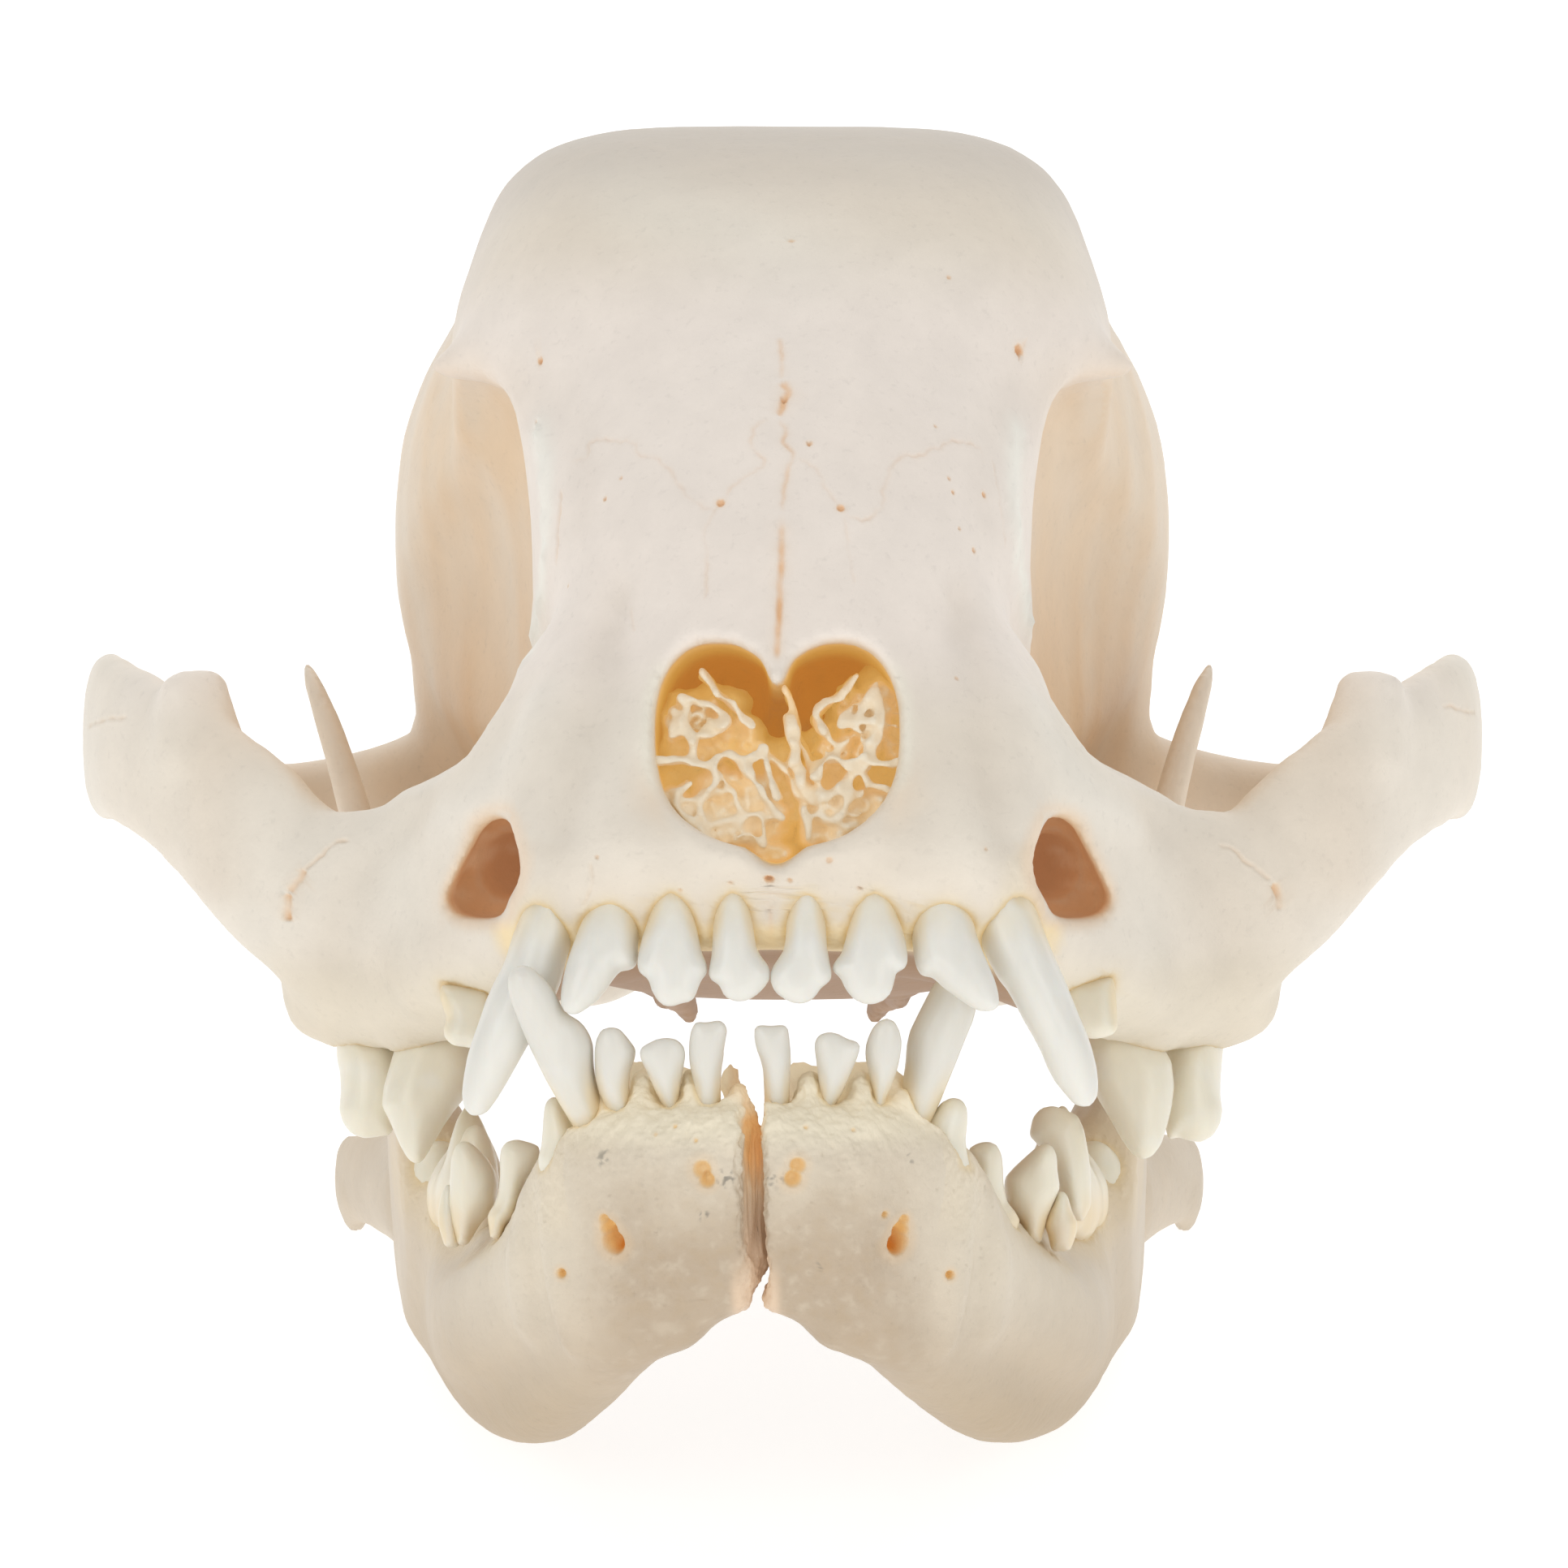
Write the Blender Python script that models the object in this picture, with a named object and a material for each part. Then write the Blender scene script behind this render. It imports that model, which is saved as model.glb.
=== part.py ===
"""A short-faced dog's skull, life size: the cranium with its upper teeth and the two halves of the lower jaw with theirs, resting on the bellies of the jaws and their angular processes.

The bones are described in the skull's own frame in millimetres: x to the observer's right, y from the front teeth towards the back of the head, z up, with 0 at the height of the nose floor. Each is a soft union of rounded masses, bars swept along curves and thin plates, cut by the orbits, the nose, the canals and the joint hollows. STAND then tips the whole nose up, so that it rests on the jaws, and lays it on the floor."""
import math

import bpy
import numpy as np
import openvdb

for obj in list(bpy.data.objects):
    bpy.data.objects.remove(obj, do_unlink=True)

# ---------------------------------------------------------------- driving sizes, mm and degrees
TILT = 14.9            # nose up, from the skull's own frame to its rest on the jaws
CELL = 0.62            # grid that the bones are meshed on
FLAT = 0.35            # taken off the lowest points, as the small worn flats it stands on
TRIANGLES = {"cranium": 6400, "mandible": 1650}
JOINT_GAP = 0.35       # between the jaw's condyle and its hollow
SYMPHYSIS_GAP = 1.5    # between the two halves of the lower jaw at the chin

# ---------------------------------------------------------------- shapes as distance fields
def smin(a, b, k):
    if k <= 0: return np.minimum(a, b)
    h = np.maximum(k - np.abs(a - b), 0.0) / k
    return np.minimum(a, b) - h * h * k * 0.25

def smax(a, b, k):
    return -smin(-a, -b, k)

def rot(rx=0, ry=0, rz=0):
    rx, ry, rz = np.radians([rx, ry, rz])
    cx, sx, cy, sy, cz, sz = np.cos(rx), np.sin(rx), np.cos(ry), np.sin(ry), np.cos(rz), np.sin(rz)
    X = np.array([[1,0,0],[0,cx,-sx],[0,sx,cx]])
    Y = np.array([[cy,0,sy],[0,1,0],[-sy,0,cy]])
    Z = np.array([[cz,-sz,0],[sz,cz,0],[0,0,1]])
    return Z @ Y @ X

class Blob:
    """Rounded solid: a superellipsoid with radii r, exponent n across x-z and m along y, turned by R."""
    def __init__(s, c, r, n=2.0, m=2.0, R=None):
        s.c, s.r, s.n, s.m = np.array(c, float), np.array(r, float), n, m
        s.R = np.eye(3) if R is None else R
        e = np.abs(s.R) @ s.r
        s.lo, s.hi = s.c - e, s.c + e
    def __call__(s, x, y, z):
        x, y, z = x - s.c[0], y - s.c[1], z - s.c[2]
        R = s.R
        u = np.abs(R[0,0]*x + R[1,0]*y + R[2,0]*z) / s.r[0] + 1e-6
        v = np.abs(R[0,1]*x + R[1,1]*y + R[2,1]*z) / s.r[1] + 1e-6
        w = np.abs(R[0,2]*x + R[1,2]*y + R[2,2]*z) / s.r[2] + 1e-6
        if s.n == 2.0 and s.m == 2.0:
            k0 = np.sqrt(u*u + v*v + w*w)
            k1 = np.sqrt((u/s.r[0])**2 + (v/s.r[1])**2 + (w/s.r[2])**2)
            return k0 * (k0 - 1.0) / k1
        n, m = s.n, s.m
        A = (u**n + w**n)**(1.0/n)
        k0 = (A**m + v**m)**(1.0/m)
        gA = (A/k0)**(m-1)
        gu = gA * (u/A)**(n-1) / s.r[0]
        gw = gA * (w/A)**(n-1) / s.r[2]
        gv = (v/k0)**(m-1) / s.r[1]
        return (k0 - 1.0) / np.sqrt(gu*gu + gw*gw + gv*gv)

def spline(P, per=4):
    """Points on a Catmull-Rom curve through the rows of P, so many to a span."""
    P = np.asarray(P, float)
    if len(P) < 3:
        t = np.linspace(0, 1, per + 1)[:, None]
        return P[0] * (1 - t) + P[-1] * t
    Q = np.vstack([2*P[0]-P[1], P, 2*P[-1]-P[-2]])
    out = []
    for i in range(1, len(Q)-2):
        p0, p1, p2, p3 = Q[i-1], Q[i], Q[i+1], Q[i+2]
        for j in range(per):
            t = j / per
            out.append(0.5*((2*p1) + (p2-p0)*t + (2*p0-5*p1+4*p2-p3)*t*t + (3*p1-p0-3*p2+p3)*t**3))
    out.append(P[-1])
    return np.array(out)

class Tube:
    """A bar swept along a curve: rows of (x, y, z, half width, half height). up is what its height points along."""
    def __init__(s, rows, up=(0,0,1), per=4, n=2.0, cap=1.0):
        rows = np.asarray(rows, float)
        D = spline(rows, per)
        s.P, s.ra, s.rb = D[:, :3], np.maximum(D[:, 3], 0.15), np.maximum(D[:, 4], 0.15)
        s.n, s.cap = n, cap
        T = np.gradient(s.P, axis=0); T /= np.linalg.norm(T, axis=1)[:, None]
        up = np.asarray(up, float)
        S = np.cross(T, up); S /= np.linalg.norm(S, axis=1)[:, None] + 1e-9
        U = np.cross(S, T)
        s.T, s.S, s.U = T, S, U
        e = np.maximum(s.ra, s.rb)[:, None]
        s.lo, s.hi = (s.P - e).min(0), (s.P + e).max(0)
    def near(s, x, y, z):
        best = np.full(x.shape, 1e9); bi = np.zeros(x.shape, np.int32); bt = np.zeros(x.shape)
        for i in range(len(s.P) - 1):
            a, b = s.P[i], s.P[i+1]; d = b - a; L = d @ d + 1e-12
            t = np.clip(((x-a[0])*d[0] + (y-a[1])*d[1] + (z-a[2])*d[2]) / L, 0, 1)
            q = (x-a[0]-t*d[0])**2 + (y-a[1]-t*d[1])**2 + (z-a[2]-t*d[2])**2
            m = q < best
            best = np.where(m, q, best); bi = np.where(m, i, bi); bt = np.where(m, t, bt)
        return best, bi, bt
    def __call__(s, x, y, z):
        _, i, t = s.near(x, y, z)
        L = lambda A: A[i] * (1-t) + A[i+1] * t
        px, py, pz = x - L(s.P[:,0]), y - L(s.P[:,1]), z - L(s.P[:,2])
        ra, rb = L(s.ra), L(s.rb)
        a = px*L(s.S[:,0]) + py*L(s.S[:,1]) + pz*L(s.S[:,2])
        b = px*L(s.U[:,0]) + py*L(s.U[:,1]) + pz*L(s.U[:,2])
        l = px*L(s.T[:,0]) + py*L(s.T[:,1]) + pz*L(s.T[:,2])
        rl = np.minimum(ra, rb) * s.cap
        ends = ((i == 0) & (t <= 0)) | ((i == len(s.P)-2) & (t >= 1))
        u, v, w = np.abs(a)/ra + 1e-6, np.abs(b)/rb + 1e-6, np.where(ends, np.abs(l), 0.0)/rl
        if s.n != 2.0:
            A = (u**s.n + v**s.n)**(1.0/s.n)
            k0 = np.sqrt(A*A + w*w)
            gu = (A/k0)*(u/A)**(s.n-1)/ra; gv = (A/k0)*(v/A)**(s.n-1)/rb; gw = (w/k0)/rl
            return (k0 - 1.0) / np.sqrt(gu*gu + gv*gv + gw*gw)
        k0 = np.sqrt(u*u + v*v + w*w)
        k1 = np.sqrt((u/ra)**2 + (v/rb)**2 + (w/rl)**2)
        return k0 * (k0 - 1.0) / k1

def outline_distance(P, a, b):
    """Signed distance in the plane from points (a, b) to the closed outline P."""
    d = (a - P[0,0])**2 + (b - P[0,1])**2
    s = np.ones(a.shape)
    j = len(P) - 1
    for i in range(len(P)):
        ex, ey = P[j,0]-P[i,0], P[j,1]-P[i,1]
        wx, wy = a-P[i,0], b-P[i,1]
        t = np.clip((wx*ex + wy*ey) / (ex*ex + ey*ey + 1e-12), 0, 1)
        bx, by = wx - ex*t, wy - ey*t
        d = np.minimum(d, bx*bx + by*by)
        c1, c2, c3 = b >= P[i,1], b < P[j,1], ex*wy > ey*wx
        s = np.where((c1 & c2 & c3) | (~c1 & ~c2 & ~c3), -s, s)
        j = i
    return s * np.sqrt(d)

class Plate:
    """A thin bone plate: an outline in y-z, its middle at x = mid(y, z), half as thick as half(y, z), with edges rounded by r."""
    def __init__(s, outline, mid, half, r=1.0, per=3, xr=(0, 60), axes="yz"):
        P = np.asarray(outline, float)
        Q = spline(np.vstack([P[-1], P, P[:2]]), per)[per:-per]
        keep = [0]
        for i in range(1, len(Q)):
            if np.hypot(*(Q[i]-Q[keep[-1]])) > 1e-6: keep.append(i)
        s.Q = Q[keep]
        if np.hypot(*(s.Q[0]-s.Q[-1])) < 1e-6: s.Q = s.Q[:-1]
        s.mid, s.half, s.r, s.axes = mid, half, r, axes
        lo, hi = s.Q.min(0), s.Q.max(0)
        if axes == "yz":
            s.lo, s.hi = np.array([xr[0], lo[0], lo[1]]), np.array([xr[1], hi[0], hi[1]])
        elif axes == "xz":
            s.lo, s.hi = np.array([lo[0], xr[0], lo[1]]), np.array([hi[0], xr[1], hi[1]])
        else:
            s.lo, s.hi = np.array([lo[0], lo[1], xr[0]]), np.array([hi[0], hi[1], xr[1]])
    def __call__(s, x, y, z):
        if s.axes == "yz": a, b, c = y, z, x
        elif s.axes == "xz": a, b, c = x, z, y
        else: a, b, c = x, y, z
        d2 = outline_distance(s.Q, a, b)
        dx = np.abs(c - s.mid(a, b)) - s.half(a, b)
        q1, q2 = d2 + s.r, dx + s.r
        return np.minimum(np.maximum(q1, q2), 0) + np.sqrt(np.maximum(q1, 0)**2 + np.maximum(q2, 0)**2) - s.r

class Half:
    """Everything on the inner side of a plane through p facing n."""
    def __init__(s, p, n):
        s.p = np.array(p, float); s.nn = np.array(n, float); s.nn /= np.linalg.norm(s.nn)
        s.lo, s.hi = np.full(3, -1e9), np.full(3, 1e9)
    def __call__(s, x, y, z):
        return (x-s.p[0])*s.nn[0] + (y-s.p[1])*s.nn[1] + (z-s.p[2])*s.nn[2]

class Line:
    """A low ridge (high > 0) or groove along a curve of rows (x, y, z), so wide."""
    def __init__(s, rows, high, wide, per=4, fade=True):
        s.P = spline(np.asarray(rows, float), per)
        s.high, s.wide, s.fade = high, wide, fade
        s.lo, s.hi = s.P.min(0) - 2.6*wide, s.P.max(0) + 2.6*wide
    def __call__(s, x, y, z):
        best = np.full(x.shape, 1e9); at = np.zeros(x.shape)
        n = len(s.P) - 1
        for i in range(n):
            a, b = s.P[i], s.P[i+1]; d = b - a; L = d @ d + 1e-12
            t = np.clip(((x-a[0])*d[0] + (y-a[1])*d[1] + (z-a[2])*d[2]) / L, 0, 1)
            q = (x-a[0]-t*d[0])**2 + (y-a[1]-t*d[1])**2 + (z-a[2]-t*d[2])**2
            m = q < best
            best = np.where(m, q, best); at = np.where(m, (i+t)/n, at)
        f = np.clip(4*np.minimum(at, 1-at) + 0.15, 0, 1) if s.fade else 1.0
        return s.high * f * np.exp(-best / s.wide**2)

class Field:
    """Steps applied in order to a grid: add, cut, keep (meet), raise."""
    def __init__(s): s.steps = []
    def add(s, f, k=2.0): s.steps.append(("add", f, k)); return s
    def cut(s, f, k=1.0): s.steps.append(("cut", f, k)); return s
    def keep(s, f, k=1.0): s.steps.append(("keep", f, k)); return s
    def lift(s, f): s.steps.append(("lift", f, 0)); return s
    def bounds(s, extra=3.0):
        lo = np.min([f.lo for o, f, k in s.steps if o == "add"], 0) - extra
        hi = np.max([f.hi for o, f, k in s.steps if o == "add"], 0) + extra
        return lo, hi
    def fill(s, xs, ys, zs, far=8.0):
        D = np.full((len(xs), len(ys), len(zs)), far, np.float32)
        h = xs[1] - xs[0]
        for op, f, k in s.steps:
            m = k + 3*h
            i0, i1 = np.searchsorted(xs, [f.lo[0]-m, f.hi[0]+m])
            j0, j1 = np.searchsorted(ys, [f.lo[1]-m, f.hi[1]+m])
            k0, k1 = np.searchsorted(zs, [f.lo[2]-m, f.hi[2]+m])
            if i0 >= i1 or j0 >= j1 or k0 >= k1: continue
            step = max(1, int(2.0e6 / ((j1-j0)*(k1-k0))))
            Y, Z = ys[j0:j1][None, :, None], zs[k0:k1][None, None, :]
            for i in range(i0, i1, step):
                e = min(i+step, i1)
                X = xs[i:e][:, None, None]
                V = D[i:e, j0:j1, k0:k1]
                x, y, z = np.broadcast_arrays(X, Y, Z)
                if op in ("cut", "lift", "keep"):
                    M = V < (k + 4*h + 2.5)
                    if not M.any(): continue
                    v = V[M].astype(float)
                    d = f(x[M], y[M], z[M])
                    if op == "cut": v = smax(v, -d, k)
                    elif op == "keep": v = smax(v, d, k)
                    else: v = v - d
                    V[M] = v
                else:
                    d = f(x, y, z)
                    D[i:e, j0:j1, k0:k1] = smin(V.astype(float), d, k)
        return D
    def at(s, P):
        """The field at rows of points."""
        P = np.asarray(P, float)
        v = np.full(len(P), 8.0)
        for op, f, k in s.steps:
            m = k + 2.5
            M = ((P > f.lo - m) & (P < f.hi + m)).all(1)
            if not M.any(): continue
            d = f(P[M,0], P[M,1], P[M,2])
            if op == "add": v[M] = smin(v[M], d, k)
            elif op == "cut": v[M] = smax(v[M], -d, k)
            elif op == "keep": v[M] = smax(v[M], d, k)
            else: v[M] = v[M] - d
        return v

# ---------------------------------------------------------------- the bones
def cranium(teeth=True, detail=False):
    F = Field()
    a, c, k = F.add, F.cut, F.keep
    # ---- braincase and forehead
    a(Blob((0, 87, 20), (30.9, 35.5, 27.0), 2.3, 2.2), 0)
    a(Blob((0, 66, 24.5), (24.3, 35, 26.2), 4.4, 2.5), 5)
    a(Blob((0, 96, 16), (27, 26, 22), 2.4, 2.4), 5)
    # skull base
    a(Tube([(0, 44, -9, 7, 4), (0, 60, -7, 8, 5), (0, 80, -6, 9.5, 5), (0, 100, -5.5, 10, 5), (0, 116, -4.5, 8, 4.5)], n=2.6), 5)
    a(Blob((0, 84, 2), (22, 28, 11)), 6)
    # ---- nose, brow and upper face
    a(Blob((0, 52, 31), (24.4, 21.0, 13), 2.6, 2.2), 5)
    a(Tube([(0, 14.5, 1.5, 10.5, 8.5), (0, 20, 6, 13.2, 11.0), (0, 27, 12, 16.4, 14), (0, 36, 18, 19, 17), (0, 46, 22, 20.5, 18)], n=2.2, cap=0.5), 5)
    a(Blob((0, 50, 6), (22, 22, 19), 2.6, 2.2), 4)
    # lower face
    a(Blob((0, 26, -3.5), (19.5, 19.5, 10), 2.3, 2.1), 6)
    a(Tube([(8, 20, -2, 6, 8), (13, 23, -2, 6.4, 9), (19, 28, -3.5, 6.2, 9.4), (26, 33, -6.5, 5, 8.6), (33, 37.5, -8.6, 4, 7.2)], n=2.3), 7)
    # ---- orbit and temporal hollow
    c(Tube([(36.8, 31.8, 15.5, 18.8, 17), (37.2, 38, 15, 19.4, 17.4), (38, 45, 13, 20.5, 18.5), (41, 55, 9, 21, 20), (45, 68, 6, 19.5, 18), (50, 80, 5, 19, 14)], n=3.0, cap=0.1), 1.4)
    # postorbital process and brow edge
    a(Tube([(16, 42.5, 34.5, 6, 4), (20.5, 43.5, 33.2, 4, 2.6), (23.6, 45.2, 31.8, 1.7, 1.3)], n=2.2), 4)
    # ---- upper jaw
    a(Tube([(0, 8.0, -5.3, 4.0, 3.4), (6, 8.4, -5.2, 4.1, 3.8), (12, 11.0, -5.8, 4.6, 4.6), (17, 17.6, -9, 4.9, 5.4), (22.5, 28, -12, 5, 6.0), (28, 37, -14, 5, 5.6), (30, 46, -15.6, 4.2, 4.4), (27, 54, -16.5, 3.4, 3.6)], n=2.4), 3)
    a(Tube([(13.0, 11, -6, 3.4, 4), (13.4, 16.5, 1, 3.0, 4), (13.6, 23.5, 8, 2.6, 4.0)]), 5)
    a(Blob((0, 30, -8.5), (19, 24, 4.6), 3, 2.4, rot(rx=-14)), 3)
    # ---- cheek arch
    a(Tube([(32, 35.5, -9.2, 3.8, 7.0), (36, 37.6, -6.6, 3.4, 7.0), (40.5, 41, -3.4, 3.0, 6.4), (45.2, 46.5, 0.4, 2.6, 6.0), (49.8, 54, 3, 2.3, 6.0), (51.9, 63, 3.6, 2.2, 6.4), (51.4, 73, 2.2, 2.3, 5.0), (47.6, 82, -0.6, 2.8, 4.2), (41, 89, -2.4, 4.2, 4.0), (32, 92, -1.5, 5.5, 4.5), (24, 92, 0, 6, 6)], n=2.4), 2)
    a(Tube([(43.2, 44.5, 2, 3.0, 2.4), (44.4, 45.6, 7.0, 2.3, 1.9)], up=(0.5, 1, 0), n=2.6), 2.5)
    a(Tube([(30.5, 94, -4, 3.0, 2.4), (32, 94.2, -9.5, 2.6, 1.6)], up=(0, 1, 0)), 2)
    # jaw joint hollow
    c(Tube([(25.5, 87.4, -8.2, 3.5, 3.5), (45.5, 87.8, -7.8, 3.5, 3.5)]), 0.5)
    # ---- pterygoids and hamuli
    a(Tube([(9, 50, -10, 1.6, 6), (9, 60, -10.5, 1.3, 7), (8.6, 70, -10, 1.3, 7), (8.4, 76, -8, 1.4, 5)], n=2.4), 2)
    a(Tube([(8, 67, -15, 1.1, 2.0), (7.2, 72.5, -18, 0.9, 0.9)]), 1.5)
    # ---- bullae, occiput
    a(Blob((16.5, 100, -8), (9.0, 11.5, 10.2), 2, 2, rot(rz=18)), 2.5)
    a(Tube([(0, 116.5, 31, 2.8, 3.4), (10, 116, 29, 2.6, 2.8), (19, 113, 22, 2.4, 2.6), (25.5, 109, 12, 2.4, 2.6), (28, 105, 3, 2.8, 3)], n=2), 3.5)
    a(Tube([(19, 110, -2, 3.4, 3.2), (20.5, 113, -9, 2.6, 2.4), (20.2, 113.5, -14, 1.6, 1.6)], up=(0, 1, 0)), 2.5)
    a(Blob((8.2, 120.5, 0), (4.6, 5.6, 7.4), 2, 2, rot(rz=-26, rx=12)), 2)
    F.lift(Line([(0, 96, 48.5), (0, 104, 45), (0, 112, 39), (0, 116, 33)], 0.9, 2.0))
    # foramen magnum
    c(Blob((0, 122, 5.5), (7.6, 13, 6.6)), 1)
    # ---- openings
    c(Blob((4.9, 14, 3.6), (4.6, 36, 6.4), 2.3, 3), 1.0)
    c(Tube([(0, 0, -2.6, 3.4, 3.0), (0, 34, -1.6, 4.4, 3.4)], n=2), 1.4)
    c(Blob((2, 14, 2), (4.8, 32, 5.2), 2.2, 3), 1.0)
    # infraorbital canal
    c(Tube([(19.0, 14, -8.4, 3.0, 3.2), (20.6, 24, -7.4, 2.6, 3.4), (23.5, 41, -3, 2.6, 3.2)], n=2.2), 1)
    c(Tube([(19.2, 16, -5.0, 1.5, 3.8), (21, 26, -4.6, 1.5, 3.2)]), 1.5)
    # choanae
    c(Tube([(0, 56, -13, 6.6, 4.8), (0, 66, -13.5, 6.6, 5), (0, 84, -15, 6.8, 5)], n=2.6), 1.5)
    # ear canal
    c(Tube([(34, 100, -3, 2.6, 2.6), (24, 100, -4, 2.6, 2.6)]), 0.8)
    return F

def mandible(teeth=True):
    F = Field()
    a, c, k = F.add, F.cut, F.keep
    # body: rows of x, y, z, half thickness, half height
    a(Tube([(-6, 7.6, -30.6, 3.6, 8.4), (0, 7.6, -30.6, 3.6, 8.4), (4.4, 8.4, -30.8, 3.6, 8.4), (7.4, 9.9, -31.2, 3.8, 8.6), (11, 14, -32.6, 4.1, 8.8), (14.4, 23, -36, 4.2, 8.8), (17.4, 34, -39.4, 4.3, 9.0), (20.4, 46, -39.6, 4.4, 9.0), (23.4, 58, -36.6, 4.0, 9.6), (26, 68, -33, 3.0, 9.6)], up=(0, -0.35, 1), n=2.6), 0)
    # ramus
    mid = lambda y, z: 25.8 + 0.17*(z+35)*(z > -35) + 0.0026*np.maximum(z+10, 0)**2 + 0.05*(y-70)
    half = lambda y, z: 1.55 - 0.022*np.clip(z+10, -25, 20)
    a(Plate([(53, -34), (58, -22), (62, -10), (65.5, 2), (69, 8.6), (73.5, 9.6), (77.5, 6.5), (80, 0), (81.5, -6), (85, -8.5), (91, -9), (91, -15), (89.5, -22), (92, -28), (95, -32.5), (91, -36.5), (83, -38.2), (73, -40.6), (60, -41.6)], mid, half, r=1.1, xr=(20, 42)), 3)
    # condyle
    a(Tube([(28.5, 87.2, -8.6, 2.2, 2.6), (35, 87.6, -8.0, 3.0, 3.1), (42.4, 87.8, -7.9, 2.3, 2.6)]), 2)
    a(Tube([(35, 88, -10, 3.2, 4), (32, 87, -18, 1.8, 4)], up=(0, 1, 0)), 2)
    # angular process
    a(Tube([(28.5, 82, -33, 2.2, 4), (31.4, 90, -32, 2.0, 3.8), (34, 95.5, -31.8, 1.3, 3.4)]), 2)
    a(Tube([(33.4, 94, -33, 1.3, 1.6), (33.6, 95.8, -35.6, 0.9, 0.9)]), 1)
    # hollow of the jaw muscle on the outer face
    c(Blob((36.5, 73, -14), (8.4, 9.5, 15), 2, 2), 2.5)
    k(Half((0.75, 0, 0), (-1, 0, 0)), 1.2)
    return F

# ---- teeth, measured from the middle of their own jaw, right side
def cone(p, q, w, d, turn=0, root=3.5, neck=0.7, tip=0.4, bow=0.0):
    """One crown: gum centre p, tip q, half breadth w, half depth d, turn of its breadth about its axis."""
    p, q = np.array(p, float), np.array(q, float)
    ax = (q - p) / np.linalg.norm(q - p)
    t = np.radians(turn)
    up = np.array((-np.sin(t), np.cos(t), 0))
    end = min(w*tip, d*tip)
    q = q - ax*end
    L = np.linalg.norm(q - p)
    f = lambda s, a, b: (*(p + (q - p)*s + up*bow*np.sin(np.pi*s)), w*a, d*b)
    rows = [f(-root/L, neck*0.85, 0.75), f(-0.08, neck, 0.9), f(0.3, neck + (1-neck)*0.8, 1.0), f(0.62, 0.98, 0.82), f(0.86, 0.62 + 0.38*tip, 0.4 + 0.4*tip), f(1.0, tip, tip)]
    return Tube(rows, up=up, n=2.2)

# name: gum centre, tip, half breadth, half depth, turn, neck, tip, bow
UPPER = {
    "I1": ((2.2, 6.4, -8.2), (2.3, 4.0, -15.8), 2.1, 2.1, 0, 0.62, 0.62, -0.3),
    "I2": ((6.9, 6.8, -8.2), (7.1, 4.3, -16.0), 2.45, 2.3, 6, 0.62, 0.58, -0.3),
    "I3": ((11.9, 7.8, -8.2), (14.4, 5.0, -16.7), 2.2, 2.3, 24, 0.78, 0.36, -0.3),
    "C":  ((16.4, 12.6, -8.6), (21.7, 10.8, -23.6), 2.35, 3.1, 30, 1.0, 0.28, -0.9),
}
LOWER = {
    "i1": ((2.2, 6.6, -22.6), (2.3, 4.9, -16.8), 1.35, 1.9, 0, 0.7, 0.62, -0.2),
    "i2": ((5.9, 7.2, -22.8), (6.1, 5.2, -17.6), 1.75, 2.1, 5, 0.66, 0.6, -0.2),
    "i3": ((9.2, 8.4, -23.0), (9.8, 6.2, -17.0), 1.6, 2.3, 12, 0.7, 0.5, -0.2),
    "c right": ((11.8, 11.8, -25.2), (15.2, 11.0, -13.4), 2.0, 2.5, 24, 1.05, 0.3, -0.5),
    "c left": ((11.0, 10.6, -25.2), (16.5, 5.0, -12.4), 2.0, 2.6, 24, 1.05, 0.3, -0.8),
    "p1": ((14.0, 16.6, -28.0), (14.6, 15.6, -23.0), 1.9, 1.7, 60, 0.8, 0.4, 0),
}
def crowns(F, parts, k=1.0):
    """Many-cusped crown: a list of blobs and cones joined softly."""
    for f in parts: F.add(f, k)

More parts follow.
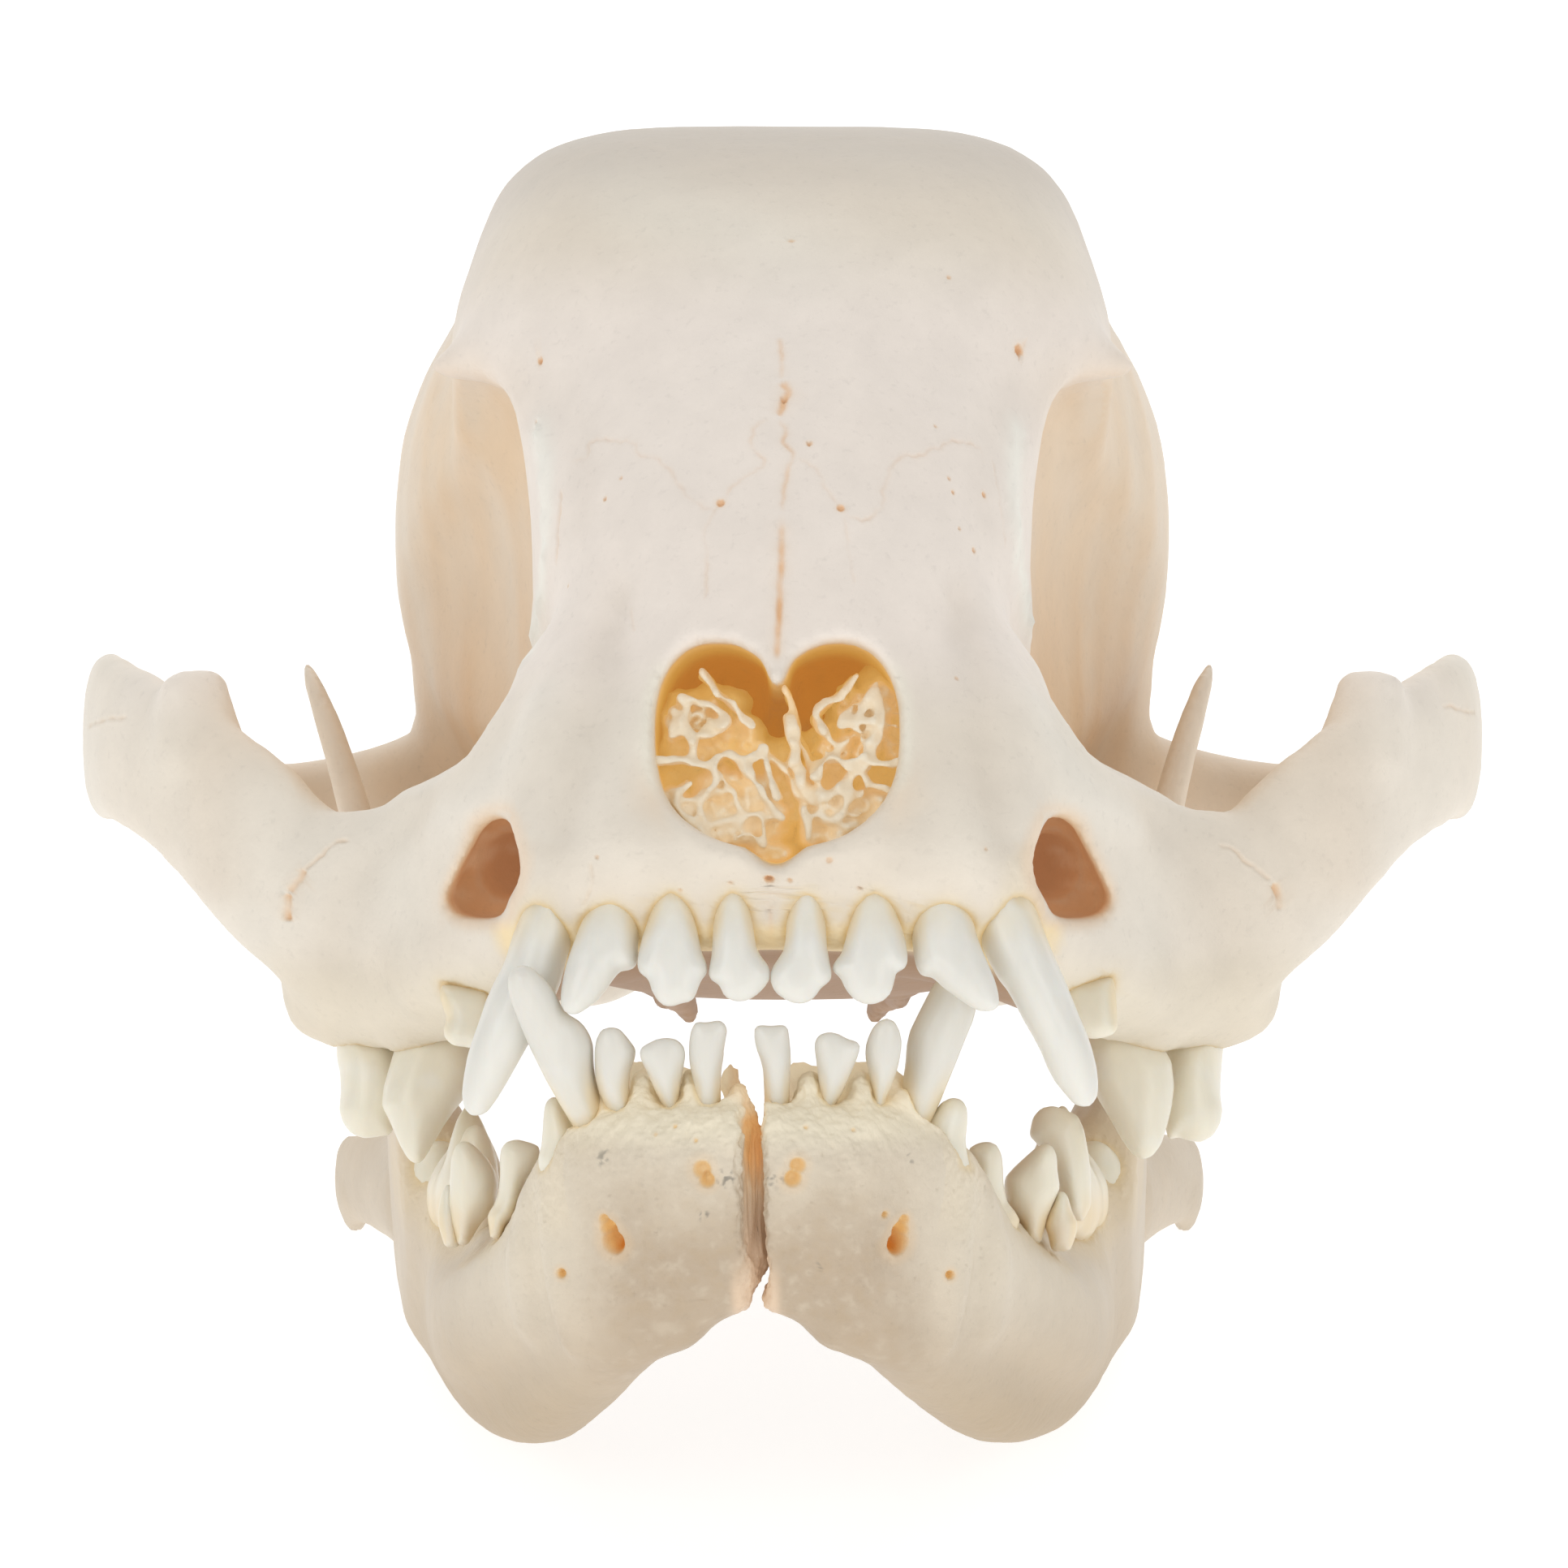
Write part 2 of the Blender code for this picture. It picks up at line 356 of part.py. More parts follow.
def upper_cheek(F):
    # P1, P2, P3: small blades, turned across the crowded jaw
    F.add(Blob((21.6, 18.6, -15.6), (1.9, 2.4, 2.6), 2.2, 2, rot(rz=-50)), 0.3)
    F.add(cone((21.8, 18.2, -15.0), (22.6, 17.6, -19.0), 1.8, 1.5, 40, tip=0.45), 0.6)
    F.add(Blob((20.6, 24.0, -16.6), (1.9, 4.0, 2.8), 2.2, 2, rot(rz=-20)), 0.3)
    F.add(cone((20.4, 22.8, -16.6), (20.0, 22.0, -21.6), 2.2, 1.9, 60, tip=0.4), 0.8)
    F.add(Blob((25.0, 28.0, -18.0), (2.0, 4.6, 3.0), 2.2, 2, rot(rz=-38)), 0.3)
    F.add(cone((24.6, 26.8, -18.0), (24.6, 26.0, -23.4), 2.6, 2.0, 50, tip=0.4), 0.8)
    # P4: long blade with a tall front cusp
    F.add(Blob((28.4, 36.8, -20.4), (2.9, 7.0, 3.6), 2.4, 2.2, rot(rz=-40)), 0.3)
    F.add(cone((27.2, 34.0, -20.6), (27.0, 33.6, -28.6), 3.4, 2.7, 48, neck=0.95, tip=0.34), 1.2)
    F.add(cone((30.6, 39.4, -20.6), (30.6, 39.0, -26.2), 3.0, 2.0, 48, neck=1.0, tip=0.5), 1.2)
    F.add(Blob((25.6, 35.0, -20.0), (2.0, 2.0, 3.0)), 0.8)
    # M1, M2: broad crowns with two outer cusps and a low inner shelf
    F.add(Blob((27.0, 47.2, -19.0), (5.8, 4.4, 3.2), 2.4, 2.2, rot(rz=-10)), 0.3)
    F.add(cone((30.0, 45.2, -19.8), (30.0, 45.2, -25.0), 2.2, 2.2, 0, neck=1, tip=0.4), 0.8)
    F.add(cone((29.8, 49.2, -19.6), (29.6, 49.2, -24.0), 2.0, 2.0, 0, neck=1, tip=0.4), 0.8)
    F.add(cone((24.2, 46.6, -19.6), (24.2, 46.6, -22.8), 2.0, 2.0, 0, neck=1, tip=0.5), 0.8)
    F.add(Blob((25.4, 54.2, -18.6), (4.0, 2.8, 2.8), 2.4, 2.2, rot(rz=-14)), 0.3)
    F.add(cone((27.2, 53.2, -19.0), (27.2, 53.2, -22.4), 1.6, 1.6, 0, neck=1, tip=0.4), 0.6)

def lower_cheek(F):
    for x, y, z, l, h, t in ((16.0, 21.0, -29.6, 3.2, 5.0, 28), (17.8, 27.2, -31.0, 3.8, 5.6, 22), (19.6, 34.2, -32.0, 4.4, 6.2, 16)):
        F.add(Blob((x, y, z), (1.9, l, 2.6), 2.2, 2, rot(rz=-t)), 0.3)
        F.add(cone((x - 0.3, y - 0.8, z), (x, y - 1.2, z + h), l*0.62, 1.7, 90 - t, neck=0.95, tip=0.38), 0.8)
    # m1: blade of two tall cusps and a low heel
    F.add(Blob((22.3, 44.6, -31.6), (2.7, 7.6, 3.0), 2.4, 2.4, rot(rz=-14)), 0.3)
    F.add(cone((21.0, 39.6, -31.4), (21.0, 39.2, -26.6), 3.0, 2.2, 76, neck=1, tip=0.4), 0.9)
    F.add(cone((22.0, 44.0, -31.4), (22.2, 44.0, -25.0), 3.4, 2.5, 76, neck=1, tip=0.36), 0.9)
    F.add(cone((23.4, 49.4, -31.2), (23.4, 49.4, -28.0), 2.2, 2.4, 76, neck=1, tip=0.6), 0.8)
    F.add(Blob((25.0, 55.4, -30.4), (2.5, 3.4, 2.8), 2.4, 2.2, rot(rz=-14)), 0.3)
    F.add(Blob((26.2, 60.6, -29.4), (1.7, 1.8, 2.4), 2.2, 2.2), 0.3)

def teeth(F, table, side="right"):
    for name, (p, q, w, d, turn, neck, tip, bow) in table.items():
        if " " in name and side not in name: continue
        F.add(cone(p, q, w, d, turn, neck=neck, tip=tip, bow=bow), 0.25)
    if table is UPPER: upper_cheek(F)
    else: lower_cheek(F)
    return F

# ---------------------------------------------------------------- lean of the middle plane, as the real skull has it
def cranium_lean(y, z):
    return -0.15 - 0.5*np.clip(1 - y/40, 0, 1)

def mandible_lean(y, z):
    return -0.9 - 0.019*(z + 49) - 1.0*np.clip(1 - y/45, 0, 1)

def grid(F, both):
    """The field on a grid: the whole of it, or for a bone of two like halves the right one mirrored."""
    lo, hi = F.bounds(2.4)
    if both:
        xs = (np.arange(int(hi[0]/CELL) + 2) + 0.5) * CELL
    else:
        xs = np.arange(max(lo[0], -2.0), hi[0] + CELL, CELL)
    ys, zs = np.arange(lo[1], hi[1] + CELL, CELL), np.arange(lo[2], hi[2] + CELL, CELL)
    D = F.fill(xs, ys, zs)
    if both:
        D = np.concatenate([D[::-1], D])
        xs = np.concatenate([-xs[::-1], xs])
    return D, (xs[0], ys[0], zs[0])

def skin(name, D, start, lean, mirror):
    vol = openvdb.FloatGrid(8.0)
    vol.copyFromArray(np.ascontiguousarray(D, dtype=np.float32))
    pts, tris, quads = vol.convertToPolygons(isovalue=0.0, adaptivity=0.0)
    P = pts.astype(float)*CELL + np.array(start)
    if mirror: P[:, 0] *= -1
    P[:, 0] += lean(P[:, 1], P[:, 2])
    mesh = bpy.data.meshes.new(name)
    mesh.from_pydata(P.tolist(), [], quads.tolist() + tris.tolist())
    return mesh

def largest(mesh):
    """Keep the outer shell only."""
    import bmesh
    bm = bmesh.new(); bm.from_mesh(mesh)
    bm.verts.ensure_lookup_table()
    seen, best = set(), []
    for v in bm.verts:
        if v.index in seen: continue
        stack, group = [v], []
        seen.add(v.index)
        while stack:
            w = stack.pop(); group.append(w)
            for e in w.link_edges:
                o = e.other_vert(w)
                if o.index not in seen: seen.add(o.index); stack.append(o)
        if len(group) > len(best): best = group
    keep = {v.index for v in best}
    bmesh.ops.delete(bm, geom=[v for v in bm.verts if v.index not in keep], context="VERTS")
    bmesh.ops.recalc_face_normals(bm, faces=bm.faces)
    if bm.calc_volume(signed=True) < 0: bmesh.ops.reverse_faces(bm, faces=bm.faces)
    bm.to_mesh(mesh); bm.free()
    return mesh

# ---------------------------------------------------------------- the three bones
tilt = math.radians(TILT)

def stand(P):
    """Tip the nose up about the left-right axis."""
    c, s = math.cos(tilt), math.sin(tilt)
    return np.stack([P[:, 0], P[:, 1]*c + P[:, 2]*s, P[:, 2]*c - P[:, 1]*s], 1)

bones = {}
D, start = grid(teeth(cranium(), UPPER), True)
bones["cranium"] = largest(skin("cranium", D, start, cranium_lean, False))
for side in ("left", "right"):
    D, start = grid(teeth(mandible(), LOWER, side), False)
    bones["mandible_" + side] = largest(skin("mandible_" + side, D, start, mandible_lean, side == "left"))

def points(mesh):
    P = np.empty(len(mesh.vertices)*3)
    mesh.vertices.foreach_get("co", P)
    return P.reshape(-1, 3)

stood = {name: stand(points(mesh)) for name, mesh in bones.items()}
low = max(min(stood[n][stood[n][:, 1] < 62, 2].min() for n in stood if n != "cranium"),
          min(stood[n][stood[n][:, 1] > 72, 2].min() for n in stood if n != "cranium"))
low += FLAT
every = np.vstack(list(stood.values()))
mid = (every.min(0) + every.max(0)) / 2

holder = bpy.data.collections.new("dog_skull")
tools = bpy.data.collections.new("cutters")
for c in (holder, tools): bpy.context.scene.collection.children.link(c)

def principled(name, colour, rough):
    m = bpy.data.materials.new(name); m.use_nodes = True
    b = m.node_tree.nodes["Principled BSDF"]
    b.inputs["Base Color"].default_value = (*colour, 1); b.inputs["Roughness"].default_value = rough
    m.diffuse_color = (*colour, 1)
    return m

bone = principled("bone", (0.80, 0.74, 0.64), 0.55)
jaw = principled("jaw_bone", (0.74, 0.66, 0.54), 0.55)

# everything below the floor is cut off, which leaves the small flats that it stands on
bpy.ops.mesh.primitive_cube_add(size=1)
floor_block = bpy.context.object
floor_block.name = "below_floor"
floor_block.scale = (0.3, 0.3, 0.02); floor_block.location = (0, 0, -0.01)
for c in list(floor_block.users_collection): c.objects.unlink(floor_block)
tools.objects.link(floor_block)
floor_block.hide_render = True; floor_block.display_type = "WIRE"

for name, mesh in bones.items():
    P = (stood[name] - np.array([mid[0], mid[1], low])) * 0.001
    mesh.vertices.foreach_set("co", P.ravel())
    mesh.update()
    obj = bpy.data.objects.new(name, mesh)
    holder.objects.link(obj)
    mesh.materials.append(bone if name == "cranium" else jaw)
    want = TRIANGLES["cranium" if name == "cranium" else "mandible"]
    sm = obj.modifiers.new("ease", "SMOOTH"); sm.factor = 0.5; sm.iterations = 2
    de = obj.modifiers.new("fewer", "DECIMATE"); de.ratio = want / (2*len(mesh.polygons)); de.use_collapse_triangulate = True
    if name != "cranium":
        cut = obj.modifiers.new("flats", "BOOLEAN"); cut.operation = "DIFFERENCE"; cut.solver = "EXACT"; cut.object = floor_block
        tri = obj.modifiers.new("triangles", "TRIANGULATE")
print("size mm", (every.max(0) - every.min(0)).round(2), "floor at", round(float(low), 3), "middle", mid.round(2))
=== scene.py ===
"""The looks of a short-faced dog's skull: its bones, teeth and the scrolls inside its nose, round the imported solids.

The bones are described in the skull's own frame in millimetres, as soft unions of rounded masses, bars swept along curves and thin plates: x to the observer's right, y from the front teeth towards the back of the head, z up, with 0 at the height of the nose floor. Each field is meshed on a fine grid, refined where small features are, shaped by grooves, pits and roughness, and tinted point by point. stand() then tips the nose up and lays the skull on the floor."""
import math
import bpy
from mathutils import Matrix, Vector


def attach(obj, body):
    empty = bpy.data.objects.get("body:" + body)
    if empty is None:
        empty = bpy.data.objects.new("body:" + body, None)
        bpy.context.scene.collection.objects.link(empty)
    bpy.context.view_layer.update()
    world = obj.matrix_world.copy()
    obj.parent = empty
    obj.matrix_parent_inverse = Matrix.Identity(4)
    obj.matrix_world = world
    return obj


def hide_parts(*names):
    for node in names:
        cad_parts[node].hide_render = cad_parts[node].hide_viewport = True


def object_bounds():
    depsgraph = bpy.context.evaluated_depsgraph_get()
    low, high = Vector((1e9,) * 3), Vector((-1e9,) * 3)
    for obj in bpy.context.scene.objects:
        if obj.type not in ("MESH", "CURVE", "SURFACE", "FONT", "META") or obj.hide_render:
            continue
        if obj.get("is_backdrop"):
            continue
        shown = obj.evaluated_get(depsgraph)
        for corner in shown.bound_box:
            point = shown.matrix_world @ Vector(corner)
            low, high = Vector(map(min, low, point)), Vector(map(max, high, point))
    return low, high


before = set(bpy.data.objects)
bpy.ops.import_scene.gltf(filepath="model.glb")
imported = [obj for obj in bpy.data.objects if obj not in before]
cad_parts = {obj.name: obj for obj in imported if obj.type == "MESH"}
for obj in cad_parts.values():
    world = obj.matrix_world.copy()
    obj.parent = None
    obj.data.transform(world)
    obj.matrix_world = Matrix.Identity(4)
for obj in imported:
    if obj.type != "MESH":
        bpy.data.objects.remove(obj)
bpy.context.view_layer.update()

from concurrent.futures import ThreadPoolExecutor

import bpy
import numpy as np
import openvdb
from mathutils import Vector
from mathutils.bvhtree import BVHTree

TILT = math.radians(14.9)                # nose up, as it rests on its jaws
MIDDLE, FLOOR = (-0.15, 60.53), -59.516  # middle of the box and height of the floor after the tilt
JOINT_GAP, SYMPHYSIS_GAP = 0.35, 1.5

def stand(P):
    """From the skull's own frame in millimetres to the floor's in metres."""
    c, s = math.cos(TILT), math.sin(TILT)
    y, z = P[:, 1]*c + P[:, 2]*s, P[:, 2]*c - P[:, 1]*s
    return np.stack([P[:, 0] - MIDDLE[0], y - MIDDLE[1], z - FLOOR], 1) * 0.001

def cranium_lean(y, z):
    return -0.15 - 0.5*np.clip(1 - y/40, 0, 1)

def mandible_lean(y, z):
    return -0.9 - 0.019*(z + 49) - 1.0*np.clip(1 - y/45, 0, 1)

def smooth(a, b, x):
    """0 below a, 1 above b (or the other way round), eased between."""
    t = np.clip((x - a) / (b - a), 0, 1)
    return t*t*(3 - 2*t)

# ---------------------------------------------------------------- shapes as distance fields
def smin(a, b, k):
    if k <= 0: return np.minimum(a, b)
    h = np.maximum(k - np.abs(a - b), 0.0) / k
    return np.minimum(a, b) - h * h * k * 0.25

def smax(a, b, k):
    return -smin(-a, -b, k)

def rot(rx=0, ry=0, rz=0):
    rx, ry, rz = np.radians([rx, ry, rz])
    cx, sx, cy, sy, cz, sz = np.cos(rx), np.sin(rx), np.cos(ry), np.sin(ry), np.cos(rz), np.sin(rz)
    X = np.array([[1,0,0],[0,cx,-sx],[0,sx,cx]])
    Y = np.array([[cy,0,sy],[0,1,0],[-sy,0,cy]])
    Z = np.array([[cz,-sz,0],[sz,cz,0],[0,0,1]])
    return Z @ Y @ X

class Blob:
    """Rounded solid: a superellipsoid with radii r, exponent n across x-z and m along y, turned by R."""
    def __init__(s, c, r, n=2.0, m=2.0, R=None):
        s.c, s.r, s.n, s.m = np.array(c, float), np.array(r, float), n, m
        s.R = np.eye(3) if R is None else R
        e = np.abs(s.R) @ s.r
        s.lo, s.hi = s.c - e, s.c + e
    def __call__(s, x, y, z):
        x, y, z = x - s.c[0], y - s.c[1], z - s.c[2]
        R = s.R
        u = np.abs(R[0,0]*x + R[1,0]*y + R[2,0]*z) / s.r[0] + 1e-6
        v = np.abs(R[0,1]*x + R[1,1]*y + R[2,1]*z) / s.r[1] + 1e-6
        w = np.abs(R[0,2]*x + R[1,2]*y + R[2,2]*z) / s.r[2] + 1e-6
        if s.n == 2.0 and s.m == 2.0:
            k0 = np.sqrt(u*u + v*v + w*w)
            k1 = np.sqrt((u/s.r[0])**2 + (v/s.r[1])**2 + (w/s.r[2])**2)
            return k0 * (k0 - 1.0) / k1
        n, m = s.n, s.m
        A = (u**n + w**n)**(1.0/n)
        k0 = (A**m + v**m)**(1.0/m)
        gA = (A/k0)**(m-1)
        gu = gA * (u/A)**(n-1) / s.r[0]
        gw = gA * (w/A)**(n-1) / s.r[2]
        gv = (v/k0)**(m-1) / s.r[1]
        return (k0 - 1.0) / np.sqrt(gu*gu + gw*gw + gv*gv)

def spline(P, per=4):
    """Points on a Catmull-Rom curve through the rows of P, so many to a span."""
    P = np.asarray(P, float)
    if len(P) < 3:
        t = np.linspace(0, 1, per + 1)[:, None]
        return P[0] * (1 - t) + P[-1] * t
    Q = np.vstack([2*P[0]-P[1], P, 2*P[-1]-P[-2]])
    out = []
    for i in range(1, len(Q)-2):
        p0, p1, p2, p3 = Q[i-1], Q[i], Q[i+1], Q[i+2]
        for j in range(per):
            t = j / per
            out.append(0.5*((2*p1) + (p2-p0)*t + (2*p0-5*p1+4*p2-p3)*t*t + (3*p1-p0-3*p2+p3)*t**3))
    out.append(P[-1])
    return np.array(out)

class Tube:
    """A bar swept along a curve: rows of (x, y, z, half width, half height). up is what its height points along."""
    def __init__(s, rows, up=(0,0,1), per=4, n=2.0, cap=1.0):
        rows = np.asarray(rows, float)
        D = spline(rows, per)
        s.P, s.ra, s.rb = D[:, :3], np.maximum(D[:, 3], 0.15), np.maximum(D[:, 4], 0.15)
        s.n, s.cap = n, cap
        T = np.gradient(s.P, axis=0); T /= np.linalg.norm(T, axis=1)[:, None]
        up = np.asarray(up, float)
        S = np.cross(T, up); S /= np.linalg.norm(S, axis=1)[:, None] + 1e-9
        U = np.cross(S, T)
        s.T, s.S, s.U = T, S, U
        e = np.maximum(s.ra, s.rb)[:, None]
        s.lo, s.hi = (s.P - e).min(0), (s.P + e).max(0)
    def near(s, x, y, z):
        best = np.full(x.shape, 1e9); bi = np.zeros(x.shape, np.int32); bt = np.zeros(x.shape)
        for i in range(len(s.P) - 1):
            a, b = s.P[i], s.P[i+1]; d = b - a; L = d @ d + 1e-12
            t = np.clip(((x-a[0])*d[0] + (y-a[1])*d[1] + (z-a[2])*d[2]) / L, 0, 1)
            q = (x-a[0]-t*d[0])**2 + (y-a[1]-t*d[1])**2 + (z-a[2]-t*d[2])**2
            m = q < best
            best = np.where(m, q, best); bi = np.where(m, i, bi); bt = np.where(m, t, bt)
        return best, bi, bt
    def __call__(s, x, y, z):
        _, i, t = s.near(x, y, z)
        L = lambda A: A[i] * (1-t) + A[i+1] * t
        px, py, pz = x - L(s.P[:,0]), y - L(s.P[:,1]), z - L(s.P[:,2])
        ra, rb = L(s.ra), L(s.rb)
        a = px*L(s.S[:,0]) + py*L(s.S[:,1]) + pz*L(s.S[:,2])
        b = px*L(s.U[:,0]) + py*L(s.U[:,1]) + pz*L(s.U[:,2])
        l = px*L(s.T[:,0]) + py*L(s.T[:,1]) + pz*L(s.T[:,2])
        rl = np.minimum(ra, rb) * s.cap
        ends = ((i == 0) & (t <= 0)) | ((i == len(s.P)-2) & (t >= 1))
        u, v, w = np.abs(a)/ra + 1e-6, np.abs(b)/rb + 1e-6, np.where(ends, np.abs(l), 0.0)/rl
        if s.n != 2.0:
            A = (u**s.n + v**s.n)**(1.0/s.n)
            k0 = np.sqrt(A*A + w*w)
            gu = (A/k0)*(u/A)**(s.n-1)/ra; gv = (A/k0)*(v/A)**(s.n-1)/rb; gw = (w/k0)/rl
            return (k0 - 1.0) / np.sqrt(gu*gu + gv*gv + gw*gw)
        k0 = np.sqrt(u*u + v*v + w*w)
        k1 = np.sqrt((u/ra)**2 + (v/rb)**2 + (w/rl)**2)
        return k0 * (k0 - 1.0) / k1

def outline_distance(P, a, b):
    """Signed distance in the plane from points (a, b) to the closed outline P."""
    d = (a - P[0,0])**2 + (b - P[0,1])**2
    s = np.ones(a.shape)
    j = len(P) - 1
    for i in range(len(P)):
        ex, ey = P[j,0]-P[i,0], P[j,1]-P[i,1]
        wx, wy = a-P[i,0], b-P[i,1]
        t = np.clip((wx*ex + wy*ey) / (ex*ex + ey*ey + 1e-12), 0, 1)
        bx, by = wx - ex*t, wy - ey*t
        d = np.minimum(d, bx*bx + by*by)
        c1, c2, c3 = b >= P[i,1], b < P[j,1], ex*wy > ey*wx
        s = np.where((c1 & c2 & c3) | (~c1 & ~c2 & ~c3), -s, s)
        j = i
    return s * np.sqrt(d)

class Plate:
    """A thin bone plate: an outline in y-z, its middle at x = mid(y, z), half as thick as half(y, z), with edges rounded by r."""
    def __init__(s, outline, mid, half, r=1.0, per=3, xr=(0, 60), axes="yz"):
        P = np.asarray(outline, float)
        Q = spline(np.vstack([P[-1], P, P[:2]]), per)[per:-per]
        keep = [0]
        for i in range(1, len(Q)):
            if np.hypot(*(Q[i]-Q[keep[-1]])) > 1e-6: keep.append(i)
        s.Q = Q[keep]
        if np.hypot(*(s.Q[0]-s.Q[-1])) < 1e-6: s.Q = s.Q[:-1]
        s.mid, s.half, s.r, s.axes = mid, half, r, axes
        lo, hi = s.Q.min(0), s.Q.max(0)
        if axes == "yz":
            s.lo, s.hi = np.array([xr[0], lo[0], lo[1]]), np.array([xr[1], hi[0], hi[1]])
        elif axes == "xz":
            s.lo, s.hi = np.array([lo[0], xr[0], lo[1]]), np.array([hi[0], xr[1], hi[1]])
        else:
            s.lo, s.hi = np.array([lo[0], lo[1], xr[0]]), np.array([hi[0], hi[1], xr[1]])
    def __call__(s, x, y, z):
        if s.axes == "yz": a, b, c = y, z, x
        elif s.axes == "xz": a, b, c = x, z, y
        else: a, b, c = x, y, z
        d2 = outline_distance(s.Q, a, b)
        dx = np.abs(c - s.mid(a, b)) - s.half(a, b)
        q1, q2 = d2 + s.r, dx + s.r
        return np.minimum(np.maximum(q1, q2), 0) + np.sqrt(np.maximum(q1, 0)**2 + np.maximum(q2, 0)**2) - s.r

class Half:
    """Everything on the inner side of a plane through p facing n."""
    def __init__(s, p, n):
        s.p = np.array(p, float); s.nn = np.array(n, float); s.nn /= np.linalg.norm(s.nn)
        s.lo, s.hi = np.full(3, -1e9), np.full(3, 1e9)
    def __call__(s, x, y, z):
        return (x-s.p[0])*s.nn[0] + (y-s.p[1])*s.nn[1] + (z-s.p[2])*s.nn[2]

class Line:
    """A low ridge (high > 0) or groove along a curve of rows (x, y, z), so wide."""
    def __init__(s, rows, high, wide, per=4, fade=True):
        s.P = spline(np.asarray(rows, float), per)
        s.high, s.wide, s.fade = high, wide, fade
        s.lo, s.hi = s.P.min(0) - 2.6*wide, s.P.max(0) + 2.6*wide
    def __call__(s, x, y, z):
        best = np.full(x.shape, 1e9); at = np.zeros(x.shape)
        n = len(s.P) - 1
        for i in range(n):
            a, b = s.P[i], s.P[i+1]; d = b - a; L = d @ d + 1e-12
            t = np.clip(((x-a[0])*d[0] + (y-a[1])*d[1] + (z-a[2])*d[2]) / L, 0, 1)
            q = (x-a[0]-t*d[0])**2 + (y-a[1]-t*d[1])**2 + (z-a[2]-t*d[2])**2
            m = q < best
            best = np.where(m, q, best); at = np.where(m, (i+t)/n, at)
        f = np.clip(4*np.minimum(at, 1-at) + 0.15, 0, 1) if s.fade else 1.0
        return s.high * f * np.exp(-best / s.wide**2)

class Field:
    """Steps applied in order to a grid: add, cut, keep (meet), raise."""
    def __init__(s): s.steps = []
    def add(s, f, k=2.0): s.steps.append(("add", f, k)); return s
    def cut(s, f, k=1.0): s.steps.append(("cut", f, k)); return s
    def keep(s, f, k=1.0): s.steps.append(("keep", f, k)); return s
    def lift(s, f): s.steps.append(("lift", f, 0)); return s
    def bounds(s, extra=3.0):
        lo = np.min([f.lo for o, f, k in s.steps if o == "add"], 0) - extra
        hi = np.max([f.hi for o, f, k in s.steps if o == "add"], 0) + extra
        return lo, hi
    def fill(s, xs, ys, zs, far=8.0):
        h, n = xs[1] - xs[0], len(xs)
        cuts = np.linspace(0, n, min(n, 13)).astype(int)
        with ThreadPoolExecutor(4) as pool:
            return np.concatenate(list(pool.map(lambda i: s.slab(xs[cuts[i]:cuts[i+1]], ys, zs, h, far), range(len(cuts) - 1))))
    def slab(s, xs, ys, zs, h, far):
        D = np.full((len(xs), len(ys), len(zs)), far, np.float32)
        for op, f, k in s.steps:
            m = k + 3*h
            i0, i1 = np.searchsorted(xs, [f.lo[0]-m, f.hi[0]+m])
            j0, j1 = np.searchsorted(ys, [f.lo[1]-m, f.hi[1]+m])
            k0, k1 = np.searchsorted(zs, [f.lo[2]-m, f.hi[2]+m])
            if i0 >= i1 or j0 >= j1 or k0 >= k1: continue
            step = max(1, int(1.0e6 / ((j1-j0)*(k1-k0))))
            Y, Z = ys[j0:j1][None, :, None], zs[k0:k1][None, None, :]
            for i in range(i0, i1, step):
                e = min(i+step, i1)
                X = xs[i:e][:, None, None]
                V = D[i:e, j0:j1, k0:k1]
                x, y, z = np.broadcast_arrays(X, Y, Z)
                if op in ("cut", "lift", "keep"):
                    M = V < (k + 4*h + 2.5)
                    if not M.any(): continue
                    v = V[M].astype(float)
                    d = f(x[M], y[M], z[M])
                    if op == "cut": v = smax(v, -d, k)
                    elif op == "keep": v = smax(v, d, k)
                    else: v = v - d
                    V[M] = v
                else:
                    d = f(x, y, z)
                    D[i:e, j0:j1, k0:k1] = smin(V.astype(float), d, k)
        return D
    def at(s, P):
        """The field at rows of points."""
        P = np.asarray(P, float)
        v = np.full(len(P), 8.0)
        for op, f, k in s.steps:
            m = k + 2.5
            M = ((P > f.lo - m) & (P < f.hi + m)).all(1)
            if not M.any(): continue
            d = f(P[M,0], P[M,1], P[M,2])
            if op == "add": v[M] = smin(v[M], d, k)
            elif op == "cut": v[M] = smax(v[M], -d, k)
            elif op == "keep": v[M] = smax(v[M], d, k)
            else: v[M] = v[M] - d
        return v

# ---------------------------------------------------------------- the bones, right side, mirrored for the left
ORBIT = Tube([(36.8, 21.5, 16, 18.4, 17.1), (36.8, 28, 16, 18.4, 17.1), (37.1, 36, 15.9, 18.7, 17.1), (38, 45, 13, 20.5, 18.5), (41, 55, 9, 21, 20), (45, 68, 6, 19.5, 18), (50, 80, 5, 19, 14)], n=3.0, cap=0.1, per=8)
NOSE = [(Blob((4.6, 12, 3.6), (4.15, 19, 6.4), 2.3, 3), 0.8),
        (Blob((4.15, 12, 5.9), (3.45, 19, 4.15), 2.5, 3), 0.4),
        (Blob((2.15, 12, 6.2), (1.5, 19, 3.0), 3, 3), 0.3),
        (Tube([(0, 0, -3.0, 2.3, 2.9), (0, 12, -2.8, 2.5, 2.9), (0, 26, -1.6, 4.0, 3.2)], n=1.7), 1.0),
        (Blob((2, 12, 1.2), (5.4, 18, 5.6), 2.2, 3), 1.0)]
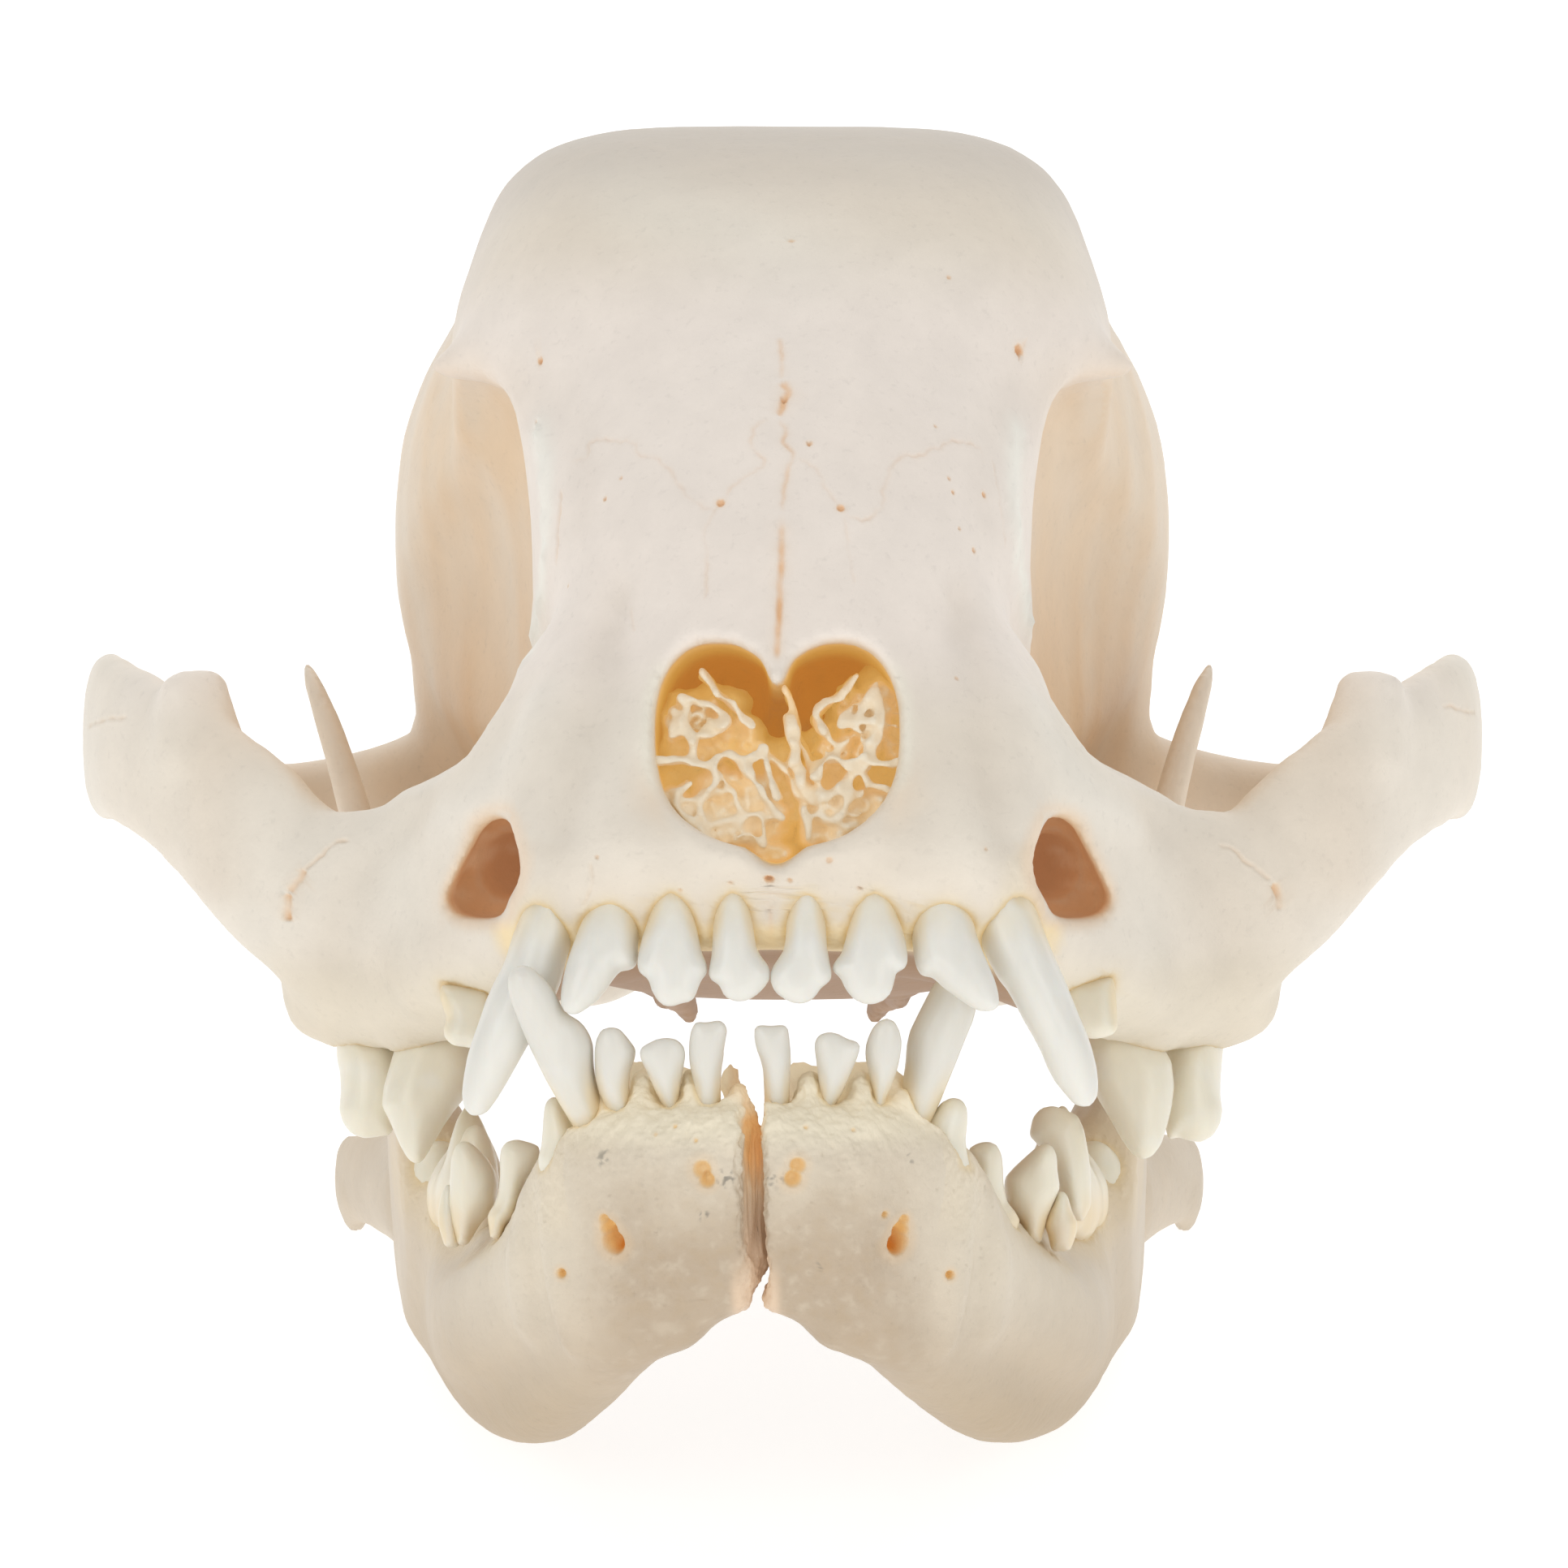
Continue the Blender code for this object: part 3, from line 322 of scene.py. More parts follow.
# the canal under the eye: a three-cornered mouth, narrow at the top, that leads back into the orbit
CANAL = [(Plate([(19.8, -2.2), (21.2, -2.8), (22.1, -4.6), (23.2, -6.8), (23.8, -8.3), (23.2, -9.3), (22.1, -9.7), (20.3, -9.7), (19.6, -9.3), (19.2, -8.3), (18.5, -7.1), (18.2, -5.6), (18.6, -4.1), (19.2, -2.6)], lambda a, b: 17.0 + 0*a, lambda a, b: 9.0 + 0*a, r=0.5, per=3, xr=(8, 26), axes="xz"), 0.6),
         (Tube([(20.6, 22, -6.2, 1.9, 2.5), (19.4, 28, -5.8, 1.9, 2.3), (16.8, 35, -4.4, 1.8, 2.1), (17.4, 44, -1.5, 2.0, 2.4)], n=2.3), 0.8)]

def cranium():
    F = Field()
    a, c = F.add, F.cut
    # braincase and forehead
    a(Blob((0, 87, 20), (30.9, 35.5, 27.0), 2.3, 2.2), 0)
    a(Blob((0, 66, 24.5), (24.3, 35, 26.2), 4.4, 2.5), 5)
    a(Blob((0, 96, 16), (27, 26, 22), 2.4, 2.4), 5)
    # base of the skull
    a(Tube([(0, 44, -9, 7, 4), (0, 60, -7, 8, 5), (0, 80, -6, 9.5, 5), (0, 100, -5.5, 10, 5), (0, 116, -4.5, 8, 4.5)], n=2.6), 5)
    a(Blob((0, 84, 2), (22, 28, 11)), 6)
    # nose, brow and upper face
    a(Blob((0, 52, 31), (24.4, 21.0, 13), 2.6, 2.2), 5)
    a(Tube([(0, 14.5, 1.5, 10.5, 8.5), (0, 20, 6, 13.2, 11.0), (0, 27, 12, 16.4, 14), (0, 36, 18, 19, 17), (0, 46, 22, 20.5, 18)], n=2.2, cap=0.5, per=9), 5)
    a(Blob((0, 50, 6), (22, 22, 19), 2.6, 2.2), 4)
    # lower face, and its slope out to the cheeks
    a(Blob((0, 26, -3.5), (19.5, 19.5, 10), 2.3, 2.1), 6)
    a(Blob((15.5, 24.5, -3.5), (7.5, 10.5, 9.5), 2, 2, rot(rz=-34)), 7)
    a(Tube([(8, 20, -2, 6, 8), (13, 23, -2, 6.4, 9), (19, 28, -4.4, 6.0, 8.6), (26, 33, -8.3, 5, 7.5), (33, 37.5, -10.0, 4, 6.6)], n=2.3, per=8), 7)
    # orbit and temporal hollow
    c(ORBIT, 0.9)
    # the hollow under the brow, and the brow's corner that stands over it
    c(Blob((26.4, 45, 22), (8.2, 12.5, 9.5), 2.5, 2.6), 0.8)
    a(Tube([(15, 43, 34.2, 5.5, 4), (20.2, 44.2, 32.9, 3.2, 2.2), (24.0, 45.6, 31.9, 1.6, 1.1), (26.2, 46.6, 31.4, 0.8, 0.5)], n=2.2), 2.5)
    # upper jaw
    a(Tube([(0, 8.0, -5.3, 4.0, 3.4), (6, 8.4, -5.2, 4.1, 3.8), (12, 11.0, -5.8, 4.6, 4.6), (17, 17.6, -9, 4.9, 5.4), (22.5, 28, -12, 5, 6.0), (28, 37, -14, 5, 5.6), (30, 46, -15.6, 4.2, 4.4), (27, 54, -16.5, 3.4, 3.6)], n=2.4, per=8), 3)
    # its lower edge, which comes down between the necks of the teeth
    a(Tube([(0, 7.9, -9.2, 2.1, 2.6), (6, 8.2, -9.2, 2.2, 2.7), (11, 10.2, -9.0, 2.3, 2.8), (15.4, 14.6, -9.6, 2.6, 3.0), (18, 19, -11.5, 2.8, 3.2)], n=2.3, per=6), 1.2)
    # the ridge over the eye tooth's root
    a(Tube([(13.0, 11, -6, 3.4, 4), (13.4, 16.5, 1, 3.0, 4), (13.6, 23.5, 8, 2.6, 4.0)]), 5)
    a(Tube([(16.3, 13.2, -5.6, 3.2, 3.3), (15.6, 13.8, -3, 3.3, 3.7), (14.6, 16, 2, 3.0, 3.6), (14, 20, 7, 2.6, 3.4)], cap=0.6), 2)
    a(Blob((0, 30, -8.5), (19, 24, 4.6), 3, 2.4, rot(rx=-14)), 3)
    # the edge over the cheek teeth, with the bulges of their roots
    a(Tube([(20.6, 19.6, -12.2, 2.2, 2.6), (23.4, 22.6, -12.8, 2.2, 2.6), (26, 27, -13.6, 2.4, 3)], n=2.2), 1.5)
    a(Tube([(26.6, 33.5, -9, 2.0, 2.0), (26.9, 33.9, -14, 2.6, 2.6), (26.9, 34.6, -18.2, 2.3, 2.3)], up=(0, 1, 0), per=4), 1.4)
    a(Tube([(30.4, 39.5, -12, 2.0, 2.0), (30.7, 39.4, -16, 2.3, 2.3), (30.7, 40.4, -19.0, 1.8, 1.8)], up=(0, 1, 0), per=4), 1.2)
    # the swelling under the cheek
    a(Tube([(30.5, 37, -12.6, 4.2, 4.8), (33.6, 41, -14.6, 3.7, 4.6), (33.4, 46, -15.8, 3, 3.6)], n=2.3), 2.5)
    # cheek arch
    a(Tube([(32, 35.5, -9.2, 3.8, 7.0), (36, 37.6, -7.6, 3.4, 6.3), (40.5, 41, -3.4, 3.0, 6.4), (45.2, 46.5, 0.4, 2.6, 6.0), (49.8, 54, 3, 2.3, 6.0), (51.9, 63, 3.6, 2.2, 6.4), (51.4, 73, 2.2, 2.3, 5.0), (47.6, 82, -0.6, 2.8, 4.2), (41, 89, -2.4, 4.2, 4.0), (32, 92, -1.5, 5.5, 4.5), (24, 92, 0, 6, 6)], n=2.4, per=6), 2)
    a(Tube([(43.4, 44.5, 2, 3.0, 2.2), (44.3, 45.6, 7.6, 2.5, 1.7)], up=(0.5, 1, 0), n=2.8, cap=0.5), 1.8)
    a(Tube([(30.5, 94, -4, 3.0, 2.4), (32, 94.2, -9.5, 2.6, 1.6)], up=(0, 1, 0)), 2)
    # the braincase runs out into the root of the arch
    a(Tube([(25, 84, 6, 3.4, 5), (26.4, 86, 1.6, 3.6, 4.2), (31, 89, -1.4, 3.4, 3.2)], n=2), 3)
    # jaw joint hollow
    c(Tube([(25.5, 87.4, -8.2, 3.15 + JOINT_GAP, 3.15 + JOINT_GAP), (45.5, 87.8, -7.8, 3.15 + JOINT_GAP, 3.15 + JOINT_GAP)]), 0.5)
    # pterygoids and hamuli
    a(Tube([(9, 50, -10, 1.6, 6), (9, 60, -10.5, 1.3, 7), (8.6, 70, -10, 1.3, 7), (8.4, 76, -8, 1.4, 5)], n=2.4), 2)
    a(Tube([(8, 67, -15, 1.1, 2.0), (7.2, 72.5, -18, 0.9, 0.9)]), 1.5)
    # bullae, occiput
    a(Blob((16.5, 100, -8), (9.0, 11.5, 10.2), 2, 2, rot(rz=18)), 2.5)
    a(Tube([(0, 116.5, 31, 2.8, 3.4), (10, 116, 29, 2.6, 2.8), (19, 113, 22, 2.4, 2.6), (25.5, 109, 12, 2.4, 2.6), (28, 105, 3, 2.8, 3)], n=2, per=6), 3.5)
    a(Tube([(19, 110, -2, 3.4, 3.2), (20.5, 113, -9, 2.6, 2.4), (20.2, 113.5, -14, 1.6, 1.6)], up=(0, 1, 0)), 2.5)
    a(Blob((8.2, 120.5, 0), (4.6, 5.6, 7.4), 2, 2, rot(rz=-26, rx=12)), 2)
    F.lift(Line([(0, 96, 48.5), (0, 104, 45), (0, 112, 39), (0, 116, 33)], 0.9, 2.0))
    # the hole for the spinal cord
    c(Blob((0, 122, 5.5), (7.6, 13, 6.6)), 1)
    # nose, canals, choanae, ear
    for f, k in NOSE: c(f, k)
    for f, k in CANAL: c(f, k)
    c(Tube([(0, 56, -13, 6.6, 4.8), (0, 66, -13.5, 6.6, 5), (0, 84, -15, 6.8, 5)], n=2.6), 1.5)
    c(Tube([(34, 100, -3, 2.6, 2.6), (24, 100, -4, 2.6, 2.6)]), 0.8)
    return F

class Seam:
    """The inner face of a jaw half. It opens to the front, and behind it bows to one side, so that the two faces follow each other."""
    def __init__(s, way): s.way = way; s.lo, s.hi = np.full(3, -1e9), np.full(3, 1e9)
    def __call__(s, x, y, z):
        open_ = np.maximum(0.80 - 0.07*(y - 4), 0.42)
        bow = 1.3*smooth(5.2, 8.4, y)*smooth(-36.4, -34.0, z)
        return open_ + s.way*bow - x

def mandible(way=1):
    F = Field()
    a, c, k = F.add, F.cut, F.keep
    # body: rows of x, y, z, half thickness, half height
    a(Tube([(-6, 7.6, -30.6, 3.6, 8.4), (0, 7.6, -30.6, 3.6, 8.4), (4.4, 8.4, -30.8, 3.6, 8.4), (7.4, 9.9, -31.5, 3.8, 9.0), (11, 14, -33.6, 4.1, 8.6), (14.4, 23, -38.0, 4.2, 8.0), (17.4, 34, -40.4, 4.3, 8.3), (20.4, 46, -40.2, 4.4, 8.4), (23.4, 58, -36.6, 4.0, 9.6), (26, 68, -33, 3.0, 9.6)], up=(0, -0.35, 1), n=2.6, per=6), 0)
    # ramus
    mid = lambda y, z: 25.8 + 0.17*(z+35)*(z > -35) + 0.0052*np.maximum(z+10, 0)**2 + 0.05*(y-70)
    half = lambda y, z: np.interp(z, [-35, -10, 1, 4.5, 7.6, 9.6], [2.1, 1.55, 1.15, 1.0, 0.72, 0.3])
    a(Plate([(53, -34), (58, -22), (62, -10), (65.5, 2), (69, 9.0), (73.5, 10.3), (77.5, 6.8), (80, 0), (81.5, -6), (85, -8.5), (91, -9), (91, -15), (89.5, -22), (92, -28), (95, -32.5), (91, -36.5), (83, -38.2), (73, -40.6), (60, -41.6)], mid, half, r=1.1, xr=(20, 42)), 3)
    # condyle
    a(Tube([(28.5, 87.2, -8.6, 2.2, 2.6), (35, 87.6, -8.0, 3.0, 3.1), (42.4, 87.8, -7.9, 2.3, 2.6)]), 2)
    a(Tube([(35, 88, -10, 3.2, 4), (32, 87, -18, 1.8, 4)], up=(0, 1, 0)), 2)
    # angular process
    a(Tube([(28.5, 82, -33, 2.2, 4), (31.4, 90, -32, 2.0, 3.8), (34, 95.5, -31.8, 1.3, 3.4)]), 2)
    a(Tube([(33.4, 94, -33, 1.3, 1.6), (33.6, 95.8, -35.6, 0.9, 0.9)]), 1)
    # hollow of the jaw muscle on the outer face
    c(Blob((38.3, 73, -15), (8.4, 9.5, 15), 2, 2), 2.0)
    # the outer wall of the cheek teeth's sockets
    a(Tube([(16.4, 19.5, -36.0, 2.0, 3.2), (19.2, 26, -38.2, 2.5, 3.8), (20.9, 31, -39.4, 2.8, 4.0), (22.0, 37, -40.0, 3.0, 4.2), (23, 46, -39.5, 2.6, 4.6)], n=2.3), 2.5)
    # the bulges of the roots behind the eye tooth
    a(Tube([(16.0, 15.9, -30.4, 1.3, 1.3), (16.2, 16.4, -34, 2.0, 2.0), (16.0, 17.0, -38.5, 1.6, 1.6)], up=(0, 1, 0), per=4), 1.2)
    a(Tube([(13.9, 12.4, -28.0, 1.2, 1.2), (13.8, 12.2, -31, 1.7, 1.7), (13.5, 12.0, -36, 1.6, 1.6), (13.2, 12.4, -40, 0.9, 0.9)], up=(0, 1, 0), per=4), 1.0)
    a(Tube([(12.1, 10.9, -26.4, 0.9, 0.9), (12.1, 10.5, -29.4, 1.3, 1.3), (11.9, 10.6, -33, 1.0, 1.0)], up=(0, 1, 0), per=4), 1.0)
    # the inner wall behind the front teeth
    a(Tube([(3.6, 9.9, -22.8, 0.8, 2.2), (6.2, 10.3, -22.4, 0.9, 2.9), (9.0, 11.8, -22.6, 0.9, 2.8), (11.6, 14.0, -24.2, 1.0, 2.4)], cap=0.5), 1.0)
    # bone that comes up between the roots of the front teeth
    for x, y, z, w, h in ((0.9, 7.2, -22.4, 0.7, 1.6), (4.15, 7.7, -22.3, 1.15, 2.2), (7.75, 8.8, -22.4, 1.15, 2.2), (10.6, 10.6, -23.2, 0.9, 1.8)):
        a(Blob((x, y, z), (w, 1.9, h)), 1.1)
    # the inner edge of the sockets, seen between the front teeth
    for x, z, w, h in (((1.5, -21.4, 0.75, 1.7),) if way < 0 else ((0.45, -21.6, 0.5, 1.4), (3.25, -21.3, 0.95, 1.8))):
        a(Blob((x, 10.2, z), (w, 1.0, h)), 0.8)
    c(Blob((0, 8, -41.9), (4.7, 9, 4.6)), 1.0)
    k(Seam(way), 0.6)
    return F

# ---------------------------------------------------------------- teeth
class Tooth:
    """A tooth by its outline from the camera, in camera points, swollen to a thickness. gum, tip: camera point and depth y of the middle of the neck and of the tip. thick: half thickness at both. r: how wide its rounded edge is."""
    def __init__(s, outline, gum, tip, thick, r, bow=0.0, per=1):
        P = np.asarray(outline, float)
        s.Q = spline(np.vstack([P[-1], P, P[:2]]), per)[per:-per]
        s.Q = s.Q[:-1] if np.hypot(*(s.Q[0] - s.Q[-1])) < 1e-6 else s.Q
        s.g, s.t, s.thick, s.r, s.bow = np.array(gum, float), np.array(tip, float), thick, r, bow
        y = np.array([min(s.g[2] - thick[0], s.t[2] - thick[1]) - bow - 0.2, s.g[2] + thick[0] + 0.6*abs(s.g[2] - s.t[2])]); f = (600 + y)/10570
        x = np.concatenate([(s.Q[:, 0] - 966)*k for k in f]); z = np.concatenate([(966 - s.Q[:, 1])*k for k in f])
        s.lo, s.hi = np.array([x.min(), y[0], z.min()]), np.array([x.max(), y[1], z.max()])
    def __call__(s, x, y, z):
        f = (600 + y)/10570; u, v = 966 + x/f, 966 - z/f
        d = outline_distance(s.Q, u, v)*f
        e = s.t[:2] - s.g[:2]; t = np.clip(((u - s.g[0])*e[0] + (v - s.g[1])*e[1])/(e @ e), -0.6, 1)
        c = np.clip(t, 0, 1)
        mid = s.g[2] + (s.t[2] - s.g[2])*t - s.bow*4*c*(1 - c)
        h = s.thick[0] + (s.thick[1] - s.thick[0])*c**1.6
        return np.sqrt(np.maximum(d + s.r, 0)**2 + ((y - mid)*s.r/h)**2) - s.r

def tooth(*row):
    F = Field(); F.add(Tooth(*row), 0); return F

class Leant:
    """A field drawn for the right side, measured from the middle of its own jaw, on its own side and with the lean of its jaw."""
    def __init__(s, F, side, lean): s.F, s.way, s.lean = F, 1 if side == "right" else -1, lean
    def at(s, P):
        return s.F.at(np.stack([s.way*(P[:, 0] - s.lean(P[:, 1], P[:, 2])), P[:, 1], P[:, 2]], 1))
    def bounds(s, extra=3.0):
        lo, hi = s.F.bounds(extra + 3.0)
        return (lo, hi) if s.way > 0 else (np.array([-hi[0], lo[1], lo[2]]), np.array([-lo[0], hi[1], hi[2]]))

def crown(p, q, rows, turn=0, bow=0.0, n=2.3):
    """A tooth on the line from gum centre p to tip q. rows: (place along it, half breadth, half depth). turn is the turn of its breadth about its axis."""
    p, q = np.array(p, float), np.array(q, float)
    t = math.radians(turn); up = np.array((-math.sin(t), math.cos(t), 0))
    R = [(*(p + (q - p)*s + up*bow*math.sin(math.pi*min(max(s, 0), 1))), w, d) for s, w, d in rows]
    return Tube(R, up=up, n=n, per=3)

def bump(p, q, s, side, r, turn=0, out=0.0):
    """A small lobe beside a crown: at s along it, so far to a side."""
    p, q = np.array(p, float), np.array(q, float); t = math.radians(turn)
    b = np.array((math.cos(t), math.sin(t), 0)); d = np.array((-math.sin(t), math.cos(t), 0))
    return Blob(p + (q - p)*s + b*side + d*out, r)

def upper_back():
    """The upper molars, right side."""
    T = {}
    F = Field()                        # M1
    F.add(Blob((27.4, 47.2, -19.0), (5.8, 4.4, 3.0), 2.4, 2.2, rot(rz=-10)), 0)
    for c, t, w, k in (((30.4, 45.4, -19.6), (30.8, 45.0, -25.2), 2.1, 1.0), ((30.0, 49.2, -19.4), (30.3, 49.2, -24.2), 1.9, 1.0), ((24.2, 46.6, -19.4), (24.0, 46.6, -23.0), 1.9, 1.0)):
        F.add(crown(c, t, [(-0.3, w, w), (0.2, w*1.05, w), (0.6, w*0.75, w*0.75), (0.9, w*0.45, w*0.45), (1, w*0.22, w*0.22)], 0), k)
    T["M1"] = F
    F = Field()                        # M2
    F.add(Blob((25.4, 54.0, -18.4), (4.0, 2.8, 2.6), 2.4, 2.2, rot(rz=-14)), 0)
    for c, t, w in (((27.4, 53.2, -18.8), (27.6, 53.2, -22.6), 1.5), ((23.6, 53.6, -18.8), (23.6, 53.6, -21.6), 1.4)):
        F.add(crown(c, t, [(-0.3, w, w), (0.2, w, w), (0.7, w*0.65, w*0.65), (1, w*0.25, w*0.25)], 0), 0.8)
    T["M2"] = F
    return T

def lower_back():
    """The lower shearing blade and the molars behind it, right side."""
    T = {}
    F = Field()                        # m1, the lower shearing blade
    F.add(Blob((22.3, 44.6, -31.4), (2.5, 7.4, 2.8), 2.5, 2.4, rot(rz=-14)), 0)
    F.add(crown((21.2, 39.8, -31.4), (21.1, 39.0, -26.2), [(-0.2, 2.7, 1.9), (0.2, 2.7, 1.9), (0.6, 1.9, 1.4), (0.9, 1.1, 0.8), (1, 0.5, 0.4)], 76), 1.0)
    F.add(crown((22.1, 44.2, -31.4), (22.3, 44.0, -24.4), [(-0.2, 3.1, 2.2), (0.2, 3.1, 2.2), (0.55, 2.2, 1.7), (0.85, 1.2, 1.0), (0.96, 0.7, 0.6), (1, 0.4, 0.35)], 76), 1.0)
    F.add(crown((23.5, 49.4, -31.2), (23.6, 49.4, -27.8), [(-0.2, 2.1, 2.1), (0.3, 2.1, 2.0), (0.8, 1.3, 1.2), (1, 0.7, 0.6)], 76), 1.0)
    T["m1"] = F
    F = Field(); F.add(Blob((25.0, 55.4, -30.2), (2.4, 3.2, 2.6), 2.4, 2.2, rot(rz=-14)), 0)
    F.add(Blob((24.9, 54.0, -28.2), (1.2, 1.2, 1.0)), 0.8); F.add(Blob((25.3, 56.8, -28.2), (1.2, 1.2, 0.9)), 0.8)
    T["m2"] = F
    F = Field(); F.add(Blob((26.2, 60.6, -29.2), (1.6, 1.7, 2.2), 2.2, 2.2), 0); T["m3"] = F
    return T

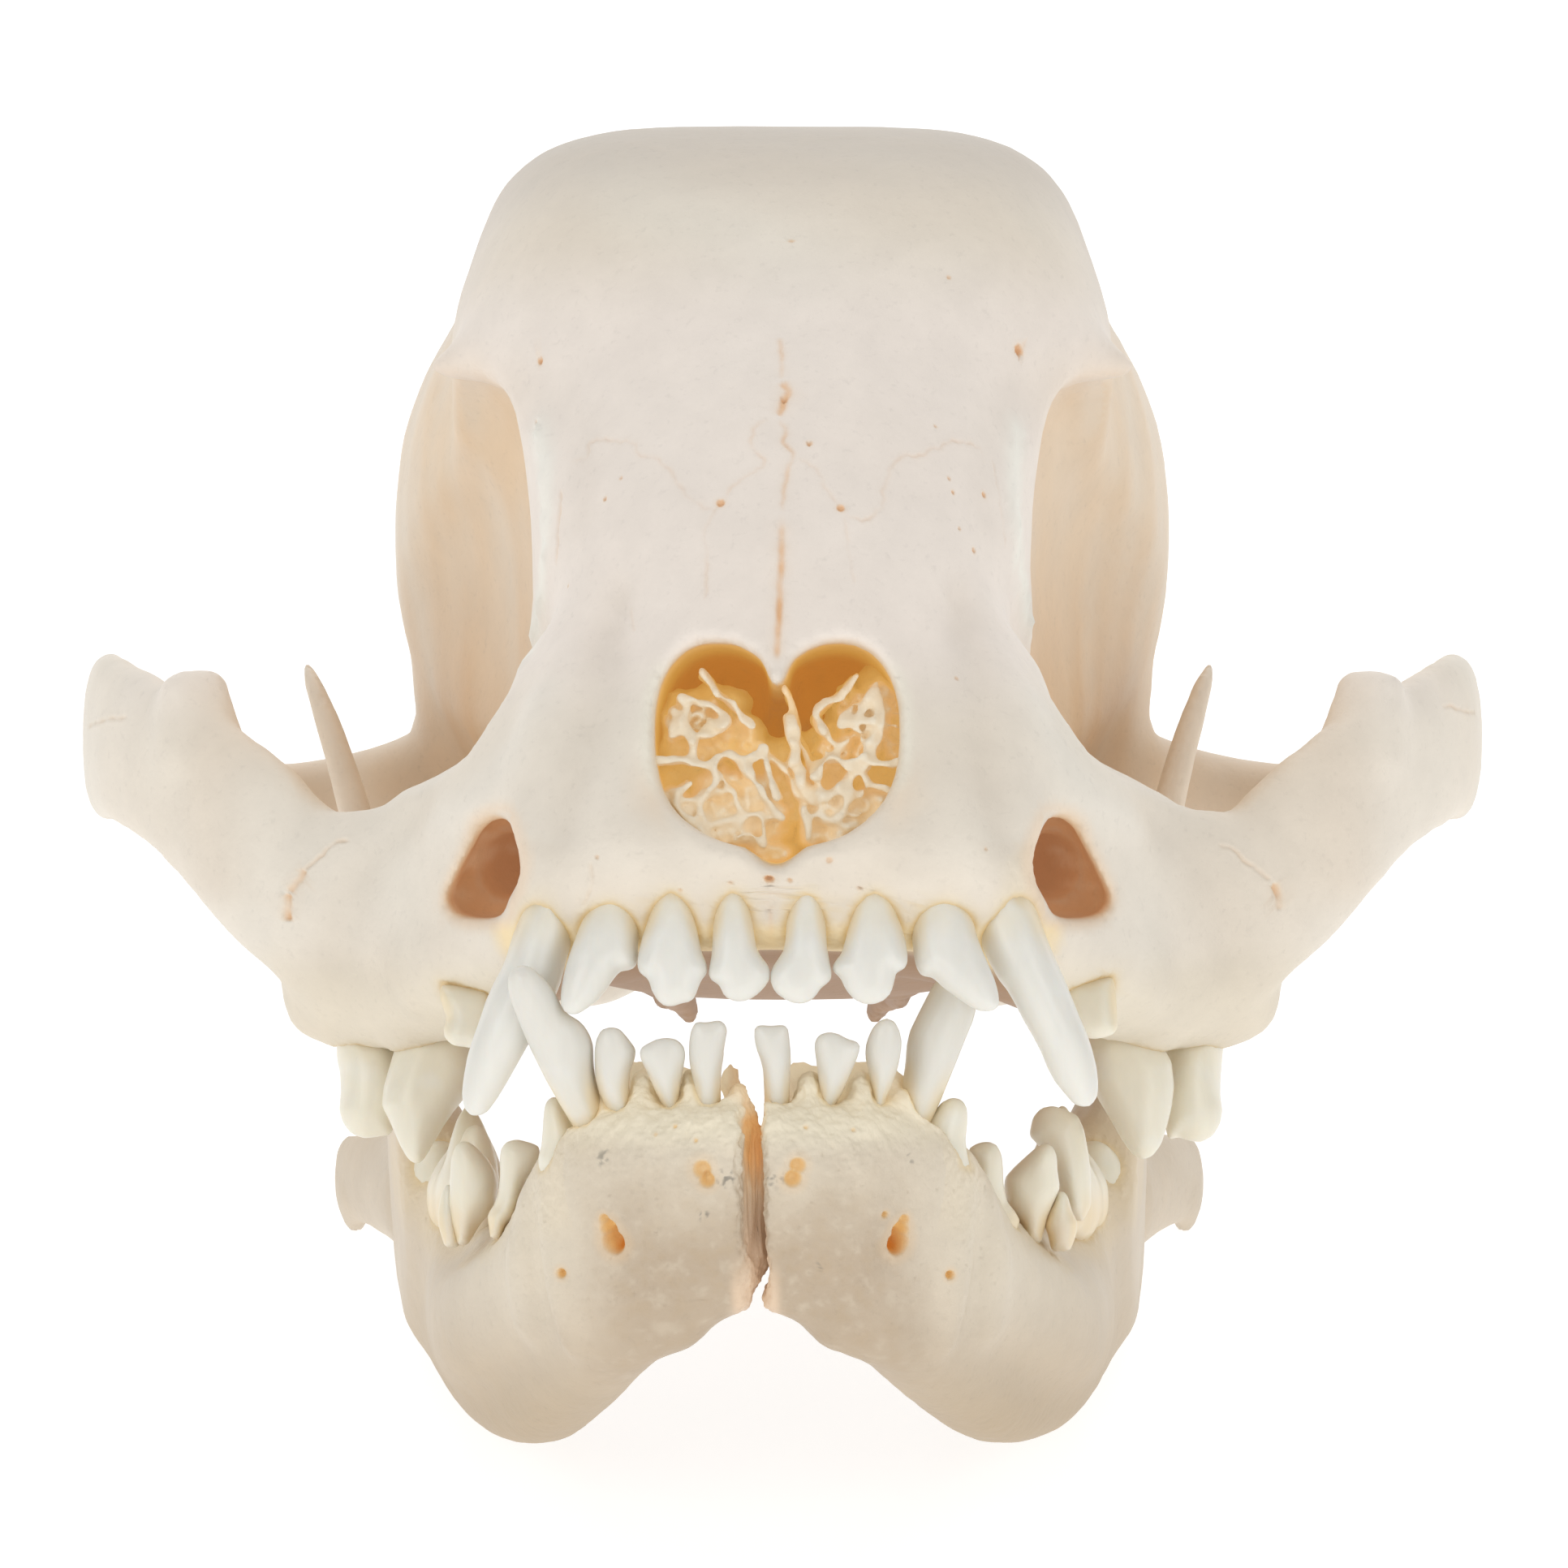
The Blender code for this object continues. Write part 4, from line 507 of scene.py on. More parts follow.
# outline; neck and tip with their depths; half thickness at both; rounding; bow
OUTLINES = {
    "upper_left": {
        "I1": ([(886.6, 1081.2), (919.4, 1081.2), (923.5, 1110.3), (927.4, 1136.9), (931.7, 1166), (937.5, 1178.1), (946, 1187.8), (949.7, 1197.5), (948.4, 1207.2), (944.8, 1213.5), (938.7, 1220.6), (930.3, 1228.6), (920.6, 1233.7), (908.5, 1235.3), (896.3, 1231.5), (889.5, 1223.5), (886.6, 1214), (880.6, 1210.6), (874.5, 1207.2), (872.8, 1198.7), (874, 1190.3), (876.9, 1175.7), (877.7, 1156.3), (878.9, 1136.9), (881.8, 1112.7)], (902.4, 1110.3, 7), (910.4, 1235.3, 4), (2.1, 0.75), 1.35, 0.3),
        "I2": ([(811.5, 1078.8), (843, 1078.8), (850.3, 1110.3), (856.3, 1132.1), (861.2, 1156.3), (864.8, 1173.3), (870.2, 1185.4), (872.6, 1195.1), (869.7, 1201.9), (864.8, 1207.2), (861.2, 1215.7), (858, 1225.4), (852.7, 1234.4), (840.6, 1236.8), (829.7, 1240.7), (818.8, 1240.7), (810.3, 1233.9), (803, 1221.8), (799.9, 1210.9), (797.5, 1204.8), (790.9, 1201.9), (785.8, 1195.1), (784.8, 1185.4), (787.3, 1170.9), (792.1, 1151.5), (798.2, 1134.5), (803, 1117.6), (806.7, 1103)], (828.5, 1110.3, 7.3), (832.1, 1240.2, 4.3), (2.2, 0.8), 1.5, 0.3),
        "I3": ([(739.9, 1084.3), (774.6, 1086.5), (784.4, 1121.2), (787.2, 1134.2), (787.6, 1151.5), (786.3, 1166.7), (786.5, 1177.6), (784.4, 1190.1), (777.9, 1195.3), (763.8, 1197.1), (755.1, 1207.9), (746.4, 1220.9), (735.6, 1233.9), (723.7, 1243), (711.7, 1250.6), (700.9, 1250.6), (692.7, 1245.2), (690.1, 1231.7), (691.2, 1218.7), (693.3, 1205.7), (697.7, 1188.4), (703.1, 1171), (709.6, 1153.7), (714.3, 1140.7), (720.4, 1127.7), (728, 1112.5)], (757.3, 1112.5, 8.6), (703.1, 1250.2, 5), (2.4, 0.9), 1.7, 0.3),
        "C": ([(672.7, 1047.5), (724.8, 1054), (718.2, 1093), (711.7, 1123.4), (710, 1142.9), (707.4, 1155.9), (703.1, 1166.7), (698.7, 1179.7), (694.8, 1194.9), (691.4, 1210.1), (684.6, 1227.4), (674.9, 1246.9), (664.1, 1266.4), (653.2, 1283.8), (644.5, 1298.9), (634.8, 1316.3), (623.9, 1335.8), (612, 1355.3), (601.2, 1370), (592.5, 1374.8), (579.9, 1375.3), (571.3, 1365.1), (568.7, 1348.8), (570.8, 1329.3), (575.2, 1303.3), (581.7, 1281.6), (590.3, 1257.8), (599, 1231.7), (608.8, 1210.1), (616.8, 1196), (623.3, 1180.8), (627.6, 1165.6), (632.6, 1149.4), (640.2, 1132), (648.9, 1114.7), (657.6, 1093)], (677.1, 1123.4, 11.2), (583.8, 1374.8, 9.9), (3.1, 1.2), 2, 1),
        "P1": ([(542.9, 1213.2), (604.1, 1213.2), (611.8, 1243.8), (604.1, 1277), (588.8, 1293.5), (576.1, 1290.7), (558.2, 1288.7), (548, 1280), (546, 1269.3), (550, 1254), (545.4, 1241.2), (541.6, 1228.5)], (573.5, 1231, 20.2), (573.5, 1289.7, 18.6), (1.9, 1.3), 1.3, 0),
        "P4": ([(502.1, 1243.8), (568.4, 1243.8), (586.3, 1282.1), (586.3, 1317.8), (576.1, 1348.4), (560.8, 1367.5), (547.5, 1386.2), (536.8, 1404.5), (528.1, 1419.9), (519.9, 1432.6), (511, 1434.7), (502.1, 1428), (493.1, 1412.2), (484.7, 1392.3), (476.6, 1374.4), (470.2, 1362.4), (472.7, 1338.2), (481.7, 1307.6), (489.3, 1282.1)], (532.7, 1287.2, 36), (512.3, 1434.4, 32.4), (3.4, 1.2), 2.3, 0),
        "P4_heel": ([(415.3, 1264.2), (486.8, 1264.2), (502.1, 1322.9), (497, 1363.7), (486.8, 1384.1), (481.7, 1398.4), (461.2, 1401.5), (448.5, 1402.8), (433.2, 1397.4), (423, 1384.6), (417.9, 1368.8), (419.9, 1343.3), (418.9, 1322.9), (414.8, 1302.5)], (451, 1307.6, 41), (453.6, 1402.5, 39), (3.4, 1.8), 2.2, 0),
    },
    "upper_right": {
        "I1": ([(981.2, 1081.2), (1010.2, 1081.2), (1014.6, 1112.7), (1017.5, 1136.9), (1019, 1166), (1022.4, 1185.4), (1025, 1197.5), (1024.3, 1207.2), (1018.7, 1212.8), (1012.2, 1216.9), (1006.6, 1225.9), (999.3, 1233.9), (988.4, 1237.8), (976.3, 1236.6), (964.2, 1230.5), (955, 1223), (950.1, 1213.3), (948.4, 1202.4), (950.9, 1192.7), (957.4, 1183), (965.4, 1170.9), (968.1, 1153.9), (968.6, 1136.9), (972.7, 1117.6)], (993.3, 1112.7, 7), (983.6, 1237.5, 4), (2.1, 0.75), 1.35, 0.3),
        "I2": ([(1058.7, 1078.8), (1092.7, 1078.8), (1101.1, 1107.9), (1106, 1129.7), (1112, 1144.2), (1116.4, 1161.2), (1118.6, 1178.1), (1118.1, 1188.3), (1113.3, 1195.4), (1104.3, 1197.5), (1102.3, 1209.7), (1098, 1224.2), (1087.8, 1234.4), (1075.7, 1238.5), (1063.6, 1237.8), (1051.4, 1231.7), (1041.8, 1219.8), (1036.4, 1207.7), (1033.3, 1202.9), (1026.7, 1198), (1024.8, 1191.5), (1029.6, 1183), (1036.9, 1174.5), (1041.8, 1156.3), (1046.6, 1136.9), (1051.4, 1112.7)], (1075.7, 1112.7, 7.3), (1070.8, 1238.3, 4.3), (2.2, 0.8), 1.5, 0.3),
        "I3": ([(1139.9, 1080), (1176.7, 1080), (1185.4, 1110.3), (1194.5, 1125.5), (1201, 1140.7), (1203.6, 1152.6), (1209.7, 1168.9), (1217.9, 1188.4), (1225.5, 1205.7), (1230, 1220.9), (1232, 1236.1), (1229.2, 1243.7), (1218.3, 1247.1), (1204.9, 1246.1), (1191.9, 1238.7), (1176.7, 1227.8), (1163.7, 1218.7), (1152.9, 1208.3), (1148.1, 1204.2), (1135.5, 1203.1), (1129, 1192.7), (1125.8, 1177.6), (1124.3, 1164.5), (1122.5, 1147.2), (1123.6, 1125.5), (1129, 1103.8)], (1157.2, 1112.5, 8.6), (1227.7, 1245.8, 5), (2.4, 0.9), 1.7, 0.3),
        "C": ([(1211.4, 1043.1), (1261.3, 1047.5), (1263.4, 1093), (1270.4, 1108.2), (1280.8, 1129.9), (1289.9, 1155.9), (1302.4, 1186.2), (1313.3, 1210.1), (1322, 1231.7), (1330.6, 1253.4), (1339.3, 1272.9), (1345.8, 1292.4), (1351.2, 1314.1), (1353.6, 1335.8), (1352.7, 1351), (1344.1, 1363.1), (1332.8, 1364.4), (1322, 1360.1), (1311.1, 1347.1), (1299.2, 1332.5), (1290.5, 1316.3), (1282.9, 1296.8), (1272.1, 1276.2), (1261.3, 1257.8), (1250.4, 1236.5), (1240.7, 1219.8), (1230.9, 1207.9), (1220.1, 1188.4), (1211.4, 1171), (1202.7, 1151.5), (1200.1, 1136.4), (1201.6, 1116.9), (1204.9, 1088.7)], (1239.6, 1119, 11.2), (1338.2, 1364.4, 9.9), (3.1, 1.2), 2, 1),
        "P1": ([(1308.9, 1201.4), (1371.8, 1203.6), (1375.7, 1227.4), (1376.6, 1249.1), (1377.7, 1266.4), (1371.8, 1275.1), (1356.6, 1279.7), (1343.6, 1280.7), (1330.6, 1275.1), (1315.4, 1257.8), (1306.8, 1231.7)], (1350.1, 1223.1, 20.2), (1354.5, 1279.9, 18.6), (1.9, 1.3), 1.3, 0),
        "P4": ([(1349.1, 1236.1), (1415.4, 1238.7), (1428.2, 1282), (1443.5, 1307.5), (1446.8, 1338.1), (1444, 1363.6), (1438.9, 1384), (1431.3, 1409.5), (1420.5, 1424.8), (1408.3, 1429.2), (1395, 1422.8), (1382.3, 1404.9), (1369.5, 1382), (1354.2, 1356.5), (1341.5, 1333), (1336.4, 1294.8), (1338.9, 1261.6)], (1389.9, 1282, 36), (1409.1, 1428.9, 32.4), (3.4, 1.2), 2.3, 0),
        "P4_heel": ([(1440.9, 1264.2), (1509.8, 1264.2), (1506.2, 1302.4), (1504.2, 1327.9), (1503.7, 1348.3), (1506.2, 1368.7), (1503.7, 1384), (1495, 1399.3), (1479.7, 1408), (1466.4, 1406), (1451.1, 1400.9), (1439.7, 1405.7), (1435.8, 1389.1), (1433.3, 1358.5), (1435.8, 1307.5)], (1474.1, 1307.5, 41), (1476.6, 1407.7, 39), (3.4, 1.8), 2.2, 0),
    },
    "lower_left": {
        "i1": ([(848.5, 1288.8), (850.1, 1272.4), (854.3, 1260.3), (859.8, 1256.9), (866.8, 1259), (876.8, 1257.5), (886.7, 1255.6), (894, 1259.8), (897.2, 1269.2), (894.5, 1281), (892.4, 1292.8), (891.7, 1304.5), (889.3, 1316.3), (888.3, 1334.6), (888.3, 1352.9), (889.8, 1392.1), (855.8, 1392.1), (855.8, 1352.9), (855.3, 1337.2), (851.1, 1320.2), (849, 1305.8)], (872.1, 1345.1, 6.9), (872.8, 1256.9, 4.9), (1.7, 0.5), 1.1, 0.1),
        "i2": ([(787.3, 1298.5), (788.4, 1290.7), (798.3, 1284.9), (808.8, 1279.2), (821.8, 1277.1), (833.6, 1279.7), (841.7, 1286.5), (845.4, 1298), (842.8, 1313.7), (839.6, 1329.4), (837.5, 1347.7), (836.2, 1366), (837, 1397.4), (819.2, 1400), (821.8, 1372.5), (814, 1358.1), (805.1, 1339.8), (797.3, 1321.5), (790.5, 1308.5)], (828.4, 1352.9, 7.4), (821.8, 1277.6, 5.2), (1.9, 0.6), 1.3, 0.1),
        "i3": ([(739.9, 1268.6), (734.5, 1279.4), (732.3, 1292.4), (732.3, 1309.8), (733.4, 1329.3), (738.8, 1348.8), (746.4, 1364), (755.1, 1377), (760.5, 1394.3), (783.3, 1394.3), (780.7, 1368.3), (776.8, 1351), (775, 1335.8), (777.2, 1318.5), (782.2, 1305.4), (784.4, 1293.5), (778.9, 1285.5), (772.4, 1276.8), (765.9, 1268.6), (758.4, 1264.5), (749.7, 1264.3)], (761.6, 1351, 8.6), (752.9, 1264.7, 6.4), (1.9, 0.6), 1.3, 0.1),
        "c": ([(644.5, 1188), (632, 1192.3), (626.1, 1201.4), (625, 1212.2), (627.2, 1227.4), (632, 1241.5), (638.5, 1257.8), (646.7, 1277.3), (655.4, 1296.8), (664.1, 1314.1), (672.7, 1331.5), (681.4, 1346.6), (690.1, 1361.8), (700.9, 1379.6), (711.7, 1396.9), (724.8, 1418.2), (742.1, 1448.5), (768.1, 1435.5), (755.1, 1413.8), (747.7, 1394.3), (746, 1379.2), (743.4, 1364), (738.2, 1346.6), (733.9, 1329.3), (731.7, 1309.8), (731.3, 1288.1), (726.9, 1275.1), (720.4, 1264.3), (711.7, 1256), (700.9, 1250.2), (692.2, 1240.4), (687.9, 1229.6), (681.4, 1218.7), (672.7, 1207.5), (661.9, 1197.1), (653.2, 1190.6)], (733.4, 1390, 11), (642.4, 1188.4, 5.2), (2.5, 1.1), 1.9, 0.6),
        "p1": ([(668.4, 1394.3), (669.5, 1373.9), (671.5, 1359.1), (679.4, 1350.5), (687.1, 1350.5), (696, 1368.8), (706.2, 1386.7), (714.4, 1404.5), (710.8, 1422.4), (704.2, 1440.3), (702.4, 1465.8), (701.1, 1499), (680.7, 1499), (678.6, 1468.3), (672, 1451), (664.1, 1440.8), (662.8, 1427.5), (666.9, 1412.2)], (688.3, 1435.2, 12.7), (682, 1351, 12.2), (2, 1), 1.5, 0),
        "p2": ([(616.9, 1414.8), (624.5, 1405.8), (637.3, 1403.3), (652.6, 1407.1), (665.4, 1412.2), (665.9, 1425), (660.8, 1440.3), (651.3, 1451), (645.5, 1465.8), (642.4, 1481.1), (635.3, 1499), (625.1, 1509.2), (616.9, 1527), (604.1, 1527), (601.1, 1504.6), (600.3, 1496.4), (609.2, 1483.6), (614.3, 1468.3), (615.9, 1445.4), (615.6, 1427.5)], (624.5, 1486.2, 23), (638.6, 1404.5, 21.4), (2.2, 1), 1.5, 0),
        "p3": ([(555.7, 1425), (560.8, 1410.9), (568.4, 1405.6), (578.6, 1406.6), (590.1, 1416), (601.6, 1428.8), (610.5, 1442.8), (613.8, 1460.7), (611.8, 1478.5), (604.1, 1493.9), (591.4, 1509.2), (576.1, 1534.7), (563.3, 1534.7), (556.2, 1509.2), (553.1, 1486.2), (554.1, 1455.6)], (582.4, 1491.3, 29), (573.5, 1406.1, 27), (2.4, 1), 1.6, 0),
        "p3_heel": ([(546.7, 1463.2), (553.1, 1455.6), (561.3, 1468.3), (565.9, 1496.4), (567.1, 1537.2), (548, 1537.2), (540.3, 1511.7), (539.1, 1496.4), (541.9, 1476)], (553.1, 1516.8, 30), (553.6, 1456.9, 29), (1.6, 0.8), 1.1, 0),
        "p4": ([(565.9, 1409.7), (572.5, 1392.8), (578.6, 1387.2), (588.3, 1384.9), (597.8, 1391.3), (605.7, 1406.6), (612.3, 1428.8), (614.9, 1450.5), (614.3, 1486.2), (563.3, 1486.2), (563.3, 1435.2)], (588.8, 1460.7, 35), (588.3, 1385.7, 34), (2.4, 1.1), 1.6, 0),
    },
    "lower_right": {
        "i1": ([(928.5, 1263.5), (936.9, 1261.6), (950, 1262.9), (963.1, 1261.6), (970.6, 1261.9), (972.5, 1271.8), (973.8, 1287.5), (974.8, 1305.8), (974, 1326.8), (973, 1345.1), (974, 1392.1), (940, 1392.1), (941.6, 1352.9), (940.8, 1334.6), (940, 1318.9), (936.9, 1305.8), (931.7, 1292.8), (928.8, 1279.7)], (957.3, 1342.4, 6.9), (950, 1262.4, 4.9), (1.7, 0.5), 1.1, 0.1),
        "i2": ([(1004.9, 1278.6), (1011.4, 1272.9), (1023.2, 1270), (1033.7, 1273.1), (1044.6, 1279.7), (1056.7, 1282.8), (1060.6, 1287), (1058.5, 1298.5), (1052, 1314.2), (1044.1, 1332), (1037.6, 1347.7), (1028.4, 1363.4), (1023.2, 1397.4), (1004.9, 1397.4), (1011.2, 1360.8), (1009.6, 1342.4), (1007.5, 1324.1), (1005.4, 1305.8), (1002.8, 1290.1)], (1021.9, 1347.7, 7.4), (1023.2, 1270.5, 5.2), (1.9, 0.6), 1.3, 0.1),
        "i3": ([(1066.3, 1288.8), (1069.7, 1277.1), (1076, 1264), (1084.7, 1255.6), (1093.8, 1253.5), (1103, 1257.5), (1108.5, 1269.2), (1111.6, 1282.3), (1110, 1298), (1106.9, 1313.7), (1100.3, 1334.6), (1091.7, 1352.9), (1088.6, 1392.1), (1067.7, 1392.1), (1075.5, 1355.5), (1072.9, 1334.6), (1069, 1316.3), (1065.8, 1301.9)], (1084.7, 1342.4, 8.6), (1093.8, 1253.8, 6.4), (1.9, 0.6), 1.3, 0.1),
        "c": ([(1152.9, 1208.3), (1160.5, 1199.7), (1173.5, 1197.1), (1187.6, 1204.6), (1198.4, 1222), (1202.9, 1243.7), (1198.4, 1259.9), (1191.9, 1275.1), (1183.2, 1296.8), (1174.5, 1318.5), (1166.3, 1338), (1160.5, 1353.1), (1152.9, 1370.5), (1144.2, 1392.2), (1129, 1435.5), (1098.7, 1431.2), (1111.7, 1400.8), (1112.8, 1383.5), (1111.2, 1361.8), (1109.9, 1344.5), (1113.4, 1325), (1115.6, 1307.6), (1116.9, 1288.1), (1120.8, 1270.8), (1131.2, 1249.1), (1142, 1227.8)], (1133.4, 1379.2, 12.2), (1174.5, 1198.1, 10.8), (2.5, 1.3), 1.9, 0.4),
        "p1": ([(1159.1, 1358.5), (1173.2, 1351.4), (1185.9, 1354.7), (1192.3, 1366.2), (1191.8, 1386.6), (1189.7, 1404.4), (1192.3, 1424.8), (1196.1, 1440.1), (1188.5, 1450.8), (1177.2, 1456.7), (1174.7, 1498.8), (1145.1, 1498.8), (1150.2, 1445.2), (1144.1, 1417.2), (1134.9, 1396.8), (1145.1, 1378.9)], (1168.1, 1435, 12.7), (1174.4, 1351.9, 12.2), (2, 1), 1.5, 0),
        "p2": ([(1191.5, 1415.9), (1203.8, 1408.3), (1216.5, 1405.7), (1228, 1409.5), (1234.4, 1422.3), (1235.9, 1437.6), (1236.4, 1458), (1241, 1480.9), (1250.2, 1491.7), (1257.6, 1504.4), (1249.7, 1521.7), (1236.9, 1537.1), (1221.6, 1532), (1215.5, 1493.7), (1205.8, 1475.8), (1194.1, 1463.6), (1191, 1450.8), (1196.6, 1438.1), (1194.6, 1426.1)], (1221.6, 1480.9, 23), (1215.2, 1406.2, 21.4), (2.2, 1), 1.5, 0),
        "p3": ([(1237.9, 1450.8), (1249.7, 1437.6), (1265, 1423.6), (1276.4, 1413.4), (1287.9, 1408.3), (1298.1, 1412.1), (1302.5, 1424.8), (1303.2, 1442.7), (1306.3, 1463.1), (1298.6, 1480.9), (1291, 1498.8), (1282.8, 1532), (1262.4, 1534.5), (1255.3, 1506.4), (1247.1, 1493.7), (1239, 1480.9), (1236.9, 1464.4)], (1275.2, 1486, 29), (1290.5, 1408.8, 27), (2.4, 1), 1.6, 0),
        "p3_heel": ([(1307, 1463.1), (1316, 1473.3), (1321.6, 1493.7), (1328.2, 1506.4), (1326.2, 1521.7), (1318.5, 1542.2), (1295.6, 1542.2), (1290.5, 1519.2), (1285.9, 1509), (1291, 1493.7), (1299.7, 1478.4)], (1307, 1514.1, 30), (1307.3, 1463.6, 29), (1.6, 0.8), 1.2, 0),
        "p4": ([(1267.5, 1399.3), (1272.1, 1376.9), (1281.8, 1365.4), (1297.6, 1361.6), (1313.4, 1367.5), (1328.2, 1374.3), (1335.9, 1391.7), (1341.5, 1422.3), (1344.5, 1450.3), (1344.5, 1486), (1333.8, 1506.4), (1313.4, 1498.8), (1303.2, 1473.3), (1293, 1435), (1277.7, 1409.5)], (1310.9, 1460.5, 35), (1298.1, 1362.4, 34), (2.6, 1.1), 1.9, 0),
    },
}
FRONT = {g: {n: tooth(*row) for n, row in rows.items()} for g, rows in OUTLINES.items()}

# ---------------------------------------------------------------- noise
_rng = np.random.default_rng(7)
_PERM = np.concatenate([_rng.permutation(256)]*3)
_GRAD = _rng.normal(size=(256, 3)); _GRAD /= np.linalg.norm(_GRAD, axis=1)[:, None]

def noise(P, scale=1.0, seed=0.0):
    """Gradient noise, about -0.7 to 0.7, with features about 1/scale across."""
    Q = np.asarray(P, float)*scale + np.array([17.3, 5.1, 9.7]) + seed*11.7
    I = np.floor(Q).astype(np.int64); F = Q - I; I &= 255
    U = F*F*F*(F*(F*6 - 15) + 10)
    out = 0.0
    for dx in (0, 1):
        for dy in (0, 1):
            for dz in (0, 1):
                h = _PERM[_PERM[_PERM[(I[:, 0] + dx) & 255] + ((I[:, 1] + dy) & 255)] + ((I[:, 2] + dz) & 255)]
                g = _GRAD[h]
                d = g[:, 0]*(F[:, 0] - dx) + g[:, 1]*(F[:, 1] - dy) + g[:, 2]*(F[:, 2] - dz)
                w = (U[:, 0] if dx else 1 - U[:, 0]) * (U[:, 1] if dy else 1 - U[:, 1]) * (U[:, 2] if dz else 1 - U[:, 2])
                out = out + d*w
    return out

def noise_grid(xs, ys, zs, scale, seed, stretch=(1, 1, 1)):
    """Noise on a grid, worked out at every third point and drawn out between."""
    ax = [a[::3] if (len(a) - 1) % 3 == 0 else np.append(a[::3], a[-1]) for a in (xs, ys, zs)]
    X, Y, Z = np.meshgrid(*ax, indexing="ij")
    N = noise(np.stack([X.ravel()*stretch[0], Y.ravel()*stretch[1], Z.ravel()*stretch[2]], 1), scale, seed).reshape(X.shape)
    for k, (c, f) in enumerate(zip(ax, (xs, ys, zs))):
        i = np.clip(np.searchsorted(c, f, "right") - 1, 0, len(c) - 2); t = ((f - c[i])/(c[i+1] - c[i])).reshape([-1 if j == k else 1 for j in range(3)])
        N = np.take(N, i, k)*(1 - t) + np.take(N, i + 1, k)*t
    return N

def rough(P, scale=1.0, octaves=3, seed=0.0):
    return sum(noise(P, scale*2.03**i, seed + i*3.1) * 0.55**i for i in range(octaves))

# ---------------------------------------------------------------- meshes as arrays
class Skin:
    """Points V and triangles T in the skull's own frame."""
    def __init__(s, V, T): s.V, s.T = np.asarray(V, float), np.asarray(T, np.int64)
    def edges(s):
        E = np.concatenate([s.T[:, [0, 1]], s.T[:, [1, 2]], s.T[:, [2, 0]]])
        E.sort(axis=1)
        key, inv = np.unique(E[:, 0]*len(s.V) + E[:, 1], return_inverse=True)
        return np.stack([key // len(s.V), key % len(s.V)], 1), inv
    def normals(s):
        a, b, c = (s.V[s.T[:, i]] for i in range(3))
        n = np.cross(b - a, c - a)
        N = np.stack([sum(np.bincount(s.T[:, i], n[:, k], len(s.V)) for i in range(3)) for k in range(3)], 1)
        return N / (np.linalg.norm(N, axis=1)[:, None] + 1e-12)
    def volume(s):
        a, b, c = (s.V[s.T[:, i]] for i in range(3))
        return float(np.einsum("ij,ij->i", a, np.cross(b, c)).sum() / 6)
    def largest(s):
        E, _ = s.edges(); L = np.arange(len(s.V))
        while True:
            m = np.minimum(L[E[:, 0]], L[E[:, 1]]); K = L.copy()
            np.minimum.at(K, E[:, 0], m); np.minimum.at(K, E[:, 1], m)
            K = K[K]
            if (K == L).all(): break
            L = K
        n = np.bincount(L, minlength=len(s.V)); keep = L == n.argmax()
        new = np.cumsum(keep) - 1
        s.T = new[s.T[keep[s.T[:, 0]]]]; s.V = s.V[keep]
        if s.volume() < 0: s.T = s.T[:, ::-1].copy()
        return s
    def ease(s, times=2, amount=0.5, where=None):
        """Each point moves towards the middle of its neighbours, then part of the way back, which keeps the size."""
        E, _ = s.edges(); n = len(s.V)
        deg = np.bincount(E.ravel(), minlength=n)[:, None]
        for t in range(times):
            for f in (amount, -amount*0.95):
                S = np.stack([np.bincount(E[:, 0], s.V[E[:, 1], k], n) + np.bincount(E[:, 1], s.V[E[:, 0], k], n) for k in range(3)], 1)
                d = (S/deg - s.V) * f
                s.V = s.V + (d if where is None else d*where[:, None])
        return s
    def refine(s, wanted):
        """Splits the edges that wanted(middles, lengths) picks. New points follow the curve of the surface."""
        E, inv = s.edges(); N = s.normals()
        A, B = s.V[E[:, 0]], s.V[E[:, 1]]
        M = (A + B)/2; L = np.linalg.norm(A - B, axis=1)
        sel = wanted(M, L)
        if not sel.any(): return False
        NA, NB = N[E[sel, 0]], N[E[sel, 1]]; d = B[sel] - A[sel]
        Nm = NA + NB; Nm /= np.linalg.norm(Nm, axis=1)[:, None] + 1e-9
        bulge = ((NB - NA)*d).sum(1)/8
        M = M[sel] + Nm*bulge[:, None]*0.9
        new = np.full(len(E), -1); new[sel] = len(s.V) + np.arange(sel.sum())
        s.V = np.vstack([s.V, M])
        n = len(s.T); m = np.stack([new[inv[:n]], new[inv[n:2*n]], new[inv[2*n:]]], 1)   # on edges 01, 12, 20
        has = m >= 0; count = has.sum(1); out = [s.T[count == 0]]
        def turned(c):
            T, m_, h = s.T[count == c], m[count == c], has[count == c]
            r = h.argmax(1) if c == 1 else (~h).argmax(1)
            i = (r[:, None] + np.arange(3)) % 3
            return np.take_along_axis(T, i, 1), np.take_along_axis(m_, i, 1)
        T, q = turned(1)                    # the split edge is 01
        if len(T): out += [np.stack([T[:, 0], q[:, 0], T[:, 2]], 1), np.stack([q[:, 0], T[:, 1], T[:, 2]], 1)]
        T, q = turned(2)                    # the whole edge is 01
        if len(T): out += [np.stack([q[:, 1], T[:, 2], q[:, 2]], 1), np.stack([T[:, 0], T[:, 1], q[:, 1]], 1), np.stack([T[:, 0], q[:, 1], q[:, 2]], 1)]
        T, q = s.T[count == 3], m[count == 3]
        if len(T): out += [np.stack([T[:, 0], q[:, 0], q[:, 2]], 1), np.stack([q[:, 0], T[:, 1], q[:, 1]], 1), np.stack([q[:, 2], q[:, 1], T[:, 2]], 1), q]
        s.T = np.vstack(out)
        return True

